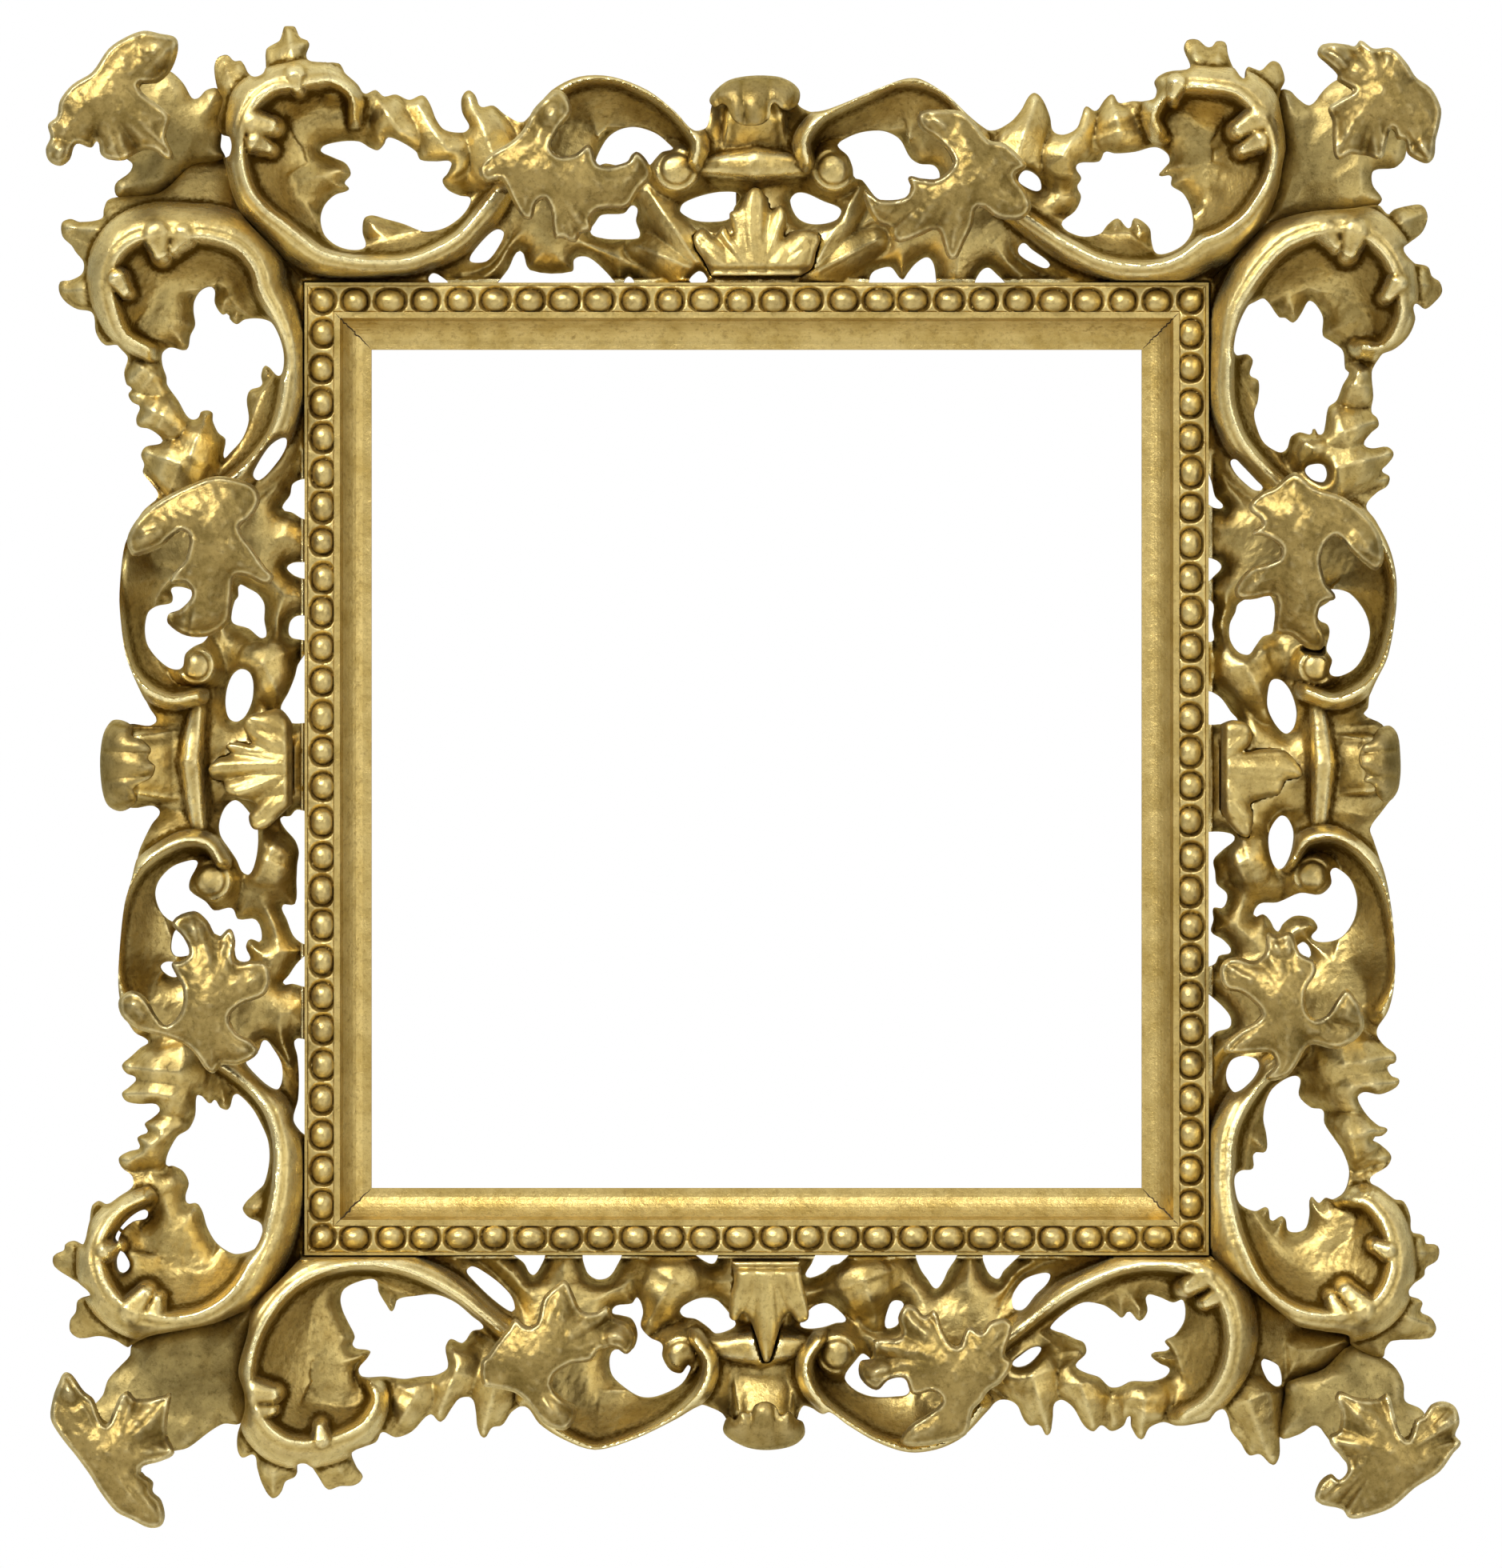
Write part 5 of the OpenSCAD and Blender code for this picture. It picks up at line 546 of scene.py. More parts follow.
# Ribs of the acanthus tufts: start and end, each with its height and radius
ribs_px = {
    "top": [[[372, 90, 105, 22], [360, 38, 60, 8]], [[420, 100, 100, 14], [428, 84, 60, 8]], [[300, 140, 105, 18],
        [282, 80, 60, 8]], [[500, 165, 80, 20], [470, 120, 55, 9]], [[560, 190, 85, 20], [524, 132, 55, 9]],
        [[620, 200, 90, 22], [588, 122, 55, 9]], [[872, 328, 86, 16], [812, 240, 66, 9]], [[1020, 328, 86, 16],
        [1075, 235, 66, 9]], [[868, 338, 76, 16], [800, 308, 60, 9]], [[1024, 338, 76, 16], [1094, 300, 60, 9]],
        [[1270, 200, 90, 22], [1294, 126, 55, 9]], [[1330, 195, 85, 18], [1356, 140, 55, 8]], [[1400, 165, 80, 20],
        [1391, 126, 55, 9]], [[1490, 95, 105, 20], [1494, 58, 60, 9]], [[1520, 95, 105, 16], [1524, 60, 60, 8]],
        [[1575, 130, 100, 18], [1590, 88, 60, 9]]],
    "right": [[[1735, 285, 100, 20], [1775, 268, 60, 9]], [[1765, 355, 100, 18], [1792, 358, 60, 8]],
        [[1695, 480, 80, 20], [1700, 450, 55, 9]], [[1680, 540, 85, 22], [1716, 528, 55, 9]], [[1670, 585, 90, 24],
        [1732, 568, 55, 9]], [[1640, 560, 95, 16], [1622, 545, 60, 7]], [[1555, 830, 90, 22], [1585, 885, 60, 10]],
        [[1560, 1075, 90, 22], [1532, 1085, 60, 10]], [[1680, 1330, 90, 24], [1738, 1322, 55, 9]],
        [[1690, 1360, 90, 22], [1742, 1352, 55, 9]], [[1690, 1420, 80, 22], [1728, 1412, 55, 9]],
        [[1760, 1565, 100, 18], [1790, 1566, 60, 9]], [[1740, 1640, 100, 20], [1785, 1655, 60, 9]],
        [[1745, 1525, 95, 14], [1752, 1508, 60, 7]]],
    "bottom": [[[345, 1820, 105, 22], [342, 1862, 60, 8]], [[415, 1815, 100, 18], [432, 1848, 60, 8]],
        [[315, 1790, 100, 16], [306, 1814, 60, 8]], [[520, 1745, 80, 20], [495, 1786, 55, 9]], [[570, 1715, 85, 20],
        [550, 1766, 55, 9]], [[620, 1730, 90, 20], [605, 1788, 55, 9]], [[840, 1600, 90, 24], [812, 1650, 60, 10]],
        [[1080, 1600, 90, 24], [1095, 1645, 60, 10]], [[1290, 1720, 90, 22], [1309, 1785, 55, 9]],
        [[1350, 1730, 85, 20], [1366, 1780, 55, 9]], [[1430, 1750, 80, 20], [1427, 1790, 55, 9]],
        [[1560, 1750, 100, 22], [1585, 1820, 60, 9]], [[1500, 1765, 90, 16], [1545, 1795, 60, 8]],
        [[1565, 1640, 60, 14], [1585, 1690, 60, 8]]],
    "left": [[[150, 290, 100, 20], [90, 284, 60, 9]], [[120, 360, 100, 18], [84, 364, 60, 8]], [[190, 470, 80, 22],
        [165, 448, 55, 9]], [[205, 520, 85, 22], [175, 505, 55, 9]], [[225, 580, 90, 24], [190, 568, 55, 9]],
        [[240, 570, 95, 16], [258, 522, 60, 7]], [[330, 830, 90, 22], [355, 880, 60, 10]], [[335, 1075, 90, 22],
        [350, 1040, 60, 10]], [[225, 1340, 90, 24], [165, 1335, 55, 9]], [[215, 1370, 90, 22], [162, 1366, 55, 9]],
        [[205, 1420, 80, 22], [165, 1450, 55, 9]], [[130, 1580, 100, 18], [80, 1572, 60, 9]], [[150, 1650, 100, 20],
        [105, 1655, 60, 9]], [[135, 1520, 95, 14], [122, 1508, 60, 7]]]}
# Carved leaves: name, the board or block that each lies on, hub with its height, and outline
leaves_px = [
    ["top_left_leaf", "top", [688, 212, 184], [[655, 165], [640, 180], [615, 195], [600, 214], [608, 230],
        [628, 228], [640, 250], [655, 275], [666, 276], [672, 258], [682, 252], [690, 268], [694, 300], [704, 300],
        [720, 305], [728, 294], [740, 290], [740, 274], [752, 264], [784, 262], [800, 240], [815, 222], [810, 204],
        [796, 192], [786, 204], [766, 210], [748, 208], [738, 184], [720, 196], [700, 198], [690, 186], [700, 165],
        [716, 144], [711, 124], [698, 115], [684, 124], [668, 140]]],
    ["top_right_leaf", "top", [1206, 222, 184], [[1150, 142], [1170, 140], [1200, 142], [1218, 156], [1235, 178],
        [1255, 182], [1275, 200], [1282, 211], [1268, 222], [1280, 240], [1288, 262], [1275, 277], [1245, 275],
        [1222, 262], [1215, 285], [1205, 305], [1195, 325], [1185, 325], [1177, 305], [1170, 290], [1150, 297],
        [1125, 305], [1115, 300], [1112, 288], [1095, 280], [1082, 258], [1080, 240], [1090, 245], [1100, 252],
        [1130, 250], [1138, 238], [1135, 224], [1150, 226], [1172, 226], [1190, 208], [1184, 192], [1168, 176],
        [1152, 166], [1145, 152]]],
    ["left_upper_leaf", "left", [262, 660, 184], [[270, 597], [300, 600], [322, 610], [328, 628], [315, 650],
        [303, 660], [318, 685], [335, 710], [345, 722], [335, 732], [312, 722], [297, 722], [293, 745], [288, 778],
        [265, 795], [235, 795], [212, 780], [213, 768], [228, 762], [243, 745], [235, 730], [215, 728], [235, 700],
        [240, 672], [228, 665], [205, 685], [180, 695], [168, 695], [162, 675], [175, 650], [195, 632], [230, 612]]],
    ["left_lower_leaf", "left", [262, 1250, 184], [[218, 1152], [245, 1138], [262, 1150], [275, 1170], [290, 1160],
        [297, 1175], [297, 1200], [318, 1200], [336, 1203], [341, 1225], [333, 1243], [305, 1255], [290, 1270],
        [300, 1290], [318, 1300], [325, 1315], [300, 1330], [280, 1330], [270, 1340], [260, 1335], [250, 1320],
        [236, 1306], [210, 1295], [175, 1285], [155, 1268], [152, 1248], [168, 1237], [185, 1245], [200, 1270],
        [212, 1280], [230, 1262], [232, 1235], [222, 1215], [218, 1203], [230, 1200], [240, 1190], [232, 1170]]],
    ["right_upper_leaf", "right", [1628, 660, 184], [[1605, 597], [1618, 592], [1640, 610], [1675, 622], [1705, 645],
        [1722, 670], [1727, 700], [1718, 714], [1702, 705], [1685, 690], [1668, 672], [1655, 680], [1648, 700],
        [1655, 730], [1667, 748], [1650, 755], [1645, 775], [1655, 800], [1650, 812], [1632, 810], [1612, 795],
        [1592, 790], [1592, 748], [1562, 750], [1545, 748], [1542, 735], [1560, 712], [1595, 700], [1598, 685],
        [1578, 672], [1562, 668], [1575, 655], [1558, 636], [1572, 618], [1590, 610]]],
    ["right_lower_leaf", "right", [1606, 1250, 184], [[1528, 1200], [1545, 1195], [1565, 1200], [1578, 1190],
        [1582, 1165], [1592, 1168], [1612, 1165], [1622, 1190], [1640, 1200], [1642, 1215], [1630, 1235],
        [1630, 1260], [1640, 1272], [1655, 1268], [1668, 1248], [1680, 1235], [1690, 1245], [1700, 1262],
        [1702, 1285], [1690, 1300], [1665, 1310], [1635, 1305], [1618, 1330], [1605, 1345], [1580, 1347],
        [1592, 1330], [1585, 1315], [1560, 1315], [1530, 1315], [1528, 1305], [1545, 1288], [1562, 1278],
        [1574, 1266], [1562, 1250], [1548, 1240], [1530, 1235], [1522, 1215]]],
    ["bottom_left_leaf", "bottom", [672, 1688, 184], [[645, 1645], [660, 1655], [672, 1650], [680, 1620],
        [695, 1605], [708, 1598], [718, 1615], [728, 1635], [745, 1638], [760, 1630], [768, 1645], [785, 1652],
        [795, 1672], [785, 1690], [770, 1682], [750, 1685], [740, 1698], [715, 1702], [695, 1715], [692, 1730],
        [705, 1745], [722, 1757], [718, 1775], [705, 1785], [680, 1775], [660, 1750], [645, 1738], [620, 1732],
        [605, 1728], [603, 1700], [612, 1690], [622, 1675], [638, 1655]]],
    ["bottom_right_leaf", "bottom", [1192, 1706, 184], [[1122, 1645], [1132, 1628], [1145, 1632], [1155, 1642],
        [1168, 1635], [1178, 1660], [1195, 1680], [1205, 1660], [1212, 1655], [1225, 1662], [1235, 1650],
        [1255, 1645], [1265, 1655], [1255, 1690], [1265, 1700], [1250, 1725], [1235, 1735], [1226, 1748],
        [1215, 1760], [1207, 1790], [1180, 1800], [1140, 1805], [1125, 1800], [1135, 1780], [1162, 1762],
        [1176, 1748], [1165, 1736], [1140, 1740], [1130, 1720], [1110, 1722], [1095, 1735], [1075, 1720],
        [1075, 1700], [1090, 1695], [1092, 1672], [1125, 1668]]],
    ["top_left_corner_leaf", "block", [140, 122, 214], [[62, 190], [66, 205], [80, 211], [92, 203], [100, 184],
        [118, 188], [126, 180], [130, 196], [140, 203], [160, 204], [180, 192], [196, 192], [212, 203], [221, 200],
        [212, 175], [217, 150], [206, 138], [178, 112], [200, 108], [216, 94], [226, 70], [224, 52], [205, 47],
        [184, 43], [160, 52], [140, 66], [120, 95], [96, 110], [80, 130], [76, 150], [65, 160], [68, 176]]],
    ["top_right_corner_leaf", "block", [1722, 124, 214], [[1643, 72], [1650, 60], [1680, 60], [1690, 62], [1697, 55],
        [1712, 65], [1735, 65], [1755, 85], [1765, 100], [1785, 115], [1797, 140], [1795, 160], [1790, 180],
        [1788, 200], [1780, 208], [1765, 203], [1755, 195], [1752, 180], [1742, 178], [1736, 165], [1730, 180],
        [1722, 203], [1705, 198], [1685, 197], [1667, 203], [1662, 180], [1662, 155], [1656, 140], [1665, 132],
        [1688, 118], [1680, 112], [1668, 105], [1668, 98], [1655, 85]]],
    ["bottom_right_corner_leaf", "block", [1735, 1812, 214], [[1642, 1872], [1645, 1850], [1660, 1838], [1670, 1845],
        [1680, 1835], [1678, 1822], [1660, 1802], [1658, 1790], [1670, 1783], [1672, 1760], [1665, 1745],
        [1670, 1735], [1690, 1742], [1718, 1745], [1730, 1738], [1738, 1760], [1745, 1785], [1756, 1795],
        [1765, 1770], [1775, 1765], [1785, 1752], [1800, 1748], [1815, 1755], [1820, 1775], [1815, 1790],
        [1822, 1800], [1812, 1812], [1795, 1835], [1765, 1855], [1735, 1880], [1700, 1892], [1683, 1893],
        [1675, 1883]]],
    ["bottom_left_corner_leaf", "block", [140, 1808, 214], [[85, 1712], [95, 1715], [110, 1735], [122, 1745],
        [130, 1768], [138, 1776], [146, 1760], [155, 1740], [165, 1735], [175, 1745], [210, 1740], [218, 1737],
        [215, 1760], [213, 1790], [222, 1812], [205, 1822], [180, 1832], [195, 1848], [195, 1860], [205, 1870],
        [210, 1890], [205, 1903], [190, 1905], [170, 1895], [150, 1885], [130, 1860], [118, 1840], [100, 1815],
        [80, 1790], [68, 1768], [72, 1740], [78, 1725]]]]
# Fan-shaped palmettes against the moulding: the point their flutes spread from, with its height, and outline
palmettes_px = {
    "top": [[946, 352, 110], [[945, 235], [958, 246], [964, 264], [976, 258], [984, 274], [980, 298], [990, 290],
        [1010, 288], [1025, 296], [1020, 315], [1015, 335], [1000, 345], [890, 345], [880, 325], [870, 310],
        [868, 295], [880, 285], [893, 295], [905, 283], [916, 298], [912, 268], [925, 260], [934, 242]]],
    "bottom": [[957, 1570, 110], [[915, 1576], [1000, 1576], [1003, 1600], [1010, 1630], [1010, 1648], [998, 1652],
        [985, 1640], [972, 1668], [962, 1700], [955, 1700], [945, 1668], [932, 1640], [920, 1650], [912, 1645],
        [913, 1620], [918, 1600]]],
    "left": [[378, 955, 110], [[366, 905], [366, 1005], [350, 1020], [335, 1034], [318, 1036], [312, 1020],
        [320, 1005], [300, 998], [284, 990], [280, 976], [268, 974], [262, 960], [274, 948], [290, 942], [284, 932],
        [300, 928], [316, 930], [306, 912], [310, 896], [330, 890], [350, 886], [360, 895]]],
    "right": [[1514, 960, 110], [[1526, 905], [1540, 900], [1558, 905], [1564, 918], [1560, 932], [1552, 940],
        [1580, 936], [1605, 938], [1622, 956], [1626, 970], [1606, 975], [1598, 992], [1578, 998], [1562, 1004],
        [1566, 1020], [1560, 1045], [1550, 1044], [1536, 1030], [1526, 1012]]]}
# Leaf ends folded over the crests: root and tip, each with its height and radius
folds_px = {
    "top": [[[320, 158, 176, 20], [340, 160, 166, 13]], [[322, 180, 176, 16], [338, 188, 160, 9]],
        [[372, 100, 170, 16], [374, 112, 164, 10]], [[1570, 152, 176, 20], [1548, 164, 166, 13]],
        [[1572, 178, 176, 16], [1552, 190, 160, 9]], [[1470, 108, 168, 14], [1464, 122, 160, 9]]],
    "right": [[[1690, 292, 178, 22], [1684, 316, 166, 13]], [[1656, 290, 176, 18], [1668, 308, 164, 10]],
        [[1744, 356, 168, 14], [1732, 372, 156, 9]], [[1700, 1634, 176, 20], [1680, 1612, 166, 13]],
        [[1672, 1640, 174, 16], [1662, 1620, 162, 9]], [[1732, 1562, 160, 14], [1718, 1556, 152, 9]]],
    "bottom": [[[320, 1738, 176, 20], [342, 1740, 166, 13]], [[326, 1762, 174, 14], [342, 1760, 162, 9]],
        [[404, 1796, 168, 14], [402, 1782, 160, 9]], [[1504, 1592, 172, 18], [1484, 1606, 162, 12]],
        [[1522, 1616, 172, 14], [1506, 1626, 160, 9]]],
    "left": [[[200, 296, 178, 22], [204, 318, 166, 13]], [[232, 296, 176, 18], [220, 312, 164, 10]],
        [[150, 350, 168, 14], [160, 366, 156, 9]], [[168, 1636, 176, 20], [184, 1616, 166, 13]],
        [[196, 1640, 174, 16], [200, 1622, 162, 9]], [[135, 1562, 160, 14], [148, 1556, 152, 9]]]}
# Bands with a raised middle between each two volutes, like the ribs
bands_px = {
    "top": [[[946, 206, 98, 19], [880, 208, 84, 11]], [[946, 206, 98, 19], [1010, 208, 84, 11]]],
    "right": [[[1654, 955, 98, 13], [1646, 880, 84, 9]], [[1654, 955, 98, 13], [1648, 1036, 84, 9]]],
    "bottom": [[[950, 1684, 98, 19], [882, 1682, 84, 11]], [[950, 1684, 98, 19], [1014, 1682, 84, 11]]],
    "left": [[[240, 952, 98, 13], [248, 880, 84, 9]], [[240, 952, 98, 13], [250, 1040, 84, 9]]]}
# Necks that rise from the bands between the volutes to the shells, like the ribs
necks_px = {
    "top": [[944, 150, 96, 40], [944, 190, 66, 48]],
    "bottom": [[956, 1762, 96, 40], [956, 1718, 66, 46]],
    "left": [[176, 956, 92, 44], [216, 956, 66, 50]],
    "right": [[1704, 956, 92, 40], [1672, 956, 66, 44]]}


def at(pixels):
    """Places on the drawing, in pixels of the photograph, as mm from the middle of the moulding."""
    away = np.asarray(pixels, float).reshape(-1, 2) - drawing_centre
    half_mm = np.array([moulding_w, moulding_h]) / 2
    inside = np.minimum(np.abs(away), drawing_half) * half_mm / drawing_half
    beyond = np.maximum(np.abs(away) - drawing_half, 0) * carving_w / reach_px
    return np.sign(away) * (inside + beyond) * [1, -1]


def up(value):
    return value * carving_h / relief_px


def wide(value):
    return value * carving_w / reach_px


def distance_from(points, x, y):
    return np.linalg.norm(points - at([(x, y)])[0], axis=1)


def loops_at_back(node, drilled=12.0):
    """The outline and the pierced holes of a CAD board, read where it lies flat at the back."""
    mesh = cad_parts[node].data
    spots = np.zeros(len(mesh.vertices) * 3, np.float32)
    mesh.vertices.foreach_get("co", spots)
    spots = spots.reshape(-1, 3) / MM
    key = {}
    number = [key.setdefault(tuple(v), len(key)) for v in np.round(spots * 100).astype(int).tolist()]
    where = {n: s for n, s in zip(number, spots[:, [0, 2]])}
    once = set()
    for face in mesh.polygons:
        if face.normal.y > 0.99 and all(abs(spots[v][1]) < 0.02 for v in face.vertices):
            ring = [number[v] for v in face.vertices]
            for a, b in zip(ring, ring[1:] + ring[:1]):
                if (b, a) in once:
                    once.remove((b, a))
                else:
                    once.add((a, b))
    loops = []
    for ring in rim_rings(np.array(sorted(once))):
        loop = np.array([where[k] for k in ring], float) - [0, centre_z]
        # Drilled holes for the hanger's screws near the middle are left out
        span = loop.max(0) - loop.min(0)
        if max(span) > drilled or (abs(loop[:, 0].mean()) > 3 and min(span) > 1.5):
            loops.append(rounded(loop))
    return loops


def smooth_max(a, b, soft):
    return (a + b + np.sqrt((a - b) ** 2 + soft * soft)) / 2


def crest_line(stations):
    """Points 1 mm apart along a scroll's crest: place, height, and width outwards and inwards, all in mm."""
    stations = np.asarray(stations, float)
    rows = np.column_stack([at(stations[:, :2]), up(stations[:, 2]), wide(stations[:, 3:]) * [scroll_swell, 1]])
    rows = np.vstack([2 * rows[0] - rows[1], rows, 2 * rows[-1] - rows[-2]])
    found = []
    for k in range(1, len(rows) - 2):
        p0, p1, p2, p3 = rows[k - 1:k + 3]
        steps = max(2, int(np.hypot(*(p2 - p1)[:2])))
        for t in np.arange(steps) / steps:
            found.append(0.5 * (2 * p1 + (p2 - p0) * t + (2 * p0 - 5 * p1 + 4 * p2 - p3) * t * t
                                + (3 * p1 - p0 - 3 * p2 + p3) * t ** 3))
    return np.array(found + [rows[-2]])


def scroll_height(points, side_of_travel, stations):
    """A rounded band outside the crest, a thin lip on it, and the smooth hollow inside."""
    line = crest_line(stations)
    ahead = np.gradient(line[:, :2], axis=0)
    spacing = np.linalg.norm(ahead, axis=1)
    ahead /= spacing[:, None]
    outward = np.column_stack([-ahead[:, 1], ahead[:, 0]]) * side_of_travel
    reach = line[:, 3:5].max() + scroll_margin
    near = np.all((points > line[:, :2].min(0) - reach) & (points < line[:, :2].max(0) + reach), axis=1)
    spots = points[near]
    best, which = np.full(len(spots), np.inf), np.zeros(len(spots), int)
    for k, (x, y) in enumerate(line[:, :2]):
        gap = (spots[:, 0] - x) ** 2 + (spots[:, 1] - y) ** 2
        closer = gap < best
        best[closer], which[closer] = gap[closer], k
    run = np.sum((spots - line[which, :2]) * ahead[which], axis=1)
    exact = np.clip(which + run / spacing[which], 0, len(line) - 1)
    low = np.minimum(exact.astype(int), len(line) - 2)
    share = (exact - low)[:, None]
    here = line[low] * (1 - share) + line[low + 1] * share
    off = spots - here[:, :2]
    distance = np.linalg.norm(off, axis=1)
    # 1 on the outer side, 0 on the inner side, and between the two round the scroll's ends
    outer_share = 0.5 + 0.5 * np.clip(np.sum(off * outward[which], axis=1) / np.maximum(distance, 1e-6), -1, 1)
    crest, (out, inn) = here[:, 2], np.maximum(here[:, 3:5], scroll_least).T
    round_over = np.sqrt(1 - np.clip(distance / out, 0, 1) ** scroll_power)
    line_cut = line_deep * np.exp(-((distance - line_at) / line_w) ** 2)
    roll = (crest * (scroll_foot + (1 - scroll_foot) * round_over)
            - roll_fall * np.maximum(distance - out, 0) - line_cut)
    down = 1 - np.clip(distance / inn, 0, 1)
    lip = np.exp(-(distance / scroll_lip) ** 3)
    floor = np.minimum(trough_floor, crest * floor_share)
    trough = (floor + (crest - floor) * (hollow_share * down ** hollow_power + lip_share * lip)
              - trough_fall * np.maximum(distance - inn, 0))
    found = np.zeros(len(points))
    found[near] = roll * outer_share + trough * (1 - outer_share)
    return found


def along_rib(points, start, end):
    """Share of the way along a straight rib, distance from it, and its radius and height there, in mm."""
    a, b = at([start[:2]])[0], at([end[:2]])[0]
    way = b - a
    share = np.clip(np.sum((points - a) * way, axis=1) / np.dot(way, way), 0, 1)
    distance = np.linalg.norm(points - (a + share[:, None] * way), axis=1)
    return share, distance, wide(start[3] + (end[3] - start[3]) * share), up(start[2] + (end[2] - start[2]) * share)


def tuft_height(points, depth, surface, ribs):
    """Acanthus tufts: rounded lobes side by side, each falling to a crease between it and the next."""
    total, weighed, strongest = np.zeros((3, len(points)))
    nearest = np.full(len(points), np.inf)
    for start, end in ribs:
        share, distance, radius, top = along_rib(points, start, end)
        top = top * tuft_top + tuft_arch * np.sin(math.pi * share) ** 2
        weight = np.exp(-(distance / (radius * 1.5 + 2.2)) ** 2)
        total += weight
        weighed += weight * top
        strongest = np.maximum(strongest, weight)
        nearest = np.minimum(nearest, distance / (radius * 0.8 + 1.6))
    sheet = weighed / np.maximum(total, 1e-9)
    lobe = -tuft_crease * np.clip(nearest, 0, 1.5) ** tuft_power + tuft_vein * np.exp(-(nearest / tuft_vein_w) ** 2)
    rim = -tuft_rim * np.exp(-depth / tuft_rim_w)
    blend = np.clip((strongest - tuft_from) / tuft_over, 0, 1)
    blend = blend * blend * (3 - 2 * blend)
    return surface * (1 - blend) + np.maximum(sheet + lobe + rim, surface * tuft_least) * blend


def lobe_height(points, start, end, slope):
    """A rounded lobe, highest at its root: a leaf end folded over a crest, or a band between two volutes."""
    _, distance, radius, top = along_rib(points, start, end)
    radius = radius * lobe_swell
    round_over = np.sqrt(np.clip(1 - (distance / radius) ** 3, 0, 1))
    return top * (lobe_foot + (1 - lobe_foot) * round_over) - slope * np.maximum(distance - radius, 0)


def neck_height(points, start, end):
    """The smooth hollowed neck under a shell, higher at its two edges than in the middle."""
    _, distance, radius, top = along_rib(points, start, end)
    across = np.clip(distance / radius, 0, 1)
    edge = neck_edge * np.exp(-((across - 0.86) / 0.10) ** 2)
    return top * (0.86 - 0.40 * across ** 4) + edge - side_slope * np.maximum(distance - radius, 0)


def eye_height(points, x, y, r):
    """A round button with a line cut round it, at the inner end of a small scroll."""
    away = distance_from(points, x, y) / wide(r * lobe_swell)
    ball = board_t + wide(r) * (1.15 + 0.85 * np.sqrt(np.clip(1 - away ** 2, 0, 1)))
    return ball - np.exp(-((away - 0.72) / 0.09) ** 2) - side_slope * wide(r) * np.maximum(away - 1, 0)


def dome_height(points, hub, room=0.0):
    """The dome that a carved leaf is cut from, about its hub."""
    away = distance_from(points, *hub[:2])
    return up(hub[2]) - leaf_dome_r + np.sqrt(np.clip((leaf_dome_r - room) ** 2 - away ** 2, 0, None))


def outside(points, outline):
    return -to_outline(points, [at(outline)])[0]


def board_height(side):
    # Every form on the board, and how softly it runs into the rest
    forms = [(neck_height, necks_px[side], 0.9)]
    forms += [(lobe_height, (start, end, side_slope), 0.9) for start, end in bands_px[side]]
    forms += [(scroll_height, scroll, 0.8) for scroll in scrolls_px[side]]
    forms += [(eye_height, eye, 0.5) for eye in eyes_px[side]]
    forms += [(lobe_height, (start, end, fold_slope), 0.7) for start, end in folds_px[side]]

    def height(points, depth):
        # The rim is rounded, but not where the board meets the moulding
        beyond = np.maximum(np.abs(points[:, 0]) - moulding_w / 2, np.abs(points[:, 1]) - moulding_h / 2)
        depth = depth + seam_depth * np.clip(seam_w - beyond, 0, 1)
        surface = board_edge_t + board_rise * (1 - np.exp(-depth / board_fall)) + tool_marks(points, 0.16, 3, 7, 18)
        surface = tuft_height(points, depth, surface, ribs_px[side])
        for form, sizes, soft in forms:
            surface = smooth_max(surface, form(points, *sizes), soft)
        surface = surface - np.clip((surface - board_t) / high_from, 0, 1) * high_rim * np.exp(-depth / high_rim_w)
        # Room for what lies on the board
        for _, on, hub, outline in leaves_px:
            if on == side:
                clear = np.maximum(outside(points, outline) - leaf_gap, 0)
                surface = np.minimum(surface, dome_height(points, hub, leaf_room) + leaf_clear * clear)
        clear = np.maximum(outside(points, palmettes_px[side][1]) - palmette_gap, 0)
        surface = np.minimum(surface, board_t + palmette_clear * clear)
        surface = np.minimum(surface, board_t + moulding_clear * np.maximum(beyond - moulding_gap, 0))
        surface = surface + tool_marks(points, 0.10, 4) + tool_marks(points, 0.05, 14, 2, 4)
        return np.clip(surface, board_least, carving_h)
    return height


def bare_lime_wood(name, dark=wood_dark, pale=wood_pale):
    """Sawn wood gone brown with age: dull, with grain lines 1.2 mm apart along X and wide paler bands."""
    m, place = new_material(name)
    stretched = {"Vector": add(m, "Mapping", {"Scale": (0.08, 1, 1)}, place)}
    grain = add(m, "TexNoise", {"Scale": per_metre(1.2), "Detail": 4, "Roughness": 0.6}, stretched)
    bands = add(m, "TexNoise", {"Scale": per_metre(18), "Detail": 2}, stretched)
    both = add(m, "Math", {"operation": "MULTIPLY_ADD", 1: 0.6}, {0: bands, 2: grain})
    colour = add(m, "ValToRGB", {"stops": ((0.55, dark), (1.0, pale))}, {"Fac": both})
    bump = add(m, "Bump", {"Strength": 0.4, "Distance": 0.0003}, {"Height": grain})
    wood = add(m, "BsdfPrincipled", {"Roughness": 0.78}, {"Base Color": colour, "Normal": bump})
    add(m, "OutputMaterial", links={"Surface": wood})
    return m


bare_wood = bare_lime_wood("bare_lime_wood")
for side in sides:
    carve(f"{side}_carved_board", f"{side}_board", loops_at_back(f"{side}_board"), board_cell, board_height(side),
          back=bare_wood)

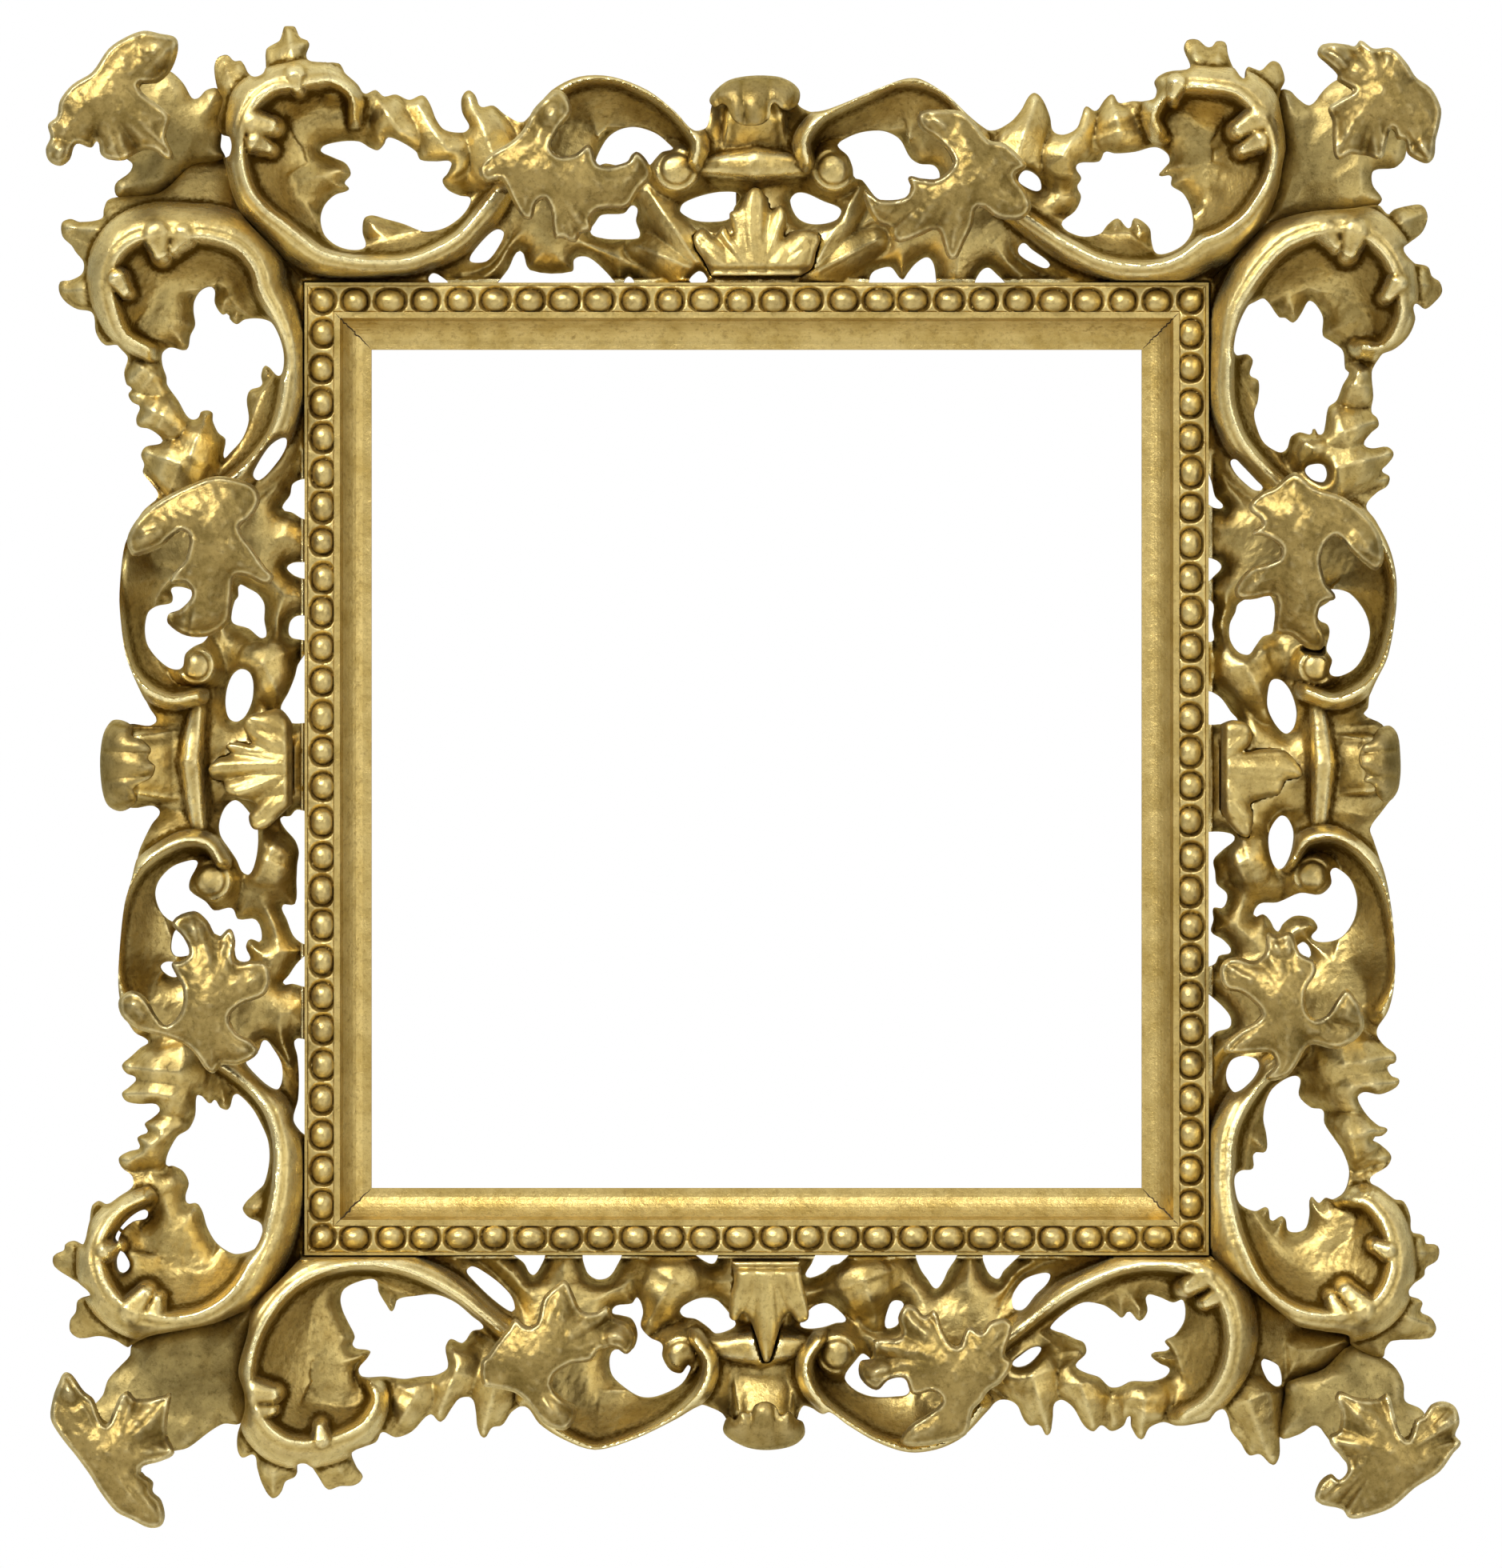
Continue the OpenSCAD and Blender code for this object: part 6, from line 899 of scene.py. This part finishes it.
# Carved leaves
# Eight leaves of five to seven lobes on the boards and four on the corner blocks, each cut from a domed piece
# about 3 mm thin, folded between its lobes, and standing on a stalk glued to the wood behind.
leaf_edge_t, leaf_mid_t, stalk_r, stalk_flare, block_t = 1.4, 3.4, 7.5, 11.0, 16.0
leaf_fold, corner_leaf_fold, narrow_lobe, leaf_cell = 7.5, 11.5, 8.5, 0.45
knob_high, knob_groove, knob_groove_at, knob_groove_w = 3.4, 0.6, 1.3, 0.3
boss_high, boss_w, curl_high, curl_from, curl_over = 1.6, 0.34, 1.6, 0.72, 0.28
arris_high, arris_at, arris_w = 0.9, 1.1, 0.6
edge_lift, edge_round, edge_round_w, edge_arris, edge_arris_w = 0.6, 3.0, 3.4, 0.7, 0.7
arch_mean, notch_crease, notch_w, lobe_vein, vein_from = 0.62, 0.10, 2.4, 0.07, 8
# Leaf ends that curl up into a knob: leaf, place and radius
curls_px = [
    ["top_left_leaf", 697, 142, 22], ["top_right_leaf", 1166, 154, 20], ["left_upper_leaf", 186, 672, 24],
    ["left_lower_leaf", 172, 1258, 18], ["left_lower_leaf", 246, 1160, 16], ["right_upper_leaf", 1702, 686, 24],
    ["right_lower_leaf", 1682, 1258, 20], ["right_lower_leaf", 1600, 1180, 14], ["bottom_left_leaf", 696, 1764, 22],
    ["bottom_left_leaf", 774, 1664, 16], ["bottom_right_leaf", 1150, 1790, 24],
    ["bottom_right_leaf", 1096, 1712, 16], ["top_left_corner_leaf", 204, 66, 20],
    ["top_left_corner_leaf", 80, 196, 14], ["top_right_corner_leaf", 1666, 76, 18],
    ["top_right_corner_leaf", 1780, 192, 14], ["bottom_right_corner_leaf", 1806, 1770, 18],
    ["bottom_left_corner_leaf", 92, 1732, 16]]


def lobe_angles(outline, hub, least):
    """Directions of the lobes and of the notches between them, round the hub."""
    spots = at(outline) - at([hub[:2]])[0]
    reach = np.linalg.norm(spots, axis=1)
    angle = np.arctan2(spots[:, 1], spots[:, 0])
    before, after = np.roll(reach, 1), np.roll(reach, -1)
    tips = [k for k in range(len(spots)) if reach[k] >= before[k] and reach[k] > after[k]
            and reach[k] > reach.max() * least]
    notches = []
    for k, tip in enumerate(tips):
        following = tips[(k + 1) % len(tips)]
        between = [j % len(spots) for j in range(tip + 1, following + (len(spots) if following <= tip else 0))]
        if between:
            notches.append(angle[min(between, key=lambda j: reach[j])])
    return angle[tips], np.array(notches), reach.max()


def folded(points, outline, hub, depth_mm, least=0.58, twist=0.3, from_share=0.22):
    """Rounded lobes with a fold between each two, growing from a smooth middle to the rim."""
    tips, notches, reach = lobe_angles(outline, hub, least)
    off = points - at([hub[:2]])[0]
    away = np.linalg.norm(off, axis=1)
    grown = np.clip(away / reach, 0, 1)
    angle = np.arctan2(off[:, 1], off[:, 0]) + twist * (1 - grown) ** 2
    to_tip, to_notch = (np.abs((angle[:, None] - others + math.pi) % (2 * math.pi) - math.pi).min(axis=1)
                        for others in (tips, notches))
    share = to_notch / np.maximum(to_tip + to_notch, 1e-6)
    growth = np.clip((grown - from_share) / 0.6, 0, 1)
    # Narrow lobes are cut less deep
    narrow = np.clip((to_tip + to_notch) * away / narrow_lobe, 0.15, 1)
    arch = (np.sin(share * math.pi / 2) - arch_mean) * narrow
    crease = -notch_crease * np.exp(-(to_notch * away / notch_w) ** 2)
    vein = -lobe_vein * np.exp(-(to_tip * away) ** 2) * np.clip(away / vein_from, 0, 1)
    return depth_mm * growth * (arch + crease + vein), grown


def leaf_height(name, outline, hub, fold_mm):
    def height(points, depth):
        fold, grown = folded(points, outline, hub, fold_mm)
        # Ends that curl up into a knob
        for leaf, x, y, r in curls_px:
            if leaf == name:
                away = distance_from(points, x, y) / wide(r)
                groove = knob_groove * np.exp(-((away - knob_groove_at) / knob_groove_w) ** 2)
                fold = fold + knob_high * np.exp(-away ** 2.2) - groove
        boss = boss_high * np.exp(-(grown / boss_w) ** 2)
        curl = curl_high * np.clip(grown - curl_from, 0, 1) / curl_over
        arris = arris_high * np.exp(-((depth - arris_at) / arris_w) ** 2)
        # Lobes are round across, and their rims are a sharp arris, lightened in carve by wear and a painted
        # highlight
        edge = edge_lift - edge_round * np.exp(-depth / edge_round_w) - edge_arris * np.exp(-depth / edge_arris_w)
        return np.minimum(dome_height(points, hub) + fold + boss + curl + arris + edge
                          + tool_marks(points, 0.26, 6, 5, 14) + tool_marks(points, 0.08, 16, 2, 4), carving_h)
    return height


def leaf_back(hub, seat):
    def under(points, depth, tops):
        lower = tops - leaf_edge_t - (leaf_mid_t - leaf_edge_t) * (1 - np.exp(-depth / 3.0))
        # The stalk flares into the leaf
        stalk = np.clip((distance_from(points, *hub[:2]) - stalk_r) / stalk_flare, 0, 1) ** 0.7
        return np.where(depth < 0.01, lower, seat + (lower - seat) * stalk)
    return under


# The leaves and shells get a darker copy of the gold: painted shade, for the dimmer reflection of their sloping
# lobes
shaded_leaf_gold = gold_leaf("leaf_gold_with_painted_shade", "#4a380f", "#776434", "#a28c54", "#f6e8b4", dull=0.02)
for name, on, hub, outline in leaves_px:
    seat, fold_mm = (block_t, corner_leaf_fold) if on == "block" else (board_t, leaf_fold)
    carve(name.replace("leaf", "carved_leaf"), name, [rounded(at(outline))], leaf_cell,
          leaf_height(name, outline, hub, fold_mm), under=leaf_back(hub, seat), front=shaded_leaf_gold, rim_wear_and_highlight=0.75)

# Palmettes
# Four small acanthus sprays that stand on the boards against the moulding, one in the middle of each side,
# carved from one piece: a tall middle lobe and two at each side, fluted lengthwise, on a collar at the foot.
palmette_fold, flute_gap, flute_deep, collar_at, collar_deep, tip_curl = 4.8, 3.1, 0.75, 3.6, 2.2, 1.6
palmette_straight, palmette_cell = 13.0, 0.40
flute_open, flute_mean, flute_from, collar_w = 60, 0.6, 6, 1.1
palmette_rim, palmette_rim_w, tip_from, tip_over = 2.4, 0.9, 0.7, 0.3


def own_axes(side):
    """Directions outwards and along the rail for one side of the frame."""
    angle = {"top": math.pi / 2, "bottom": -math.pi / 2, "left": math.pi, "right": 0.0}[side]
    return np.array([math.cos(angle), math.sin(angle)]), np.array([-math.sin(angle), math.cos(angle)])


def palmette_height(root, outline, side):
    out, along = own_axes(side)

    def height(points, depth):
        off = points - at([root[:2]])[0]
        away = np.linalg.norm(off, axis=1)
        forward, aside = off @ out, off @ along
        dome = up(root[2]) - carving_w + np.sqrt(carving_w ** 2 - away ** 2)
        fold, grown = folded(points, outline, root, palmette_fold, 0.5, 0.0, 0.08)
        # Flutes run nearly side by side and open a little towards the tips
        across = aside / (1 + forward / flute_open)
        flute = flute_deep * (np.abs(np.cos(across * math.pi / (2 * flute_gap))) - flute_mean)
        flute = flute * np.clip(forward / flute_from, 0, 1)
        collar = -collar_deep * np.exp(-((forward - collar_at) / collar_w) ** 2)
        edge = -palmette_rim * np.exp(-depth / palmette_rim_w)
        curl = tip_curl * np.clip(grown - tip_from, 0, 1) / tip_over
        return dome + fold + flute + collar + edge + curl + tool_marks(points, 0.10, 7)
    return height


for side, (root, outline) in palmettes_px.items():
    carve(f"{side}_carved_palmette", f"{side}_palmette", [rounded(at(outline), palmette_straight)], palmette_cell,
          palmette_height(root, outline, side), under=board_t, rim_wear_and_highlight=0.4)

# Shells
# Four small leaves folded over the outer rim like shells: smooth and round on the outside, fluted, with a
# scalloped lip towards the moulding, cut from one piece with the neck they lie on.
shell_top, shell_roll, shell_flute_w, shell_flute_deep, shell_fold_at, shell_cell = 31.0, 9.5, 4.6, 1.9, 0.30, 0.42
shell_roll_power, shell_lip, shell_lip_power, shell_end, shell_end_power = 2.4, 2.0, 1.5, 0.9, 3.2
shell_lift, shell_rim, shell_rim_w = 0.4, 2.2, 1.6
# Outlines of the shells, with their scalloped edges
shell_rims_px = {
    "top": [[887, 125], [897, 111], [913, 100], [939, 95], [972, 96], [991, 104], [1000, 115], [998, 129],
        [988, 138], [978, 137], [969, 130], [964, 134], [962, 148], [953, 156], [939, 158], [925, 156], [915, 148],
        [909, 133], [903, 130], [894, 134]],
    "bottom": [[904, 1784], [911, 1770], [920, 1774], [926, 1764], [938, 1765], [944, 1755], [958, 1751],
        [970, 1757], [976, 1768], [986, 1763], [995, 1773], [1004, 1778], [1006, 1793], [996, 1804], [979, 1810],
        [956, 1812], [935, 1809], [916, 1800], [906, 1792]],
    "left": [[126, 948], [130, 918], [140, 901], [152, 900], [166, 908], [166, 920], [178, 924], [190, 937],
        [186, 948], [195, 958], [190, 972], [176, 980], [168, 985], [172, 999], [164, 1009], [150, 1014],
        [135, 1006], [128, 983]],
    "right": [[1750, 946], [1747, 919], [1737, 907], [1722, 912], [1714, 926], [1704, 931], [1698, 945], [1700, 958],
        [1707, 966], [1704, 976], [1716, 981], [1721, 993], [1733, 1003], [1746, 990], [1750, 970]]}


def shell_height(outline, side):
    out, along = own_axes(side)
    rim = at(outline)
    middle = (rim @ along).mean()
    inner, outer = (rim @ out).min(), (rim @ out).max()
    half = np.ptp(rim @ along) / 2

    def height(points, depth):
        across = (points @ along - middle) / half
        share = (points @ out - inner) / (outer - inner)
        # Rolled over: highest a third of the way out, and falling to the rim on the outside
        roll = -shell_roll * np.clip((share - shell_fold_at) / (1 - shell_fold_at), 0, 1) ** shell_roll_power
        roll = roll - shell_lip * np.clip(shell_fold_at - share, 0, 1) ** shell_lip_power
        ends = -shell_roll * shell_end * np.clip(np.abs(across), 0, 1.1) ** shell_end_power
        spread = across * half / (0.78 + 0.30 * np.clip(share, 0, 1))
        flutes = shell_flute_deep * (np.abs(np.cos(spread * math.pi / (2 * shell_flute_w))) ** 0.8 - 0.6)
        flutes = flutes * np.clip(1.15 - share * 0.75, 0.2, 1)
        edge = shell_lift - shell_rim * np.exp(-depth / shell_rim_w)
        return shell_top + roll + ends + flutes + edge + tool_marks(points, 0.16, 8)
    return height


for side, outline in shell_rims_px.items():
    carve(f"{side}_carved_shell", f"{side}_shell", [rounded(at(outline))], shell_cell, shell_height(outline, side),
          under=board_t, front=shaded_leaf_gold, rim_wear_and_highlight=0.4)

# Corner blocks
# Four rough blocks behind the corner leaves, glued across the ends of the boards. Their gold is darker and
# duller than the boards', and they show a crack at the joint.
block_round, block_round_w, block_least, block_cell = 4.5, 2.2, 4.0, 0.55
dark_gold = gold_leaf("darker_block_leaf", "#4a3c18", "#978450", "#c4b072", "#f0e2b0", dull=0.14)


def block_height(points, depth):
    surface = block_t - block_round * np.exp(-depth / block_round_w)
    rough = tool_marks(points, 0.6, 9, 9, 22) + tool_marks(points, 0.2, 10)
    return np.clip(surface + rough, block_least, block_t)


for corner in ("top_left", "top_right", "bottom_right", "bottom_left"):
    carve(f"{corner}_rough_block", f"{corner}_block", loops_at_back(f"{corner}_block"), block_cell, block_height,
          back=bare_wood, front=dark_gold)

# Mitre cracks
# The joints of the moulding have opened a hair's width with age, from the sight corner to the beads, and the
# line has filled with dark dirt and old glue.
crack_w, crack_proud, crack_deep, crack_steps = 0.62, 0.05, 0.5, 26
crack_from_beads, crack_past_sight, crack_wander, crack_seed = 0.4, 0.3, 0.45, 20


def old_dirt(name):
    """Dirt and hide glue: dark brown, dull and uneven in patches of 1.5 mm."""
    m, place = new_material(name)
    patches = add(m, "TexNoise", {"Scale": per_metre(1.5), "Detail": 4}, place)
    colour = add(m, "ValToRGB", {"stops": ((0.0, "#1d1408"), (1.0, "#4a3516"))}, {"Fac": patches})
    darkening = add(m, "BsdfPrincipled", {"Roughness": 0.85}, {"Base Color": colour})
    add(m, "OutputMaterial", links={"Surface": darkening})
    return m


mitre_dirt = old_dirt("old_glue_and_dirt")
bpy.context.view_layer.update()


def moulding_face(x, z):
    """Where a line from the front meets the rails, as a Y in metres."""
    hits = [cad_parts[f"{side}_rail"].ray_cast((x, -0.2, z), (0, 1, 0)) for side in sides]
    return min((hit[1].y for hit in hits if hit[0]), default=None)


def mitre_crack(name, outer, inner, seed):
    rng = np.random.default_rng(seed)
    way = inner - outer
    across = np.array([-way[1], way[0]]) / np.linalg.norm(way)
    vertices = []
    for k in range(crack_steps + 1):
        share = k / crack_steps
        wander = rng.uniform(-crack_wander, crack_wander) * math.sin(math.pi * share)
        half = crack_w / 2 * rng.uniform(0.5, 1.0) * (0.25 + 0.75 * min(1, 4 * (1 - share), 4 * share))
        middle = outer + way * share + across * wander
        row = [((middle + across * aside) * MM, lift) for aside, lift in
               ((-half, crack_proud), (half, crack_proud), (0, -crack_deep))]
        row = [(x, moulding_face(x, z), z, lift) for (x, z), lift in row]
        if None not in [face for _, face, _, _ in row]:
            vertices += [(x, face - lift * MM, z) for x, face, z, lift in row]
    faces = [(0, 1, 2), tuple(len(vertices) - k for k in (1, 2, 3))]
    for k in range(0, len(vertices) - 3, 3):
        faces += [(k + i, k + 3 + i, k + 3 + j, k + j) for i, j in ((0, 1), (1, 2), (2, 0))]
    mesh = bpy.data.meshes.new(name)
    mesh.from_pydata(vertices, [], faces)
    mesh.validate()
    mesh.materials.append(mitre_dirt)
    crack = put_in_scene(name, mesh)
    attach(crack, "body")


bead_inner = bead_edge + bead_strip_w + crack_from_beads
for seed, (high, aside) in enumerate((("top", "left"), ("top", "right"), ("bottom", "right"), ("bottom", "left"))):
    # From the moulding's outer corner to its sight corner, and the way inwards
    at_left, at_top = aside == "left", high == "top"
    outer = np.array([moulding_left if at_left else moulding_right, moulding_top if at_top else moulding_bottom])
    sight = np.array([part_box(f"{aside}_rail")[int(at_left)][0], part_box(f"{high}_rail")[int(not at_top)][2]]) / MM
    inwards = np.array([1 if at_left else -1, -1 if at_top else 1])
    mitre_crack(f"{high}_{aside}_mitre_crack", outer + inwards * bead_inner, sight - inwards * crack_past_sight,
                crack_seed + seed)

# Mitre keys
# Bow-tie keys of oiled hardwood let into the back across each mitre, sawn and planed flush.
finish_node("mitre_keys", bare_lime_wood("oiled_hardwood", "#5f4224", "#8a6a42"), 0.15)

# Hanger
# A plate of sheet brass with the eye that goes over the wall hook, held by two zinc-plated steel screws.


def plain_metal(name, dull, bright, roughness, patch_mm):
    """Sheet or turned metal, dulled by handling in patches of a few millimetres, so it shines unevenly."""
    m, place = new_material(name)
    wear = add(m, "TexNoise", {"Scale": per_metre(patch_mm), "Detail": 6, "Roughness": 0.65}, place)
    colour = add(m, "ValToRGB", {"stops": ((0.35, dull), (0.65, bright))}, {"Fac": wear})
    rough = add(m, "MapRange", {"From Min": 0.3, "From Max": 0.7, "To Min": roughness + 0.12,
                                "To Max": roughness - 0.08}, {"Value": wear})
    bump = add(m, "Bump", {"Strength": 0.25, "Distance": 0.00008}, {"Height": wear})
    metal = add(m, "BsdfPrincipled", {"Metallic": 1.0}, {"Base Color": colour, "Roughness": rough, "Normal": bump})
    add(m, "OutputMaterial", links={"Surface": metal})
    return m


worn_brass = plain_metal("worn_sheet_brass", "#7d6530", "#b99c56", 0.42, 3)
zinc_steel = plain_metal("zinc_plated_steel", "#6e7073", "#a9abae", 0.38, 2)
finish_node("hanger_plate", worn_brass, 0.25)
finish_node("hanger_screws", zinc_steel, 0.12)

# Turn buttons
# Four brass buttons that turn on their screws to hold the picture and its backing board in the rebate.
for side in sides:
    finish_node(f"{side}_button", worn_brass, 0.25)
finish_node("button_screws", zinc_steel, 0.12)

# Floor and light
# A plain pale studio: a floor of white paper well below the hanging frame, white all round, a large soft lamp
# from the upper left and a weaker one from the right. The room is darker at the height of the camera.
floor_r, floor_z, floor_corners = 2.4, -0.75, 96
floor_mesh = bpy.data.meshes.new("studio_floor")
turns = np.arange(floor_corners) * 2 * math.pi / floor_corners
floor_mesh.from_pydata([(floor_r * math.cos(t), floor_r * math.sin(t), floor_z) for t in turns], [],
                       [list(range(floor_corners))])
floor = put_in_scene("studio_floor", floor_mesh)
# Matt wood-free paper: an even white to the eye, with soft fibres 4 mm long
paper, paper_place = new_material("white_background_paper")
fibres = add(paper, "TexNoise", {"Scale": per_metre(4), "Detail": 4}, paper_place)
white = add(paper, "ValToRGB", {"stops": ((0.0, "#e6e4e0"), (1.0, "#f0eeea"))}, {"Fac": fibres})
sheet = add(paper, "BsdfPrincipled", {"Roughness": 0.9}, {"Base Color": white})
add(paper, "OutputMaterial", links={"Surface": sheet})
floor_mesh.materials.append(paper)

world = bpy.data.worlds.new("studio")
bpy.context.scene.world = world
world.use_nodes = True
world.node_tree.nodes.clear()
path = add(world, "LightPath")
seen = add(world, "Math", {"operation": "MAXIMUM"},
           {0: path.outputs["Is Camera Ray"], 1: path.outputs["Is Transmission Ray"]})
sky_way = add(world, "SeparateXYZ", links={"Vector": add(world, "TexCoord").outputs["Generated"]})
slope = add(world, "Math", {"operation": "ABSOLUTE"}, {0: sky_way.outputs["Z"]})
reflected = add(world, "MapRange", {"From Min": 0.05, "From Max": 0.55, "To Min": 0.31}, {"Value": slope})
glossy_or_soft = add(world, "Mix", {"data_type": "FLOAT", 2: 0.5}, {0: path.outputs["Is Glossy Ray"], 3: reflected})
strength = add(world, "Math", {"operation": "MAXIMUM"}, {0: seen, 1: glossy_or_soft})
light = add(world, "Background", {"Color": (1, 1, 1, 1)}, {"Strength": strength})
add(world, "OutputWorld", links={"Surface": light})


def soft_lamp(name, place, size, watts):
    """A round soft lamp turned to the middle of the frame."""
    lamp = bpy.data.lights.new(name, "AREA")
    lamp.shape, lamp.size, lamp.energy = "DISK", size, watts
    holder = put_in_scene(name, lamp)
    holder.location = place
    holder.rotation_euler = (Vector((0, 0, centre_z * MM)) - Vector(place)).to_track_quat("-Z", "Y").to_euler()


soft_lamp("window_light", (-1.1, -1.5, 1.3), 0.8, 58)
soft_lamp("fill_light", (1.5, -1.8, 0.1), 1.2, 12)

# A long lens, straight on like the photo
camera_away, seen_height, front_y, sensor = 7.0, 0.5292, 0.02, 36
camera = bpy.data.cameras.new("camera")
camera.sensor_width, camera.lens = sensor, sensor * (camera_away - front_y) / seen_height
camera_holder = put_in_scene("camera", camera)
camera_holder.location = (-0.0019, -camera_away, -0.2071)
camera_holder.rotation_euler = (math.pi / 2, 0, 0)
bpy.context.scene.camera = camera_holder
bpy.context.scene.view_settings.view_transform = "Standard"

bpy.context.view_layer.update()
